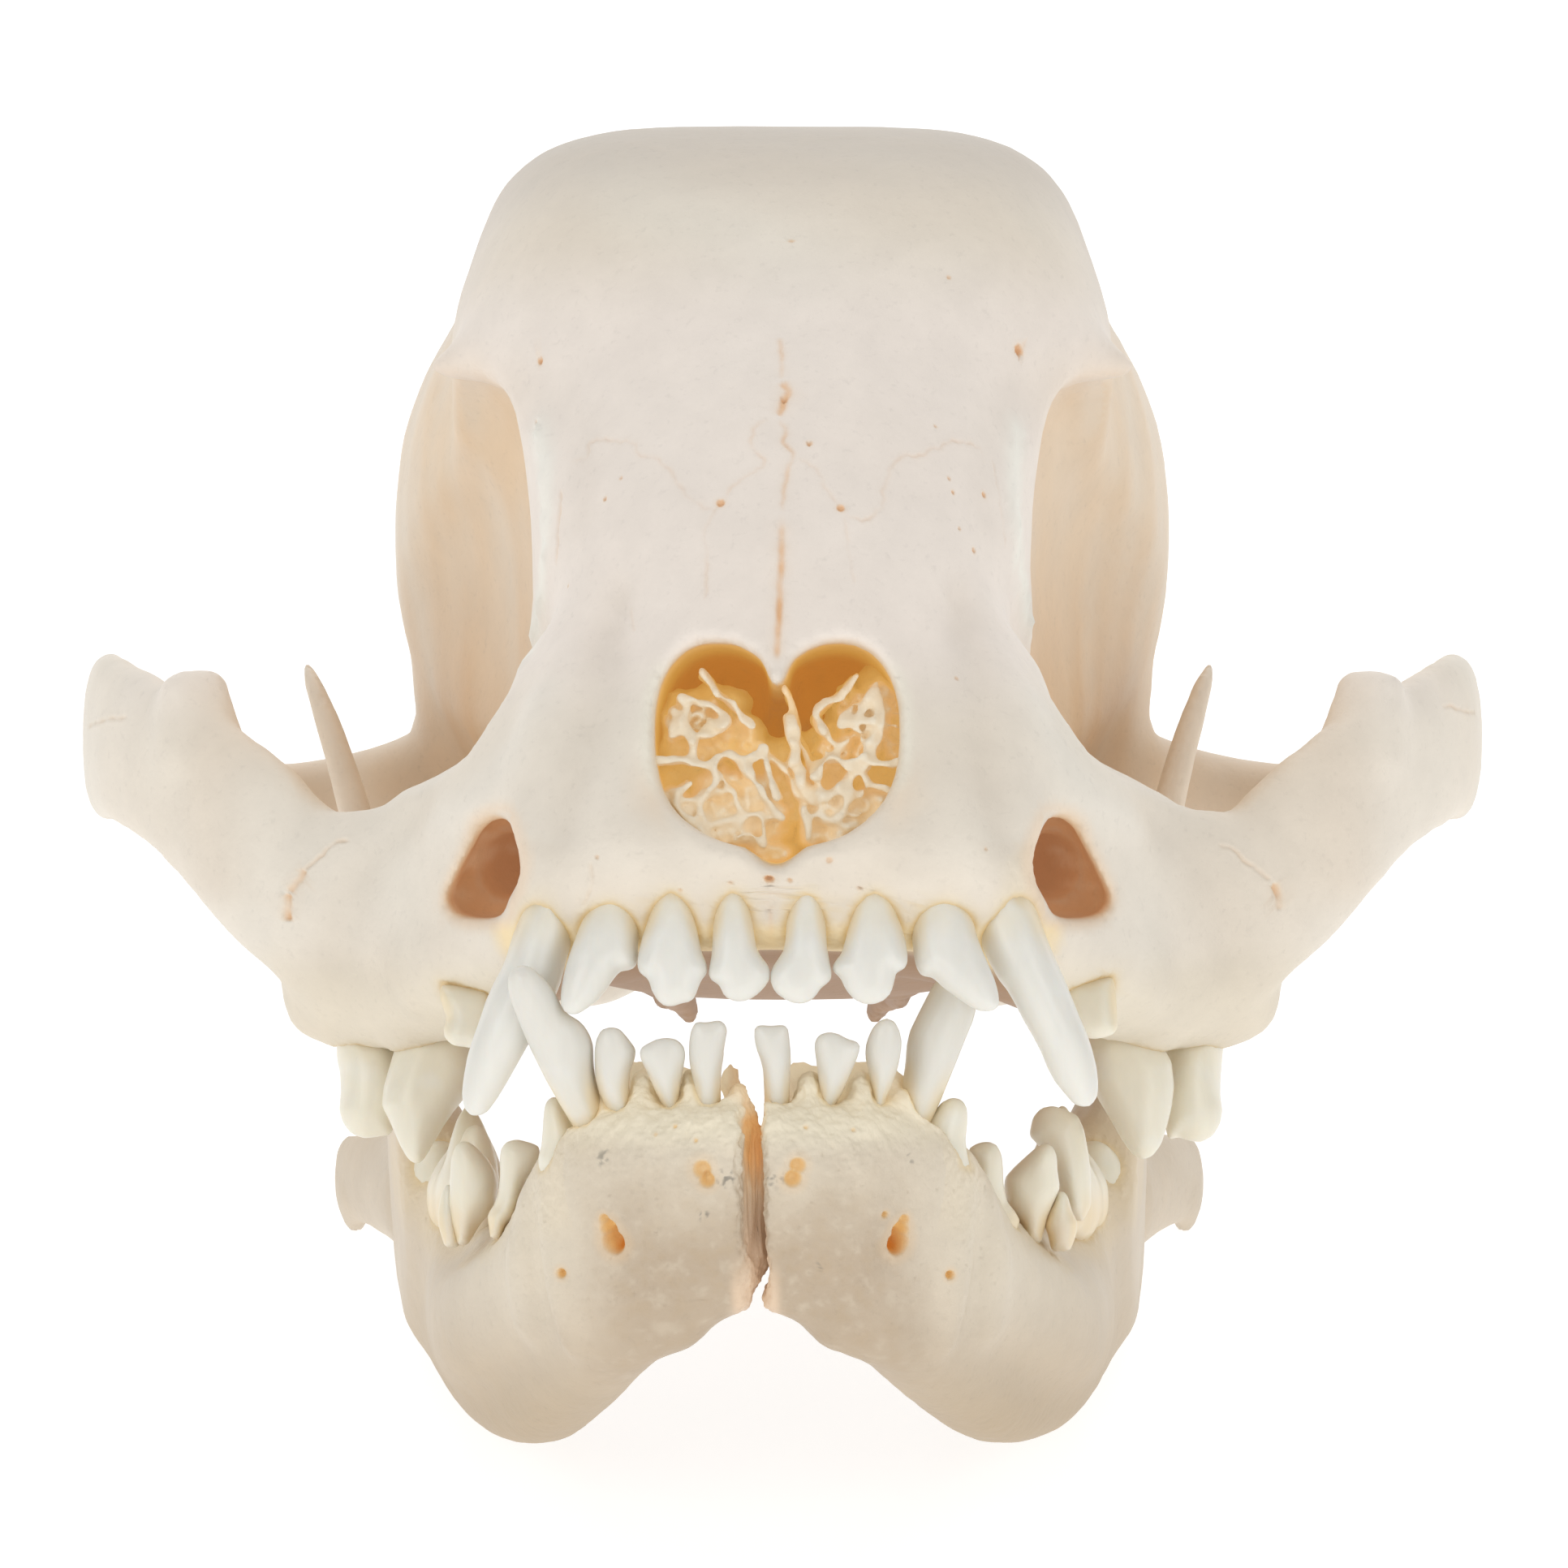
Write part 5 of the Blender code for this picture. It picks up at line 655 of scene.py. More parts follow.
def without_crumbs(S, least):
    """Only the parts of a skin that have at least so many points."""
    E, _ = S.edges(); L = np.arange(len(S.V))
    while True:
        m = np.minimum(L[E[:, 0]], L[E[:, 1]]); K = L.copy()
        np.minimum.at(K, E[:, 0], m); np.minimum.at(K, E[:, 1], m)
        K = K[K]
        if (K == L).all(): break
        L = K
    keep = np.bincount(L, minlength=len(S.V))[L] >= least
    new = np.cumsum(keep) - 1
    return Skin(S.V[keep], new[S.T[keep[S.T[:, 0]]]])

def evened(S, values, times=2):
    """Values of the points, averaged with their neighbours'."""
    E, _ = S.edges(); n = len(S.V); deg = np.bincount(E.ravel(), minlength=n)
    for _ in range(times):
        values = 0.5*values + 0.5*(np.bincount(E[:, 0], values[E[:, 1]], n) + np.bincount(E[:, 1], values[E[:, 0]], n))/deg
    return values

def blurred(D, times=1):
    """Each pass averages a cell with its neighbours along the three axes."""
    for _ in range(times):
        for ax in range(3):
            a = np.roll(D, 1, ax); b = np.roll(D, -1, ax)
            D = (a + 2*D + b) * 0.25
    return D

def skin_of(F, cell, mirror=False, lean=None, blur=1, box=None):
    """The surface of a field. mirror makes the right half and its image one body."""
    lo, hi = F.bounds(2.0) if box is None else (np.array(box[0], float), np.array(box[1], float))
    if mirror: xs = (np.arange(int(hi[0]/cell) + 2) + 0.5)*cell
    else: xs = np.arange(lo[0], hi[0] + cell, cell)
    ys, zs = np.arange(lo[1], hi[1] + cell, cell), np.arange(lo[2], hi[2] + cell, cell)
    D = F.fill(xs, ys, zs)
    if mirror:
        D = np.concatenate([D[::-1], D]); xs = np.concatenate([-xs[::-1], xs])
    if blur: D = blurred(D, blur)
    D[[0, -1]] = 3; D[:, [0, -1]] = 3; D[:, :, [0, -1]] = 3
    vol = openvdb.FloatGrid(8.0)
    vol.copyFromArray(np.ascontiguousarray(D, dtype=np.float32))
    pts, tris, quads = vol.convertToPolygons(isovalue=0.0, adaptivity=0.0)
    V = pts.astype(float)*cell + np.array([xs[0], ys[0], zs[0]])
    T = np.vstack([tris.astype(np.int64).reshape(-1, 3), quads[:, [0, 1, 2]].astype(np.int64), quads[:, [0, 2, 3]].astype(np.int64)])
    S = Skin(V, T)
    if lean: S.V[:, 0] += lean(S.V[:, 1], S.V[:, 2])
    return S

def thinned(S, target):
    """Fewer triangles where the surface is flat."""
    if len(S.T) <= target: return S
    me = bpy.data.meshes.new("thin"); me.from_pydata(S.V.tolist(), [], S.T.tolist()); me.update()
    ob = bpy.data.objects.new("thin", me); bpy.context.scene.collection.objects.link(ob)
    m = ob.modifiers.new("fewer", "DECIMATE"); m.ratio = target/len(S.T); m.use_collapse_triangulate = True
    ev = ob.evaluated_get(bpy.context.evaluated_depsgraph_get()); out = ev.to_mesh()
    V = np.empty(len(out.vertices)*3); out.vertices.foreach_get("co", V)
    out.calc_loop_triangles()
    T = np.empty(len(out.loop_triangles)*3, np.int32); out.loop_triangles.foreach_get("vertices", T)
    R = Skin(V.reshape(-1, 3), T.reshape(-1, 3))
    ev.to_mesh_clear(); bpy.data.objects.remove(ob); bpy.data.meshes.remove(me)
    return R

def near(P, line, reach):
    """Distance from each point to the nearest of the line's points, up to reach, and which one it is."""
    P, line = np.asarray(P), np.asarray(line)
    d = np.full(len(P), reach*1.001); which = np.zeros(len(P), int)
    lo, hi = line.min(0) - reach, line.max(0) + reach
    cand = np.flatnonzero(((P > lo) & (P < hi)).all(1))
    for c in np.array_split(cand, max(1, len(cand)*len(line)//3000000)):
        if not len(c): continue
        q = ((P[c][:, None, :] - line[None])**2).sum(2)
        j = q.argmin(1); v = np.sqrt(q[np.arange(len(c)), j])
        ok = v < reach
        d[c[ok]] = v[ok]; which[c[ok]] = j[ok]
    return d, which

def put(name, S, colour=None, material=None, flat=False, extra=None):
    """A mesh object from a skin, stood on the floor, with its point colours."""
    me = bpy.data.meshes.new(name)
    me.vertices.add(len(S.V)); me.vertices.foreach_set("co", stand(S.V).astype(np.float32).ravel())
    me.loops.add(len(S.T)*3); me.loops.foreach_set("vertex_index", S.T.astype(np.int32).ravel())
    me.polygons.add(len(S.T)); me.polygons.foreach_set("loop_start", np.arange(0, len(S.T)*3, 3, dtype=np.int32))
    me.update(calc_edges=True); me.validate()
    if not flat: me.shade_smooth()
    if colour is not None:
        a = me.color_attributes.new("tint", "FLOAT_COLOR", "POINT")
        a.data.foreach_set("color", np.concatenate([np.clip(colour, 0, 1), np.ones((len(colour), 1))], 1).astype(np.float32).ravel())
    for key, val in (extra or {}).items():
        a = me.attributes.new(key, "FLOAT", "POINT"); a.data.foreach_set("value", np.asarray(val, np.float32))
    ob = bpy.data.objects.new(name, me); bpy.context.scene.collection.objects.link(ob)
    if material: me.materials.append(material)
    return ob

# ---------------------------------------------------------------- the leaves, cells and lace inside the nose
EYE = np.array([0.0, -600.0, 0.0])       # where the camera stands, in the skull's own frame

def seen(px, py, y):
    """The point at depth y that the camera sees at (px, py) of its 1932-wide frame."""
    return np.array([(px - 966)*(600 + y)/10570, y, (966 - py)*(600 + y)/10570])

def rim(z):
    """Depth of the nose opening's rim at height z."""
    return np.interp(z, [-6, -3, 0, 4, 8, 11], [7.6, 7.9, 8.7, 10.6, 13.2, 15.4])

# thin leaves seen edge-on: (camera points of the front edge, thickness, start behind the rim, length back)
LEAVES = [
    # the sheets that bound the upper passages
    ([(862, 829), (872, 838), (882, 852), (898, 862), (910, 876), (918, 888), (927, 896)], 0.72, 1.0, 11),
    ([(1056, 831), (1043, 847), (1030, 860), (1018, 866), (1009, 875), (1006, 885), (1011, 899)], 0.72, 1.0, 11),
    # floors of the upper chambers, and where they turn down
    ([(799, 939), (821, 938), (837, 936), (852, 939), (867, 943), (875, 945), (880, 940), (895, 930), (905, 935), (918, 940), (926, 952)], 0.62, 0.7, 10),
    ([(875, 945), (879, 957), (879, 970), (872, 977), (866, 985), (863, 995), (867, 1008)], 0.55, 0.8, 9),
    ([(1115, 939), (1099, 942), (1081, 939), (1071, 931), (1066, 936), (1053, 942), (1043, 942), (1028, 936), (1015, 939), (1007, 947), (1004, 957)], 0.62, 0.7, 10),
    ([(1053, 944), (1043, 957), (1036, 967), (1030, 977), (1018, 985)], 0.62, 0.8, 9),
    # left scroll on its stem
    ([(852, 940), (851, 924), (851, 913), (848, 903), (845, 893), (844, 883), (842, 870), (839, 860)], 0.66, 0.9, 8),
    ([(839, 861), (852, 864), (865, 868), (877, 870), (888, 878), (895, 888)], 0.5, 0.9, 6),
    ([(895, 892), (885, 898), (875, 903), (866, 903)], 0.46, 1.0, 5),
    ([(894, 888), (882, 890), (872, 894), (865, 901)], 0.36, 1.1, 5),
    ([(844, 883), (834, 879), (827, 880), (829, 874)], 0.5, 1.0, 5),
    ([(846, 892), (836, 891), (829, 896), (826, 908)], 0.5, 1.0, 5),
    ([(850, 905), (842, 902), (834, 905)], 0.4, 1.1, 4),
    # left lower scroll
    ([(834, 992), (834, 982), (839, 973), (846, 967), (850, 965)], 0.46, 0.9, 6),
    ([(834, 992), (842, 1003), (852, 1010), (865, 1021), (873, 1034)], 0.6, 0.8, 7),
    ([(803, 985), (814, 980), (826, 976), (835, 978)], 0.34, 1.5, 5),
    ([(838, 994), (846, 985), (856, 986), (868, 984)], 0.34, 1.3, 6),
    # torn sheets and cells low in the middle
    ([(903, 934), (913, 944), (926, 957), (936, 970), (944, 985), (954, 1000), (964, 1010)], 0.55, 1.0, 8),
    ([(888, 957), (893, 970), (903, 977), (911, 993), (916, 1003)], 0.36, 1.4, 5),
    ([(865, 1008), (875, 1018), (895, 1013), (911, 1008), (923, 1005), (939, 1003), (954, 1010)], 0.42, 1.2, 6),
    ([(938, 917), (944, 934), (946, 944), (949, 957), (954, 970), (959, 985)], 0.6, 1.1, 7),
    ([(913, 939), (926, 934), (936, 924), (941, 918)], 0.5, 1.1, 6),
    ([(939, 1040), (942, 1023), (941, 1010), (939, 1003)], 0.4, 1.1, 6),
    ([(903, 1036), (923, 1028), (939, 1038)], 0.34, 1.3, 5),
    ([(882, 1028), (893, 1021), (913, 1016)], 0.34, 1.4, 5),
    ([(868, 985), (880, 978), (893, 976)], 0.32, 1.6, 5),
    ([(949, 931), (962, 944), (972, 962), (979, 980), (990, 987)], 0.5, 1.9, 6),
    # the broken plank and the wall behind it
    ([(973, 887), (977, 919), (983, 957), (990, 977), (1001, 990)], 1.15, 1.5, 3.5),
    ([(960, 832), (968, 850), (977, 873), (980, 893), (987, 913), (995, 931), (1001, 949)], 0.42, 2.8, 18),
    ([(984, 950), (992, 972), (1004, 988)], 1.3, 1.7, 4),
    # right scroll on its stem
    ([(1072, 934), (1074, 919), (1079, 906), (1084, 893), (1085, 878), (1082, 865), (1078, 854)], 1.0, 0.8, 7),
    ([(1078, 860), (1066, 873), (1053, 884), (1041, 891), (1036, 892)], 0.75, 0.9, 6),
    ([(1076, 858), (1064, 866), (1053, 869), (1043, 877), (1037, 883)], 0.42, 1.0, 5),
    ([(1078, 892), (1066, 890), (1055, 892), (1052, 898), (1058, 904)], 0.5, 1.0, 5),
    ([(1079, 901), (1070, 900), (1063, 906), (1062, 914)], 0.34, 1.3, 5),
    ([(1080, 852), (1079, 845), (1086, 838)], 0.2, 1.6, 3),
    ([(1086, 862), (1093, 852), (1100, 848)], 0.2, 1.7, 3),
    ([(1090, 880), (1098, 872), (1106, 874)], 0.2, 1.9, 3),
    ([(1088, 900), (1097, 893), (1108, 896)], 0.2, 1.9, 3),
    # right lower chamber
    ([(1043, 980), (1043, 962), (1053, 952), (1067, 947)], 0.55, 0.9, 8),
    ([(1062, 958), (1074, 967), (1089, 973), (1106, 980)], 0.46, 1.0, 6),
    ([(1066, 960), (1067, 971), (1060, 980), (1050, 979)], 0.42, 1.1, 6),
    ([(1041, 980), (1030, 977), (1018, 982), (1011, 995), (1018, 1008), (1030, 1010), (1041, 1000), (1042, 984)], 0.55, 0.9, 7),
    ([(990, 995), (997, 1004), (1012, 1002)], 0.5, 1.1, 6),
    ([(997, 1034), (995, 1015), (990, 998)], 0.5, 1.0, 6),
    ([(1041, 1021), (1030, 1015), (1015, 1013)], 0.34, 1.3, 5),
    ([(1043, 1004), (1056, 1008), (1066, 1002)], 0.34, 1.3, 5),
    ([(1004, 957), (1010, 970), (1018, 984)], 0.4, 1.2, 6),
    ([(1016, 905), (1024, 914), (1036, 918), (1048, 914)], 0.4, 1.8, 6),
    ([(1012, 925), (1022, 930), (1036, 926)], 0.36, 1.9, 6)]
# filled places: (camera point, radii in pixels, depth behind the rim, how lacy)
FLOORS = [((905, 985), (40, 32), 3.0, 0.3), ((926, 1012), (34, 28), 2.8, 0.3), ((893, 1022), (38, 18), 2.2, 0.3), ((868, 1006), (26, 18), 2.0, 0.3), ((822, 992), (18, 14), 2.3, 0.4),
    ((862, 884), (27, 19), 1.7, 1.6), ((836, 890), (13, 20), 2.1, 1.3), ((905, 912), (26, 24), 4.2, 0.5), ((872, 922), (24, 14), 4.6, 0.4), ((838, 922), (16, 12), 5.0, 0.3), ((846, 962), (34, 20), 6.0, 0.3),
    ((1062, 876), (22, 20), 2.1, 1.6), ((1080, 880), (14, 30), 1.5, 0.8), ((1040, 922), (30, 16), 3.0, 1.2), ((1050, 903), (20, 14), 3.6, 1.0), ((1022, 957), (22, 18), 4.4, 0.4), ((1058, 1002), (46, 18), 2.2, 0.4), ((1092, 996), (20, 14), 2.6, 0.4),
    ((1018, 1013), (26, 22), 2.2, 0.4), ((1099, 898), (14, 40), 3.6, 1.0), ((1080, 958), (34, 16), 6.0, 0.3), ((952, 968), (22, 36), 5.2, 0.4), ((962, 1000), (26, 26), 5.0, 0.4), ((888, 866), (26, 16), 7.5, 0.3), ((948, 1052), (16, 10), 3.2, 0.3)]

class Leaf:
    """Distance to a leaf whose front edge follows a path, on a grid of x, depth behind the rim and z."""
    def __init__(s, path, thick, front, back):
        s.P = spline(np.array([seen(px, py, 10.5)[[0, 2]] for px, py in path]), 4)
        s.thick, s.front, s.back = thick, front, back
    def on(s, X, R, Z, U):
        best = np.full(X.shape, 1e9); n = len(s.P) - 1; at = np.zeros(X.shape)
        for i in range(n):
            a, d = s.P[i], s.P[i+1] - s.P[i]; L = d @ d + 1e-12
            t = np.clip(((X - a[0])*d[0] + (Z - a[1])*d[1])/L, 0, 1)
            q = (X - a[0] - t*d[0])**2 + (Z - a[1] - t*d[1])**2
            m = q < best; best = np.where(m, q, best); at = np.where(m, (i + t)/n, at)
        t = s.thick/2*(0.55 + 0.4*np.exp(-np.maximum(R - s.front, 0)/0.9))*np.clip(0.85 + 1.9*U, 0.35, 1.9) + 0.04
        return smax(smax(np.sqrt(best) - t, s.front - R, 0.35), R - s.front - s.back, 0.3)

def nose_skin(inside, cell):
    """All that stands inside the nose as one body. inside: distance to the hollow for points of the skull."""
    xs, rs, zs = np.arange(-11.0, 10.8, cell), np.arange(-0.4, 13.0, cell), np.arange(-7.2, 11.4, cell)
    X, R, Z = np.meshgrid(xs, rs, zs, indexing="ij")
    warp = [noise_grid(xs, rs, zs, 0.55, i, (1, 0.45, 1)) for i in (21, 24)]
    tear = noise_grid(xs, rs, zs, 1.1, 27, (1, 0.5, 1)) + 0.8*noise_grid(xs, rs, zs, 1.9, 29, (1, 0.5, 1))
    fray = noise_grid(xs, rs, zs, 1.0, 39, (1, 0.6, 1))
    A, B, C = X + 0.5*warp[0] + 0.28*tear, R + 1.0*tear, Z + 0.5*warp[1] - 0.28*tear
    # filled places: a relief behind the leaves
    u, w = xs[:, None], zs[None, :]
    flat = np.stack([np.broadcast_to(u, (len(xs), len(zs))).ravel(), np.zeros(len(xs)*len(zs)), np.broadcast_to(w, (len(xs), len(zs))).ravel()], 1)
    lace = np.abs(noise(flat, 0.75, 31) + 0.6*noise(flat, 1.7, 33)).reshape(len(xs), len(zs))
    web = 1 - np.exp(-lace*9)
    lumps = (noise(flat, 0.7, 35) + 0.6*noise(flat, 1.7, 37)).reshape(web.shape)
    depth = np.full((len(xs), len(zs)), 30.0)
    for (px, py), (rx, ry), d, lacy in FLOORS:
        c = seen(px, py, 10.5); ax, az = rx*(0.054 if py < 935 else 0.062), ry*(0.054 if py < 935 else 0.062)
        rho = np.sqrt(((u - c[0])/ax)**2 + ((w - c[2])/az)**2) + 0.35*lumps
        depth = smin(depth, d - 0.7 + 2.6*lacy*web + 1.0*lumps + 7*np.maximum(rho - 0.9, 0)**1.5*min(ax, az), 0.7)
    F = depth[:, None, :] - R
    def one(row):
        L = Leaf(*row); m = L.thick/2 + 1.1
        i = np.searchsorted(xs, [L.P[:, 0].min() - m, L.P[:, 0].max() + m]); k = np.searchsorted(zs, [L.P[:, 1].min() - m, L.P[:, 1].max() + m])
        g = (slice(*i), slice(None), slice(*k))
        return g, L.on(A[g], B[g], C[g], fray[g])
    with ThreadPoolExecutor(4) as pool:
        for g, d in pool.map(one, LEAVES): F[g] = smin(F[g], d, 0.35)
    Q = np.stack([X.ravel(), (R + rim(Z)).ravel(), Z.ravel()], 1)
    wall = np.full(len(Q), 3.0); c = np.flatnonzero(F.ravel() < 1.0); wall[c] = inside(Q[c])
    F = smax(F, wall.reshape(X.shape) - 0.35, 0.1)
    F[[0, -1]] = 3; F[:, [0, -1]] = 3; F[:, :, [0, -1]] = 3
    vol = openvdb.FloatGrid(8.0); vol.copyFromArray(np.ascontiguousarray(blurred(F, 1), dtype=np.float32))
    pts, tris, quads = vol.convertToPolygons(isovalue=0.0, adaptivity=0.0)
    V = pts.astype(float)*cell + np.array([xs[0], rs[0], zs[0]])
    T = np.vstack([tris.astype(np.int64).reshape(-1, 3), quads[:, [0, 1, 2]].astype(np.int64), quads[:, [0, 2, 3]].astype(np.int64)])
    V[:, 1] += rim(V[:, 2])
    S = Skin(V, T)
    if S.volume() < 0: S.T = S.T[:, ::-1].copy()
    return S

# ---------------------------------------------------------------- tints, as the eye reads them
def rgb(*c):
    """A colour given in display values, 0 to 255, as light."""
    v = np.array(c, float)/255
    return np.where(v <= 0.04045, v/12.92, ((v + 0.055)/1.055)**2.4)

BONE, WARM, PALE = rgb(237, 228, 214), rgb(228, 212, 190), rgb(238, 233, 221)
TAN, AMBER, DEEP, RUST = rgb(214, 190, 158), rgb(226, 200, 134), rgb(218, 186, 104), rgb(236, 176, 104)
STAIN, BROWN, GREY = rgb(222, 190, 128), rgb(186, 140, 104), rgb(124, 119, 110)
ENAMEL, ROOT, JAW = rgb(234, 232, 224), rgb(239, 230, 207), rgb(214, 200, 180)

def mix(C, colour, amount):
    """Colours C drawn towards a colour by an amount for each point."""
    return C + (np.asarray(colour) - C)*np.clip(amount, 0, 1)[:, None]

def caster(S):
    """Lands the camera's pixels on a surface."""
    tree = BVHTree.FromPolygons(S.V.tolist(), S.T.tolist())
    def land(px, py):
        d = Vector(((px - 966)/10570, 1.0, (966 - py)/10570)).normalized()
        hit, _, _, _ = tree.ray_cast(Vector(EYE.tolist()), d)
        return None if hit is None else np.array(hit)
    return land

def draw(land, path, wiggle=0.0, fine=1.0, seed=0.0, step=2.0):
    """A line on the surface: camera points joined by a smooth curve, which wavers as a suture does."""
    P = spline(np.array(path, float), 8)
    L = np.r_[0, np.cumsum(np.linalg.norm(np.diff(P, axis=0), axis=1))]
    s = np.arange(0, L[-1], step); P = np.stack([np.interp(s, L, P[:, 0]), np.interp(s, L, P[:, 1])], 1)
    t = np.gradient(P, axis=0); t /= np.linalg.norm(t, axis=1)[:, None] + 1e-9
    q = np.stack([s*0.05*fine, s*0, s*0 + seed], 1)
    P = P + np.stack([-t[:, 1], t[:, 0]], 1)*(wiggle*(noise(q, 1.0, seed) + 0.8*noise(q, 2.7, seed + 3)))[:, None]
    out = [land(*p) for p in P]
    return np.array([p for p in out if p is not None])

# camera points, half width mm, depth mm, wiggle px, strength of its stain
SUTURES = [
    ([(962, 414), (963, 443), (963, 468)], 0.16, 0.10, 3, 0.45),
    ([(963, 468), (972, 481), (967, 492), (963, 504), (958, 516)], 0.24, 0.20, 3, 0.9),
    ([(958, 516), (968, 530), (966, 545), (977, 561), (972, 578), (966, 603), (963, 632)], 0.14, 0.12, 3, 0.6),
    ([(963, 632), (963, 660), (963, 690), (961, 716), (960, 750), (958, 784), (958, 820)], 0.20, 0.24, 1.2, 1.0),
    ([(951, 519), (935, 521), (926, 540), (930, 557), (943, 569), (930, 582), (914, 590), (900, 604), (890, 618)], 0.13, 0.08, 5, 0.22),
    ([(886, 622), (869, 628), (846, 609), (830, 590), (821, 576), (808, 565), (794, 562), (787, 561), (779, 546), (765, 543), (751, 542), (735, 540), (722, 545), (718, 561), (695, 571)], 0.14, 0.09, 6, 0.19),
    ([(890, 614), (878, 636), (869, 650), (869, 664), (871, 683), (870, 712), (869, 729), (865, 746)], 0.12, 0.08, 3, 0.17),
    ([(775, 746), (776, 760), (778, 772), (783, 780)], 0.12, 0.07, 2, 0.19),
    ([(977, 561), (990, 568), (1002, 576), (1012, 588), (1019, 599), (1028, 614), (1036, 626)], 0.13, 0.08, 4, 0.17),
    ([(1036, 626), (1044, 633), (1056, 638), (1066, 638), (1078, 632), (1088, 622), (1090, 604), (1096, 584), (1103, 570), (1120, 561), (1136, 559), (1145, 556), (1162, 550), (1183, 541), (1196, 546), (1212, 553), (1217, 566)], 0.14, 0.09, 6, 0.23),
    ([(1038, 630), (1043, 650), (1044, 668), (1048, 690), (1051, 708), (1052, 724)], 0.11, 0.06, 3, 0.11),
    ([(690, 600), (690, 622), (688, 640), (687, 662), (686, 684), (684, 700)], 0.16, 0.12, 2, 0.33),
    ([(1226, 560), (1230, 590), (1234, 620), (1238, 650), (1240, 680)], 0.12, 0.08, 3, 0.14),
    ([(432, 1034), (416, 1038), (402, 1048), (390, 1058), (380, 1068), (372, 1078)], 0.14, 0.14, 3, 0.28),
    ([(378, 1072), (370, 1083), (362, 1092), (357, 1102)], 0.26, 0.18, 3, 0.8),
    ([(356, 1100), (356, 1112), (355, 1124), (355, 1137)], 0.26, 0.45, 1, 1.0),
    ([(1500, 1040), (1518, 1046), (1532, 1058), (1546, 1070), (1558, 1080), (1568, 1088)], 0.14, 0.14, 3, 0.25),
    ([(1568, 1088), (1574, 1100), (1575, 1112), (1576, 1124)], 0.24, 0.4, 1, 0.95),
    ([(106, 896), (118, 890), (132, 886), (148, 884), (160, 880)], 0.14, 0.10, 4, 0.22),
    ([(1776, 868), (1790, 872), (1804, 876), (1818, 882)], 0.14, 0.10, 4, 0.28),
    ([(948, 1076), (949, 1090), (948, 1104), (949, 1118), (948, 1136), (949, 1160)], 0.14, 0.12, 2, 0.28),
    ([(724, 1060), (730, 1080), (726, 1100), (716, 1120)], 0.12, 0.10, 2, 0.11),
]
# camera point, radius mm, depth mm, strength of its stain
PITS = [((663, 444), 0.30, 0.35, 1.0), ((1257, 431), 0.46, 0.55, 1.0), ((744, 614), 0.20, 0.2, 0.8), ((765, 589), 0.15, 0.12, 0.6), ((997, 547), 0.22, 0.25, 0.9),
    ((1170, 589), 0.18, 0.15, 0.6), ((1175, 606), 0.18, 0.2, 0.8), ((1217, 608), 0.26, 0.25, 0.9), ((1183, 651), 0.16, 0.15, 0.6), ((1201, 678), 0.22, 0.25, 0.9),
    ((1153, 525), 0.16, 0.12, 0.5), ((658, 519), 0.16, 0.12, 0.3), ((975, 297), 0.20, 0.12, 0.6), ((1169, 342), 0.18, 0.12, 0.6), ((888, 620), 0.34, 0.25, 1.0), ((1036, 626), 0.32, 0.25, 1.0),
    ((966, 491), 0.28, 0.25, 1.0), ((1180, 832), 0.16, 0.12, 0.5), ((948, 1084), 0.40, 0.5, 0.8), ((973, 1086), 0.2, 0.2, 0.6), ((1022, 1060), 0.26, 0.15, 0.5), ((700, 722), 0.14, 0.1, 0.4),
    ((735, 1056), 0.16, 0.15, 0.4), ((1216, 1046), 0.16, 0.15, 0.4), ((900, 1090), 0.16, 0.15, 0.4), ((1060, 1096), 0.18, 0.18, 0.4), ((838, 1098), 0.16, 0.15, 0.4)]
# broad folds of the face, furrows above 0 and ridges below, carved and also painted with shade in the furrows and a
# highlight on the ridges: camera points, width mm, depth mm
FOLDS = [([(756, 740), (746, 790), (738, 839), (720, 905), (698, 970), (686, 1030)], 1.8, 0.7), ([(1186, 740), (1196, 790), (1206, 839), (1212, 905), (1222, 970), (1236, 1030)], 1.8, 0.7),
    ([(662, 870), (636, 930), (590, 985), (530, 1016)], 1.9, -0.5), ([(1272, 870), (1298, 930), (1342, 985), (1404, 1016)], 1.9, -0.5),
    ([(800, 990), (850, 1070), (900, 1085), (946, 1078)], 1.6, 0.3), ([(1130, 990), (1090, 1066), (1040, 1082), (990, 1078)], 1.6, 0.3),
    ([(520, 1000), (470, 1040), (430, 1100), (410, 1170)], 2.0, 0.5), ([(1410, 1000), (1460, 1040), (1500, 1100), (1520, 1170)], 2.0, 0.5),
    ([(640, 470), (690, 500), (720, 560), (716, 640)], 2.4, 0.35), ([(1290, 470), (1240, 500), (1214, 560), (1216, 640)], 2.4, 0.35)]
# crusty rims of the orbits
CRUSTS = [([(664, 530), (672, 575), (673, 630), (670, 690), (664, 750), (650, 810)], 1.1), ([(1256, 530), (1250, 575), (1251, 630), (1256, 690), (1264, 750), (1278, 810)], 1.1)]

# ---------------------------------------------------------------- making the teeth
TOOTH_CELL = 0.21
LAND = None

def tooth_skins(table, lean):
    """{name: skin} from fields."""
    with ThreadPoolExecutor(4) as pool:
        return dict(zip(table, pool.map(lambda F: skin_of(F, TOOTH_CELL, blur=1).largest().ease(1), table.values())))

def leant(S, side, lean):
    """A right-side skin, on its own side, with the lean of its jaw."""
    V, T = S.V.copy(), S.T
    if side == "left": V[:, 0] *= -1; T = T[:, ::-1].copy()
    V[:, 0] += lean(V[:, 1], V[:, 2])
    return Skin(V, T)

def joined(skins):
    n, V, T = 0, [], []
    for S in skins: V.append(S.V); T.append(S.T + n); n += len(S.V)
    return Skin(np.vstack(V), np.vstack(T))

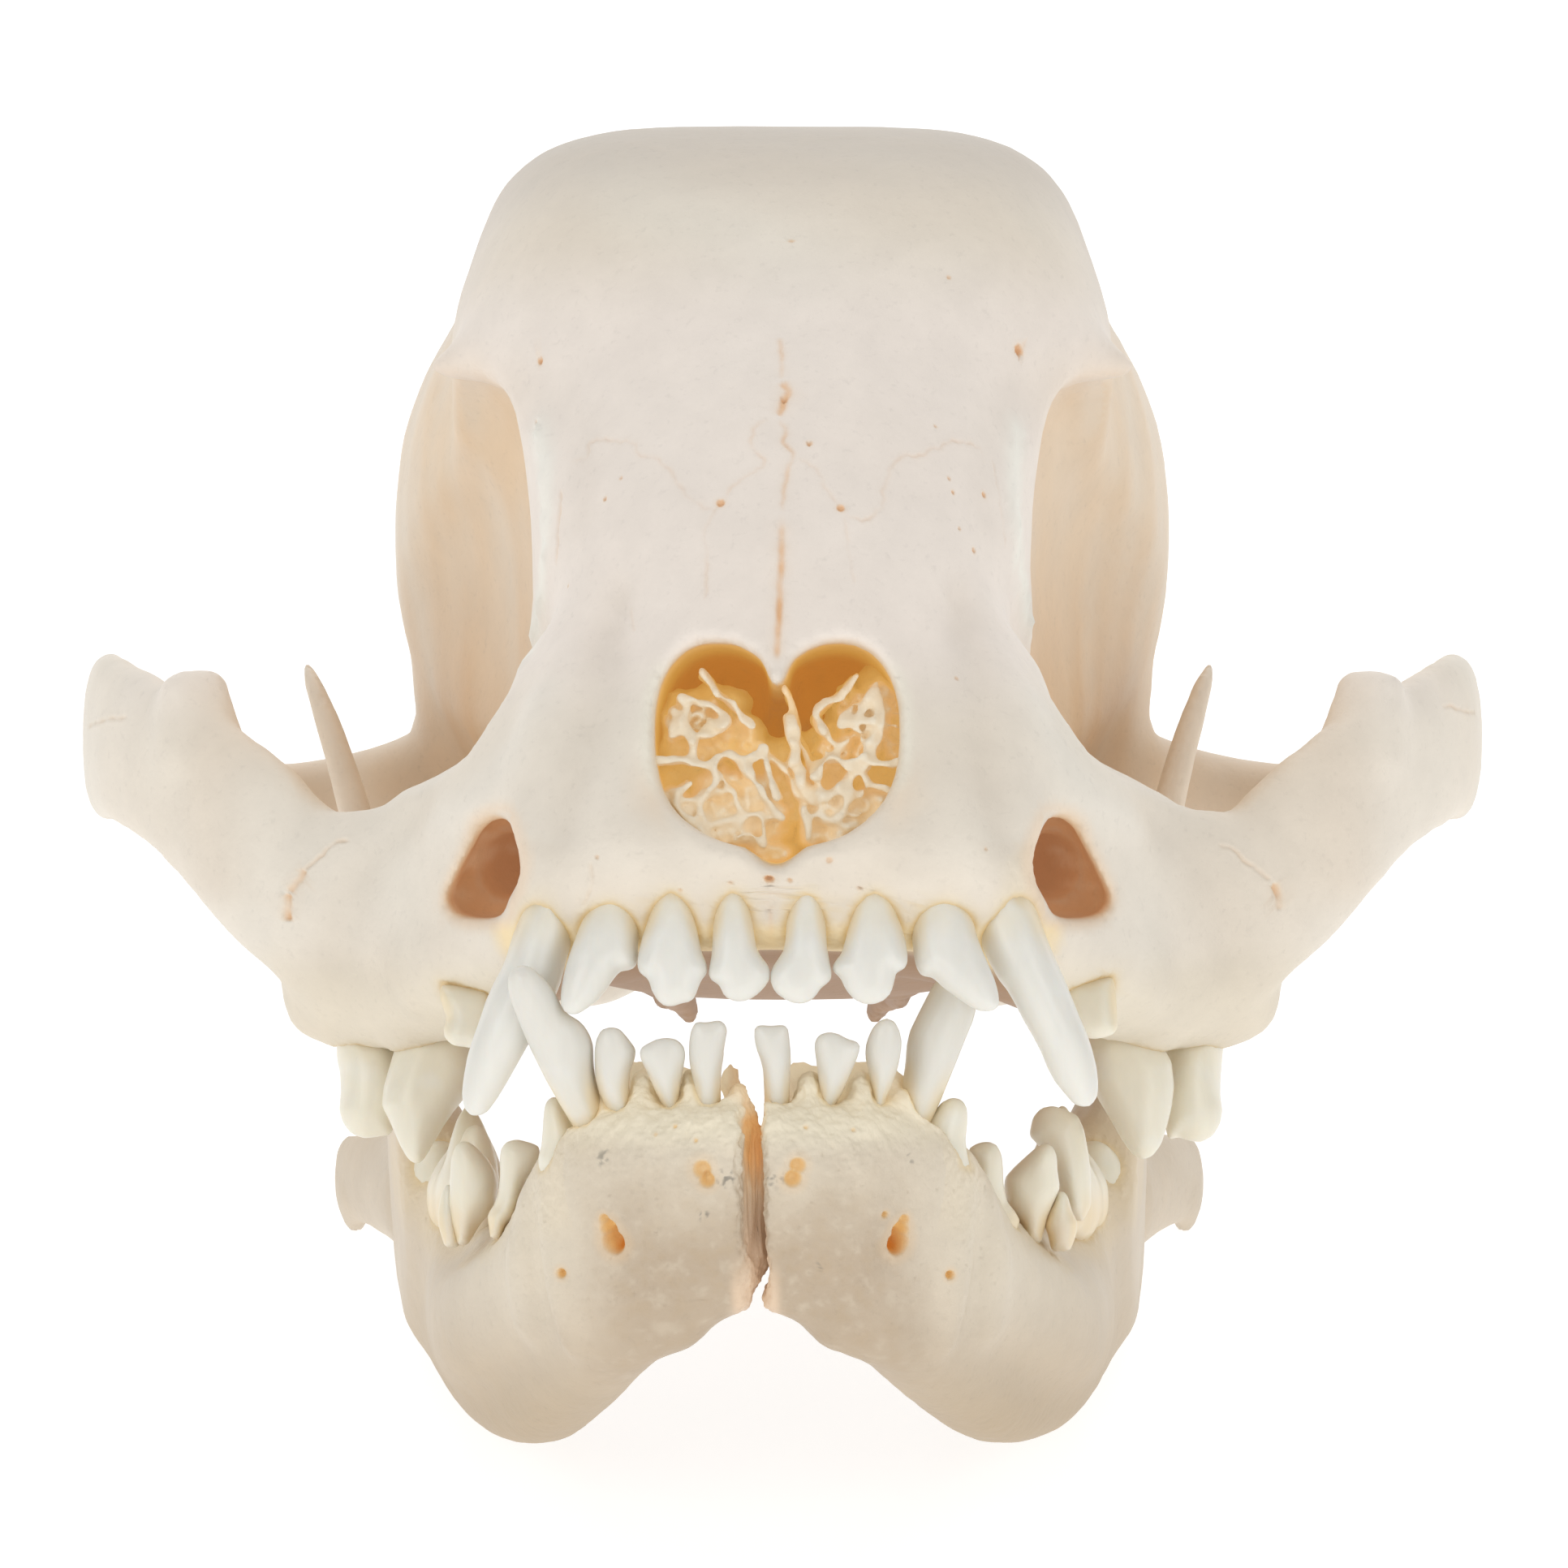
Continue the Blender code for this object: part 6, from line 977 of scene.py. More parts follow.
def tooth_tint(S, gum, way, cheek=False):
    """Cream where the root leaves the bone, white enamel beyond, faint stains in the hollows, and painted warm shade on
    the sides of the necks, where the teeth stand close. gum: height of the neck. way: -1 for upper teeth, 1 for lower.
    """
    V = S.V
    t = (V[:, 2] - gum)*way
    C = np.tile(rgb(238, 232, 214) if cheek else ENAMEL, (len(V), 1))
    C = mix(C, ROOT, smooth(3.2, 0.0, t + 0.8*noise(V, 0.5, 2)) * (0.45 if not cheek else 0.6))
    C = mix(C, STAIN, smooth(0.2, -1.0, t + 0.5*noise(V, 1.1, 4))*(0.5 if not cheek else 0.2))
    C = mix(C, rgb(238, 238, 234), smooth(0.1, 0.6, noise(V, 0.45, 8))*0.35)
    if way > 0 and not cheek: C = mix(C, rgb(214, 209, 198), np.full(len(V), 0.32))
    if way > 0 and cheek: C = mix(C, rgb(233, 220, 198), smooth(3.4, 0.8, t + 0.5*noise(V, 0.5, 12))*0.9)
    # painted shade: warm amber on the sides of the necks, where the teeth stand close
    return mix(C, rgb(238, 212, 158), smooth(0.45, 0.95, np.abs(S.normals()[:, 0]))*smooth(4.6, 0.6, t + 0.6*noise(V, 0.7, 5))*0.55)

front_S = {g: tooth_skins(table, None) for g, table in FRONT.items()}
upper_back_S, lower_back_S = tooth_skins(upper_back(), None), tooth_skins(lower_back(), None)

def field_of(fields):
    """Distance to the nearest of some teeth, for points of the bone."""
    def d(P):
        best = np.full(len(P), 8.0)
        for F in fields:
            lo, hi = F.bounds(1.5)
            m = ((P > lo) & (P < hi)).all(1)
            if m.any(): best[m] = np.minimum(best[m], F.at(P[m]))
        return best
    return d

upper_fields = [F for g in ("upper_left", "upper_right") for F in FRONT[g].values()] + [Leant(F, s, cranium_lean) for s in ("left", "right") for F in upper_back().values()]
lower_fields = {s: list(FRONT["lower_" + s].values()) + [Leant(F, s, mandible_lean) for F in lower_back().values()] for s in ("left", "right")}

# ---------------------------------------------------------------- materials
def nodes_of(name):
    m = bpy.data.materials.new(name); m.use_nodes = True
    t = m.node_tree
    return m, t, t.nodes["Principled BSDF"]

def link(t, a, b): t.links.new(a, b)

def bone_material(name, rough=0.5, grain=1.0, fine=0.03, spec=0.3, lit=False):
    """Dry bone: the point tints, fine mottling and tiny pores."""
    m, t, b = nodes_of(name)
    col = t.nodes.new("ShaderNodeAttribute"); col.attribute_name = "tint"
    co = t.nodes.new("ShaderNodeTexCoord")
    n1 = t.nodes.new("ShaderNodeTexNoise"); n1.inputs["Scale"].default_value = 260; n1.inputs["Detail"].default_value = 5; n1.inputs["Roughness"].default_value = 0.62
    n2 = t.nodes.new("ShaderNodeTexNoise"); n2.inputs["Scale"].default_value = 1500; n2.inputs["Detail"].default_value = 4; n2.inputs["Roughness"].default_value = 0.6
    for n in (n1, n2): link(t, co.outputs["Object"], n.inputs["Vector"])
    r1 = t.nodes.new("ShaderNodeMapRange"); r1.inputs["From Min"].default_value = 0.35; r1.inputs["From Max"].default_value = 0.68
    r1.inputs["To Min"].default_value = 1 - fine*1.3; r1.inputs["To Max"].default_value = 1 + fine*0.5
    link(t, n1.outputs["Fac"], r1.inputs["Value"])
    mul = t.nodes.new("ShaderNodeVectorMath"); mul.operation = "SCALE"
    link(t, col.outputs["Color"], mul.inputs[0]); link(t, r1.outputs["Result"], mul.inputs["Scale"])
    pore = t.nodes.new("ShaderNodeMapRange"); pore.inputs["From Min"].default_value = 0.26; pore.inputs["From Max"].default_value = 0.42
    pore.inputs["To Min"].default_value = 0.93; pore.inputs["To Max"].default_value = 1.0
    link(t, n2.outputs["Fac"], pore.inputs["Value"])
    mul2 = t.nodes.new("ShaderNodeVectorMath"); mul2.operation = "SCALE"
    link(t, mul.outputs["Vector"], mul2.inputs[0]); link(t, pore.outputs["Result"], mul2.inputs["Scale"])
    link(t, mul2.outputs["Vector"], b.inputs["Base Color"])
    ro = t.nodes.new("ShaderNodeMapRange"); ro.inputs["To Min"].default_value = rough - 0.08; ro.inputs["To Max"].default_value = rough + 0.10
    link(t, n1.outputs["Fac"], ro.inputs["Value"]); link(t, ro.outputs["Result"], b.inputs["Roughness"])
    bu = t.nodes.new("ShaderNodeBump"); bu.inputs["Strength"].default_value = 0.35*grain; bu.inputs["Distance"].default_value = 0.00012
    bu2 = t.nodes.new("ShaderNodeBump"); bu2.inputs["Strength"].default_value = 0.5*grain; bu2.inputs["Distance"].default_value = 0.00025
    link(t, n2.outputs["Fac"], bu.inputs["Height"]); link(t, n1.outputs["Fac"], bu2.inputs["Height"])
    link(t, bu2.outputs["Normal"], bu.inputs["Normal"]); link(t, bu.outputs["Normal"], b.inputs["Normal"])
    b.inputs["Specular IOR Level"].default_value = spec
    if lit:                               # painted light: the point attribute glow makes the surface shine with its own tint, in the nose, the canals and shaded gaps
        g = t.nodes.new("ShaderNodeAttribute"); g.attribute_name = "glow"
        link(t, mul2.outputs["Vector"], b.inputs["Emission Color"]); link(t, g.outputs["Fac"], b.inputs["Emission Strength"])
        m.cycles.emission_sampling = "NONE"
    return m

def enamel_material(name):
    """Tooth: point tints, faint streaks along it, a soft gloss and more depth than bone."""
    m, t, b = nodes_of(name)
    col = t.nodes.new("ShaderNodeAttribute"); col.attribute_name = "tint"
    co = t.nodes.new("ShaderNodeTexCoord")
    mp = t.nodes.new("ShaderNodeMapping"); mp.inputs["Scale"].default_value = (900, 900, 120)
    n1 = t.nodes.new("ShaderNodeTexNoise"); n1.inputs["Scale"].default_value = 1.0; n1.inputs["Detail"].default_value = 4
    link(t, co.outputs["Object"], mp.inputs["Vector"]); link(t, mp.outputs["Vector"], n1.inputs["Vector"])
    r1 = t.nodes.new("ShaderNodeMapRange"); r1.inputs["From Min"].default_value = 0.3; r1.inputs["From Max"].default_value = 0.7
    r1.inputs["To Min"].default_value = 0.965; r1.inputs["To Max"].default_value = 1.015
    link(t, n1.outputs["Fac"], r1.inputs["Value"])
    mul = t.nodes.new("ShaderNodeVectorMath"); mul.operation = "SCALE"
    link(t, col.outputs["Color"], mul.inputs[0]); link(t, r1.outputs["Result"], mul.inputs["Scale"])
    link(t, mul.outputs["Vector"], b.inputs["Base Color"])
    ro = t.nodes.new("ShaderNodeMapRange"); ro.inputs["To Min"].default_value = 0.24; ro.inputs["To Max"].default_value = 0.38
    link(t, n1.outputs["Fac"], ro.inputs["Value"]); link(t, ro.outputs["Result"], b.inputs["Roughness"])
    bu = t.nodes.new("ShaderNodeBump"); bu.inputs["Strength"].default_value = 0.12; bu.inputs["Distance"].default_value = 0.0001
    link(t, n1.outputs["Fac"], bu.inputs["Height"]); link(t, bu.outputs["Normal"], b.inputs["Normal"])
    b.inputs["Subsurface Weight"].default_value = 0.25; b.inputs["Subsurface Radius"].default_value = (1.0, 0.8, 0.6); b.inputs["Subsurface Scale"].default_value = 0.0014
    b.inputs["Specular IOR Level"].default_value = 0.5
    return m

# the bone materials shine with painted light where the point attribute glow asks; the jaw's has coarser grain
bone_m = bone_material("dry_bone", lit=True)
jaw_m = bone_material("jaw_bone_grain_and_painted_glow", grain=1.3, lit=True)
leaf_m = bone_material("nose_leaves", rough=0.6, grain=0.6, fine=0.04, lit=True)
tooth_m = enamel_material("tooth_enamel")

# ---------------------------------------------------------------- the cranium
CELL = 0.52

def infield(parts, P, lean):
    """Distance to a union of cutters, mirrored about the leaning middle plane."""
    x = np.abs(P[:, 0] - lean(P[:, 1], P[:, 2]))
    d = np.full(len(P), 8.0)
    for f in parts: d = np.minimum(d, f(x, P[:, 1], P[:, 2]))
    return d

def hollows(S):
    """How far the skin bends at each point, in 1/mm: above 0 in hollows, below 0 on edges."""
    V, N = S.V, S.normals()
    E, _ = S.edges()
    deg = np.bincount(E.ravel(), minlength=len(V))
    bend = sum(((np.bincount(E[:, 0], V[E[:, 1], k], len(V)) + np.bincount(E[:, 1], V[E[:, 0], k], len(V)))/deg - V[:, k])*N[:, k] for k in range(3))
    L2 = ((V[E[:, 0]] - V[E[:, 1]])**2).sum(1)
    spread = np.bincount(E.ravel(), np.repeat(L2, 2), len(V))/deg
    return 2*bend/(spread + 1e-9)

S = skin_of(cranium(), CELL, mirror=True, lean=cranium_lean, blur=1).largest().ease(2)
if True: S = thinned(S, 120000)
land = caster(S)
lines = [(draw(land, path, wig, 1.0, i*2.3), w, d, st) for i, (path, w, d, wig, st) in enumerate(SUTURES)]
pits = [(land(*p), r, d, st) for p, r, d, st in PITS]
pits = [q for q in pits if q[0] is not None]
to_tooth = field_of(upper_fields)
nose_parts = [f for f, k in NOSE]
canal_parts = [f for f, k in CANAL]
fine_points = np.vstack([l for l, w, d, st in lines if len(l)] + [p[0][None] for p in pits])

def close_to_detail(reach):
    def f(M, L, limit):
        d, _ = near(M, fine_points, reach)
        return (d < reach) & (L > limit)
    return f

for limit, reach in ((0.42, 1.1), (0.26, 0.7), (0.16, 0.45)):
    S.refine(lambda M, L: close_to_detail(reach)(M, L, limit))
for limit in (0.4, 0.24):
    def at_gum(M, L):
        z = np.zeros(len(M), bool); c = np.flatnonzero((M[:, 2] < -4) & (M[:, 1] < 58) & (L > limit))
        if len(c): z[c] = np.abs(to_tooth(M[c])) < (0.9 if limit > 0.3 else 0.5)
        return z
    S.refine(at_gum)
S.ease(1, 0.4)

V, N = S.V.copy(), S.normals()
hollow = evened(S, np.clip(hollows(S), -1.5, 1.5), 3)

d_orbit = infield([ORBIT], V, cranium_lean)
d_nose = infield(nose_parts, V, cranium_lean)
d_canal = infield(canal_parts, V, cranium_lean)
d_gum = np.full(len(V), 8.0)
c = np.flatnonzero((V[:, 2] < -4) & (V[:, 1] < 58)); d_gum[c] = to_tooth(V[c])
in_nose = smooth(0.9, -0.2, d_nose) * smooth(1.0, 2.6, V[:, 1] - rim(V[:, 2]) + 1.6)
deep = V[:, 1] - rim(V[:, 2])
in_canal = smooth(0.7, -0.1, d_canal) * smooth(-10.2, -9.2, V[:, 2] + 0*V[:, 1]) * (V[:, 1] > 12)
in_orbit = smooth(2.2, 0.2, d_orbit)
ax = np.abs(V[:, 0] - cranium_lean(V[:, 1], V[:, 2]))
# the side walls behind the rim of the orbit, not the brow above them and not the arch
wall = smooth(33, 46, V[:, 1])*smooth(14, 19, ax)*smooth(38.5, 34.5, ax)*smooth(35 + 0.16*(V[:, 1] - 44), 27 + 0.16*(V[:, 1] - 44), V[:, 2])*smooth(0.12, 0.55, np.abs(N[:, 0]))*smooth(98, 66, V[:, 1] + 6*noise(V, 0.05, 61))
streak = noise(np.stack([V[:, 0]*0.8, V[:, 1]*0.42, V[:, 2]*0.07 + V[:, 1]*0.05], 1), 0.55, 9)
# relief
D = 0.10*rough(V, 0.16, 3, 1) + 0.028*rough(V, 0.9, 3, 2)
D += np.maximum(wall, 0.5*in_orbit)*(0.38*streak + 0.10*noise(np.stack([V[:, 0]*0.9, V[:, 1]*0.3, V[:, 2]*0.1 + V[:, 1]*0.10], 1), 1.0, 5))
fold_shade_and_highlight = np.zeros(len(V))
for path, w, dep in FOLDS:
    l = draw(land, path, 3, 1.0, 5.0, 12)
    if len(l):
        h = np.exp(-(near(V, l, 3*w)[0]/w)**2); D -= dep*h; fold_shade_and_highlight = fold_shade_and_highlight + dep*h
crust = np.zeros(len(V))
for path, w in CRUSTS:
    l = draw(land, path, 4, 1.0, 7.0, 6)
    if len(l): crust = np.maximum(crust, np.exp(-(near(V, l, 2.6*w)[0]/w)**2))
crust *= smooth(46, 42, V[:, 1])
D += crust*(0.20 + 0.75*rough(V, 0.8, 3, 31))
edge = np.exp(-((d_nose - 0.55)/0.5)**2)*smooth(1.9, 0.5, np.abs(deep))*(V[:, 1] < 24)        # the raised rim of the nose
D += edge*(0.12 + 0.12*noise(V, 1.2, 33))
gum_band = smooth(3.2, 0.6, d_gum)*(1 - in_nose)
D += gum_band*(0.10*rough(V, 1.6, 3, 3))
D -= 0.18*np.exp(-(np.maximum(d_gum, 0)/0.30)**2)*(d_gum > -0.4)
stain = np.zeros(len(V)); slot = np.zeros(len(V))
for l, w, dep, st in lines:
    if not len(l): continue
    d, which = near(V, l, 1.6)
    s = which/max(1, len(l) - 1)
    ends = smooth(0, 0.12, s)*smooth(1, 0.88, s)
    patch = np.clip(0.75 + 1.1*noise(V, 0.8, 12), 0.15, 1.15)
    D -= dep*np.exp(-(d/w)**2)*ends*patch
    D += 0.25*dep*np.exp(-((d - 2.2*w)/w)**2)*ends
    stain = np.maximum(stain, st*np.exp(-(d/(w*1.15))**2)*ends*patch)
    slot = np.maximum(slot, st*0.35*np.exp(-(d/(w*3.2))**2)*ends*patch)
for p, r, dep, st in pits:
    d, _ = near(V, p[None], 2.5*r)
    D -= dep*smooth(r, r*0.35, d); stain = np.maximum(stain, st*smooth(r*1.15, r*0.75, d)); slot = np.maximum(slot, 0.3*st*smooth(r*2.2, r, d))
S.V = V + N*D[:, None]

# tints
C = np.tile(BONE, (len(V), 1))
C = mix(C, WARM, smooth(-0.25, 0.5, noise(V, 0.055, 3))*0.35)
C = mix(C, PALE, smooth(-0.1, 0.6, noise(V, 0.09, 6))*0.4)
# painted light and shade: lighter on the forehead, which faces the front lamps, and darker over the top of the head,
# which turns away from them
C = mix(C, rgb(245, 235, 226), smooth(3, 11, V[:, 2])*smooth(42, 33, V[:, 2])*smooth(56, 46, V[:, 1])*0.8)
C = mix(C, rgb(220, 209, 196), smooth(28, 40, V[:, 2])*smooth(40, 56, V[:, 1])*0.85)
C = mix(C, rgb(203, 193, 180), smooth(40, 50, V[:, 2])*0.85)
C = mix(C, WARM, gum_band*0.2)
C = mix(C, rgb(236, 212, 182), wall*np.clip(0.75 + 0.6*streak, 0.3, 1))
C = mix(C, rgb(230, 196, 156), wall*smooth(20, 6, V[:, 2])*np.clip(0.6 + 1.2*streak, 0, 1)*0.8)
low = smooth(33, 46, V[:, 1])*smooth(14, 19, ax)*smooth(46, 40, ax)*smooth(9, 1, V[:, 2])*smooth(-10, -7, V[:, 2])      # the hollow behind the lower rim of the orbit
C = mix(C, rgb(226, 198, 166), low*0.55)
C = mix(C, rgb(242, 234, 214), smooth(-11, -16.5, V[:, 2] + 1.2*noise(V, 0.4, 52))*smooth(18, 21, ax)*(V[:, 1] < 60)*0.7)
C = mix(C, rgb(247, 245, 235), crust*0.9)
# painted shade in the furrows of the face and painted highlight on its ridges
C = mix(C, rgb(214, 201, 184), np.clip(fold_shade_and_highlight, 0, 1)*0.35)
C = mix(C, rgb(243, 238, 228), np.clip(-fold_shade_and_highlight, 0, 1)*0.8)
inside = smooth(9.2, 10.4, V[:, 1])*smooth(-8.4, -9.6, V[:, 2])*smooth(17.5, 16, ax)*(V[:, 1] < 44)*smooth(0.2, -0.1, -N[:, 1])      # the back of the upper jaw's edge and the palate
# warmer and darker there: partly the porous bone's own colour, partly painted shade
C = mix(C, rgb(222, 190, 152), inside*0.8)
C = mix(C, rgb(184, 148, 116), smooth(12, 16, V[:, 1])*smooth(92, 80, V[:, 1])*smooth(-9.5, -11, V[:, 2])*smooth(20, 16.5, ax)*0.95)      # the shaded roof of the mouth
lip = smooth(-9.4, -10.6, V[:, 2])*smooth(15, 13, V[:, 1])*(1 - inside)      # the porous edge between the necks
C = mix(C, rgb(242, 218, 168), lip*0.8)
C = mix(C, rgb(238, 222, 190), smooth(1.1, 0.2, d_gum)*0.45)
# painted shade: a warm dark line in the crevice where bone meets tooth
C = mix(C, rgb(230, 198, 132), np.exp(-(np.maximum(d_gum, 0)/0.24)**2)*0.7)
C = mix(C, rgb(240, 206, 168), smooth(1.3, 0.3, d_canal)*(1 - in_canal)*smooth(-12, -10, V[:, 2])*(V[:, 1] < 26)*0.4)
# inside the canal: warm cream near its mouth and darker brown deeper in, which is painted shade, with paler layers
C = mix(C, rgb(243, 218, 186), in_canal*smooth(0.2, 1.6, V[:, 1] - 15.5))
layer = noise(np.stack([V[:, 0]*0.12, V[:, 1]*0.25, V[:, 2] + 0.15*V[:, 0]], 1), 0.9, 41)
C = mix(C, rgb(222, 182, 140), in_canal*smooth(18, 23, V[:, 1] + 2.6*layer))
C = mix(C, rgb(244, 226, 200), in_canal*smooth(0.05, 0.5, layer)*smooth(17, 20, V[:, 1])*0.6)
C = mix(C, rgb(246, 222, 192), smooth(2.6, 0.5, d_nose)*(1 - in_nose)*smooth(7, 9, ax)*smooth(3, -1, V[:, 2])*(V[:, 1] < 24)*0.45)
C = mix(C, rgb(244, 238, 222), edge*0.8)
C = mix(C, rgb(210, 196, 176), smooth(-11, -15, V[:, 2])*smooth(22, 28, ax)*smooth(46, 40, V[:, 1])*0.42*(1 - in_canal))
# inside the nose: cream at the rim, then amber, then darker orange further in: the thin bone's own amber, and painted
# shade with depth
C = mix(C, rgb(240, 214, 168), in_nose*smooth(-0.3, 1.0, deep))
C = mix(C, AMBER, in_nose*smooth(0.8, 4.0, deep))
C = mix(C, DEEP, in_nose*smooth(4.0, 10.0, deep))
C = mix(C, rgb(210, 160, 80), in_nose*smooth(9.0, 14.0, deep))
C = mix(C, rgb(236, 204, 164), slot*0.55)
C = mix(C, RUST, stain*0.62)
# painted shade: darker in the hollows of the surface
C = mix(C, rgb(216, 199, 170), smooth(0.15, 0.9, hollow)*0.2*(1 - in_nose))
# painted light: a glow, emitted by the material, in the nose, on the porous edge between the tooth necks, behind the
# upper jaw's edge and deep in the canals
glow = np.maximum(np.maximum(in_nose*smooth(0.0, 4.0, deep)*0.30, np.maximum(lip*0.10, inside*smooth(16, 12, V[:, 1])*0.06)), in_canal*smooth(16, 22, V[:, 1])*0.13)
cranium_bone = put("cranium_bone", S, C, bone_m, extra={"glow": glow})
print("cranium triangles", len(S.T))

# ---------------------------------------------------------------- the leaves of the nose
L = nose_skin(lambda P: infield(nose_parts, P, cranium_lean), 0.17)
L = without_crumbs(L, 40).ease(1)
L = thinned(L, 150000)
print("nose triangles", len(L.T))
dep = L.V[:, 1] - rim(L.V[:, 2]) + 0.5*noise(L.V, 1.1, 3)
crest_highlight = smooth(0.3, 1.6, -evened(L, np.clip(hollows(L), -4, 4), 2))
LC = np.tile(rgb(241, 224, 196), (len(L.V), 1))
# deeper in, the leaves turn amber and then darker: their own amber, and painted shade with depth
LC = mix(LC, rgb(232, 206, 160), smooth(1.2, 3.4, dep))
LC = mix(LC, AMBER, smooth(3.2, 6.0, dep)*0.9)
# painted highlight: lighter on the thin crests of the leaves
LC = mix(LC, rgb(248, 240, 222), crest_highlight*smooth(5.5, 2.0, dep)*(0.16 + 0.4*smooth(-0.25, 0.4, noise(L.V, 0.28, 21))))
LC = mix(LC, DEEP, smooth(6.0, 13.0, dep)*0.9)
LC = mix(LC, rgb(228, 200, 150), smooth(0.1, 0.5, noise(L.V, 0.5, 14))*smooth(0.4, 1.6, dep)*0.3)
# painted light: the leaves glow, more strongly deeper in
nose_leaves = put("nose_leaves", L, LC, leaf_m, extra={"glow": 0.05 + 0.2*smooth(0.6, 4.0, dep)})

# ---------------------------------------------------------------- teeth as pieces
def piece(name, list_of, gum, way, cheek=False):
    J = joined(list_of)
    return put(name, J, tooth_tint(J, gum, way, cheek), tooth_m)

def some(group, names): return [front_S[group][k] for k in names]
made = []
made.append(piece("upper_incisors", some("upper_left", ("I1", "I2", "I3")) + some("upper_right", ("I1", "I2", "I3")), -8.4, -1))
made.append(piece("upper_eye_teeth", some("upper_left", ("C",)) + some("upper_right", ("C",)), -8.8, -1))
for s in ("left", "right"):
    made.append(piece("upper_cheek_teeth_" + s, some("upper_" + s, ("P1", "P4", "P4_heel")) + [leant(t, s, cranium_lean) for t in upper_back_S.values()], -15.0, -1, True))
    made.append(piece("lower_front_teeth_" + s, some("lower_" + s, ("i1", "i2", "i3", "c")), -23.4, 1))
    made.append(piece("lower_cheek_teeth_" + s, some("lower_" + s, ("p1", "p2", "p3", "p3_heel", "p4")) + [leant(t, s, mandible_lean) for t in lower_back_S.values()], -33.4, 1, True))

# ---------------------------------------------------------------- the two halves of the lower jaw
JAW_MARKS = {   # camera point, radius mm, depth mm, stain
    "left": [((755, 1530), 1.05, 1.7, 1.0), ((750, 1515), 0.85, 1.1, 1.0), ((744, 1503), 0.5, 0.6, 0.8), ((691, 1569), 0.42, 0.7, 0.9), ((865, 1441), 0.78, 0.7, 0.7), ((871, 1454), 0.66, 0.8, 0.8), ((857, 1405), 0.16, 0.15, 0.7), ((832, 1388), 0.16, 0.15, 0.7), ((808, 1398), 0.15, 0.12, 0.5)],
    "right": [((1107, 1532), 1.0, 1.7, 1.0), ((1110, 1517), 0.82, 1.1, 1.0), ((1115, 1504), 0.5, 0.6, 0.8), ((1171, 1571), 0.40, 0.7, 0.9), ((977, 1452), 0.74, 0.8, 0.8), ((983, 1436), 0.68, 0.7, 0.75), ((1091, 1497), 0.30, 0.4, 0.7), ((993, 1389), 0.16, 0.15, 0.7), ((1052, 1392), 0.15, 0.12, 0.5)]}
JAW_SPECKS = {"left": [((894, 1452), 0.9), ((745, 1428), 0.9), ((868, 1500), 0.6)], "right": [((954, 1452), 0.9), ((1122, 1428), 0.5), ((1010, 1560), 0.5)]}

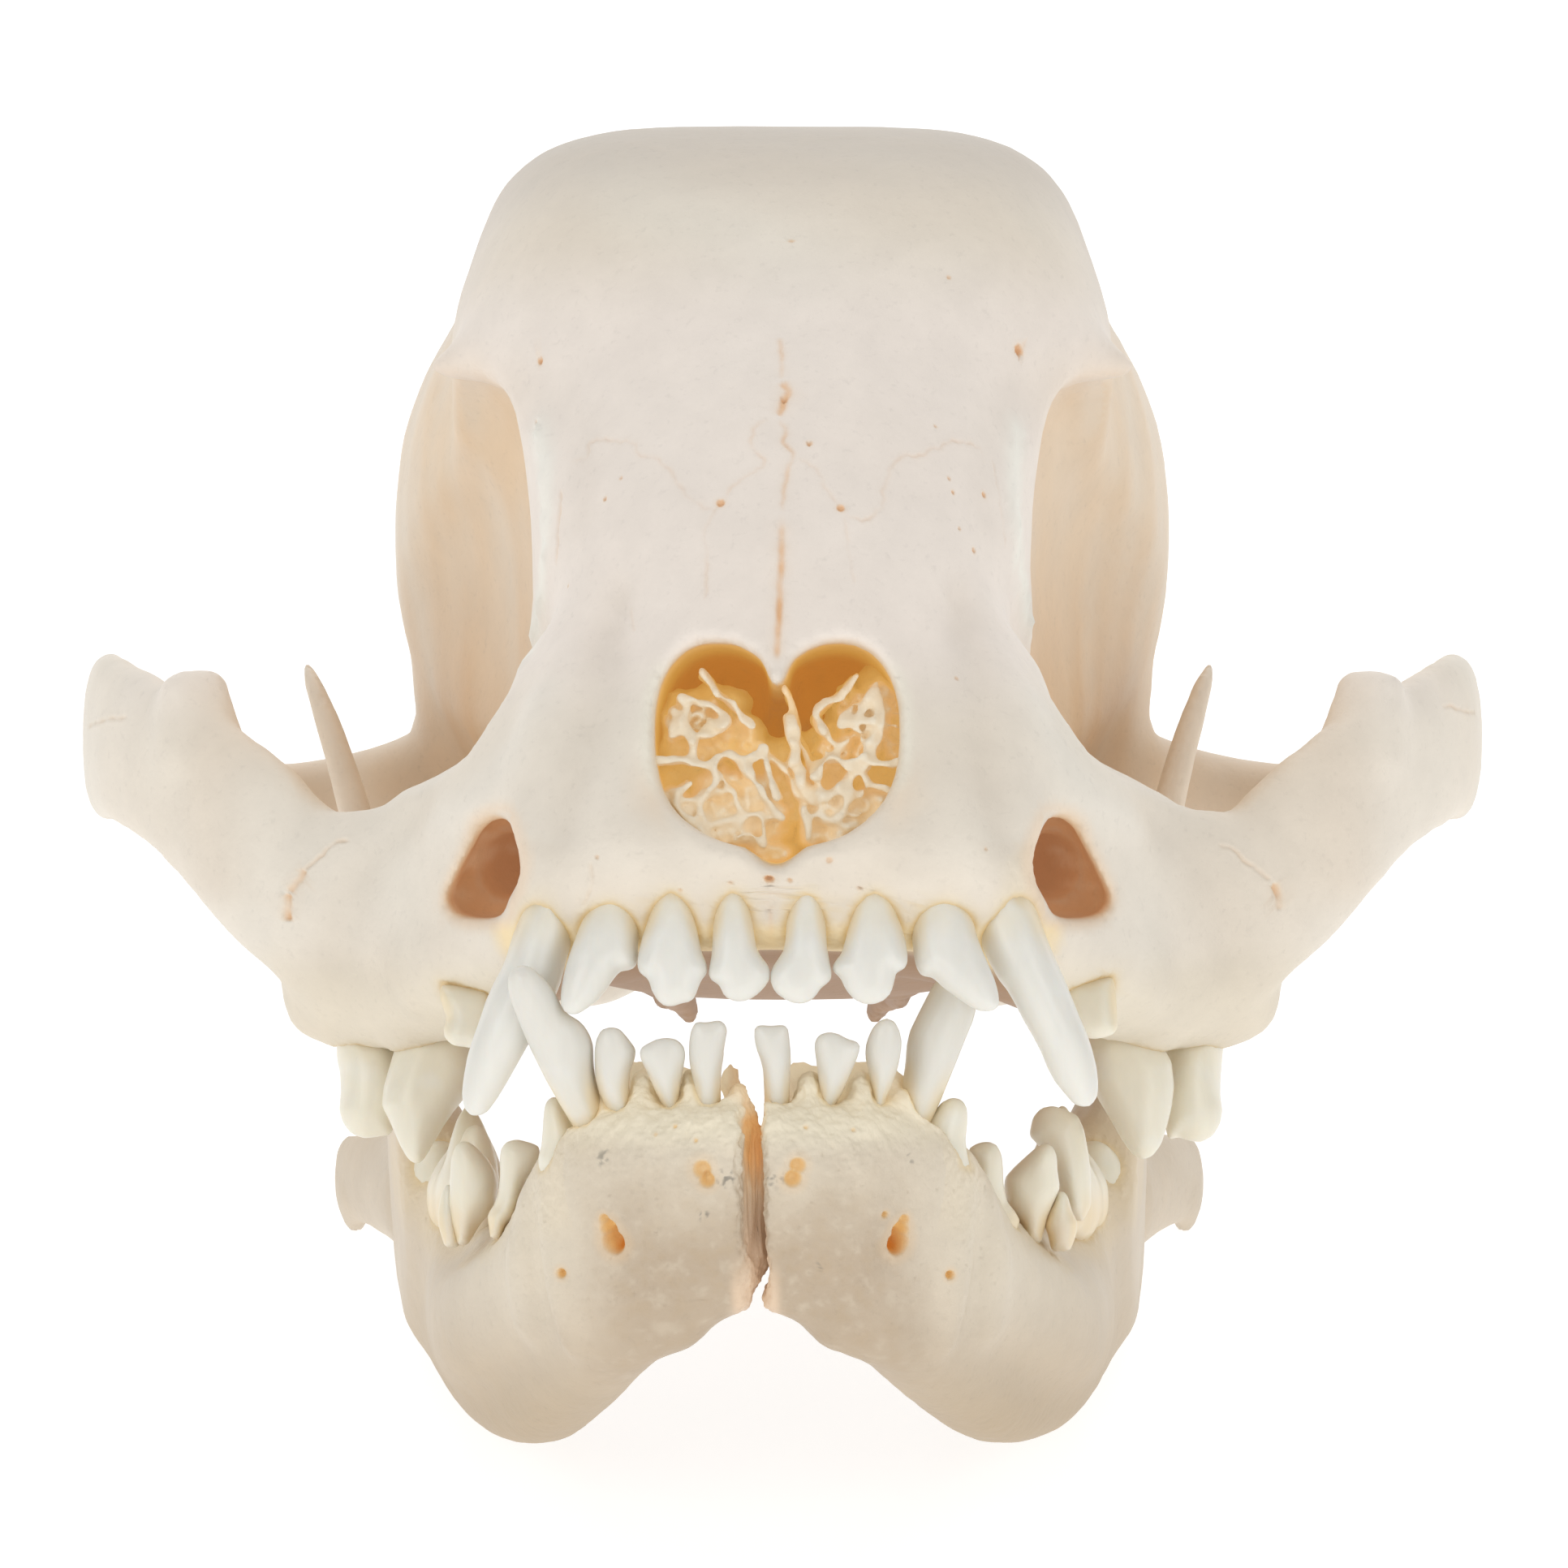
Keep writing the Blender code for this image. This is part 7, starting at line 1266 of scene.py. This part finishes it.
jaws = []
for side in ("left", "right"):
    J = skin_of(mandible(-1 if side == "left" else 1), 0.45, blur=1, box=((-2, 0, -56), (48, 102, 14))).largest().ease(2)
    J = leant(J, side, mandible_lean)
    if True: J = thinned(J, 62000)
    landj = caster(J)
    marks = [(landj(*p), r, d, st) for p, r, d, st in JAW_MARKS[side]]
    marks = [q for q in marks if q[0] is not None]
    specks = [(landj(*p), r) for p, r in JAW_SPECKS[side]]
    gum = field_of(lower_fields[side])
    rng = np.random.default_rng(11 if side == "left" else 12)
    x0 = J.V[:, 0] - mandible_lean(J.V[:, 1], J.V[:, 2])
    front = np.flatnonzero((J.V[:, 1] < 16) & (J.V[:, 2] > -40) & (J.V[:, 2] < -22.5) & (J.normals()[:, 1] < -0.2))
    pores = J.V[rng.choice(front, min(len(front), 110), replace=False)]
    pr = rng.uniform(0.06, 0.18, len(pores))
    pts = np.vstack([m[0][None] for m in marks])
    for limit, reach in ((0.35, 1.8), (0.2, 1.2)):
        J.refine(lambda M, L: (near(M, pts, reach)[0] < reach) & (L > limit))
    for limit in (0.34, 0.22):
        def rough_part(M, L):
            z = np.zeros(len(M), bool); c = np.flatnonzero((L > limit) & (M[:, 2] > -42))
            if len(c):
                chin = (M[c, 1] < 15) & (M[c, 2] > -37) & (M[c, 2] < -21)
                z[c] = chin | (np.abs(gum(M[c])) < 0.7)
            return z
        J.refine(rough_part)
    J.ease(1, 0.4)
    V, N = J.V.copy(), J.normals()
    x0 = np.abs(V[:, 0] - mandible_lean(V[:, 1], V[:, 2]))
    d_gum = gum(V)
    chin = smooth(19, 11, V[:, 1])*smooth(17.5, 6.5, x0 + 2.0*noise(V, 0.22, 5))
    crusty = chin*smooth(-28.5, -25.5, V[:, 2] + 1.6*noise(V, 0.4, 7))
    fade = chin*smooth(-34.0, -25.0, V[:, 2] + 2.2*noise(V, 0.3, 17) + 0.8*noise(V, 1.1, 18))
    seam = smooth(1.6, 0.9, x0)*(V[:, 1] < 40)
    band = smooth(3.0, 0.5, d_gum)
    D = 0.09*rough(V, 0.18, 3, 1) + 0.03*rough(V, 0.9, 3, 2)
    D += chin*(0.06*rough(V, 0.8, 3, 3) + 0.07*np.minimum(rough(V, 2.6, 2, 8), 0.1)) + crusty*(0.24*rough(V, 0.9, 3, 9))
    D += seam*0.30*rough(V, 1.0, 3, 6)
    D += band*0.12*rough(V, 1.5, 3, 7)
    D -= 0.14*np.exp(-(np.maximum(d_gum, 0)/0.30)**2)*(d_gum > -0.4)
    stain = np.zeros(len(V)); halo = np.zeros(len(V))
    for p, r, dep, st in marks:
        d, _ = near(V, p[None], 2.5*r)
        D -= dep*smooth(r, r*0.3, d); stain = np.maximum(stain, st*smooth(r*1.05, r*0.6, d)); halo = np.maximum(halo, 0.35*st*smooth(r*2, r, d))
    for p, r in zip(pores, pr):
        d, _ = near(V, p[None], 2*r); D -= 0.12*smooth(r, 0, d)*(r/0.2)
    V2 = V + N*D[:, None]
    V2w = stand(V2)
    low_points = V2w[:, 2] < 0
    if low_points.any():                  # worn flat where it stands on the floor
        V2w[low_points, 2] = 0
        back = V2w*1000 + np.array([MIDDLE[0], MIDDLE[1], FLOOR])
        c_, s_ = math.cos(TILT), math.sin(TILT)
        V2 = np.stack([back[:, 0], back[:, 1]*c_ - back[:, 2]*s_, back[:, 1]*s_ + back[:, 2]*c_], 1)
    J.V = V2
    C = np.tile(JAW, (len(V), 1))
    C = mix(C, WARM, smooth(-0.25, 0.5, noise(V, 0.07, 3))*0.3)
    C = mix(C, BONE, smooth(-0.1, 0.6, noise(V, 0.1, 6))*0.35)
    C = mix(C, rgb(240, 226, 208), smooth(-14, -4, V[:, 2])*0.9)
    # painted shade: darker towards the bottom of the jaw, where it faces the floor
    C = mix(C, rgb(190, 170, 142), smooth(-36, -48, V[:, 2])*0.95)
    # the chin darker: partly its porous bone, partly painted shade where it faces down
    C = mix(C, rgb(190, 171, 147), chin*0.9)
    C = mix(C, rgb(190, 168, 138), chin*smooth(0.05, -0.45, rough(V, 0.8, 3, 3))*0.35)
    C = mix(C, rgb(222, 209, 187), chin*smooth(0.1, 0.5, rough(V, 0.8, 3, 3))*0.3)
    C = mix(C, rgb(230, 219, 199), fade*0.8)
    for p, r in specks:
        if p is not None: C = mix(C, GREY, smooth(r, r*0.5, near(V, p[None], 2*r)[0])*smooth(0.0, 0.22, noise(V, 2.6, 16))*0.75)
    gap = smooth(2.1, 1.2, x0)*smooth(4.6, 6.2, V[:, 1])*smooth(16, 13, V[:, 1])
    C = mix(C, rgb(226, 200, 172), gap*0.9)
    C = mix(C, rgb(242, 222, 190), gap*smooth(-31, -27, V[:, 2])*0.8)
    C = mix(C, rgb(240, 190, 120), gap*smooth(-28, -26.6, V[:, 2])*smooth(-22.4, -24, V[:, 2])*0.8)
    C = mix(C, rgb(236, 206, 170), smooth(8.6, 9.6, V[:, 1])*smooth(-23.6, -22.4, V[:, 2])*(V[:, 1] < 17)*0.8)
    C = mix(C, rgb(238, 216, 172), band*0.3)
    C = mix(C, rgb(238, 228, 204), smooth(-26.5, -24.0, V[:, 2])*(V[:, 1] < 17)*0.85*(1 - gap))
    C = mix(C, rgb(238, 228, 208), smooth(8.5, 15.5, x0)*smooth(-43, -32, V[:, 2])*smooth(44, 20, V[:, 1])*0.6)
    # painted shade: a warm dark line in the crevice where bone meets tooth
    C = mix(C, rgb(234, 208, 152), np.exp(-(np.maximum(d_gum, 0)/0.30)**2)*0.45)
    C = mix(C, rgb(232, 200, 160), halo)
    C = mix(C, rgb(230, 190, 122), stain*0.95)
    p = landj(*((761, 1536) if side == "left" else (1104, 1538)))          # painted shadow in the depth of the large foramen, towards its lower side
    C = mix(C, rgb(206, 134, 58), smooth(1.0, 0.35, near(V, p[None], 2)[0])*stain)
    # painted light: a glow in the gap between the jaw halves, in the stained pits and on the upper edge of the bone at
    # the front teeth
    jaws.append(put("mandible_bone_" + side, J, C, jaw_m, extra={"glow": np.maximum(gap*(0.05 + 0.10*smooth(-31, -27, V[:, 2])), stain*0.12) + (0.08 + 0.14*smooth(7.4, 8.8, V[:, 1]))*smooth(-25.5, -23.5, V[:, 2])*(V[:, 1] < 17)*(1 - gap)}))
    print("jaw triangles", side, len(J.T))

# ---------------------------------------------------------------- pieces, parented to the root empty, and the imported parts hidden
for ob in [cranium_bone, nose_leaves] + made + jaws:
    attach(ob, "root")
    slot = "tooth" if "teeth" in ob.name or "incisors" in ob.name else ("jaw_bone" if ob.name.startswith("mandible") else "bone")
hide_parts("cranium")
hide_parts("mandible_left")
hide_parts("mandible_right")

# ---------------------------------------------------------------- floor and back wall in one sweep, light, camera
def sweep():
    prof = [(-1.6, 0.0)] + [(1.6 + 0.9*math.sin(a), 0.9 - 0.9*math.cos(a)) for a in np.linspace(0, math.pi/2, 14)] + [(2.5, 3.2)]
    n = len(prof); V = []
    for x in (-3.2, 3.2): V += [(x, y, z) for y, z in prof]
    F = [(i, i + n, i + n + 1, i + 1) for i in range(n - 1)]
    me = bpy.data.meshes.new("sweep"); me.from_pydata(V, [], F); me.update(); me.shade_smooth()
    ob = bpy.data.objects.new("sweep", me); bpy.context.scene.collection.objects.link(ob)
    m, t, b = nodes_of("pale_paper")
    b.inputs["Base Color"].default_value = (0.38, 0.38, 0.38, 1); b.inputs["Roughness"].default_value = 0.9; b.inputs["Specular IOR Level"].default_value = 0.1
    b.inputs["Emission Color"].default_value = (1, 1, 1, 1); b.inputs["Emission Strength"].default_value = 0.80
    m.cycles.emission_sampling = "NONE"
    me.materials.append(m)
    return ob
sweep()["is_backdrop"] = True

world = bpy.data.worlds.new("studio"); bpy.context.scene.world = world; world.use_nodes = True
bg = world.node_tree.nodes["Background"]
bg.inputs["Color"].default_value = (1.0, 0.995, 0.985, 1); bg.inputs["Strength"].default_value = 0.49

def area(name, where, at, size, power, colour=(1, 1, 1)):
    L = bpy.data.lights.new(name, "AREA"); L.shape = "RECTANGLE"; L.size, L.size_y = size; L.energy = power; L.color = colour
    o = bpy.data.objects.new(name, L); bpy.context.scene.collection.objects.link(o)
    o.location = where
    o.rotation_euler = (Vector(at) - Vector(where)).to_track_quat("-Z", "Y").to_euler()
    return o
area("front_left", (-0.75, -0.95, 0.62), (0, 0, 0.05), (0.8, 0.8), 3.6)
area("front_right", (0.75, -0.95, 0.55), (0, 0, 0.05), (0.8, 0.8), 2.95)
area("wall", (0, 1.2, 1.9), (0, 2.2, 0.5), (2.4, 0.8), 26.0)

cam = bpy.data.cameras.new("camera"); cam.sensor_width = 36; cam.lens = 36*10570/1932; cam.clip_start = 0.05; cam.clip_end = 20
camera = bpy.data.objects.new("camera", cam); bpy.context.scene.collection.objects.link(camera)
camera.location = Vector(stand(np.array([[0.0, -600.0, 0.0]]))[0].tolist())
camera.rotation_euler = (math.pi/2 - TILT, 0, 0)
bpy.context.scene.camera = camera
bpy.context.scene.view_settings.view_transform = "Standard"

low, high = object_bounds()
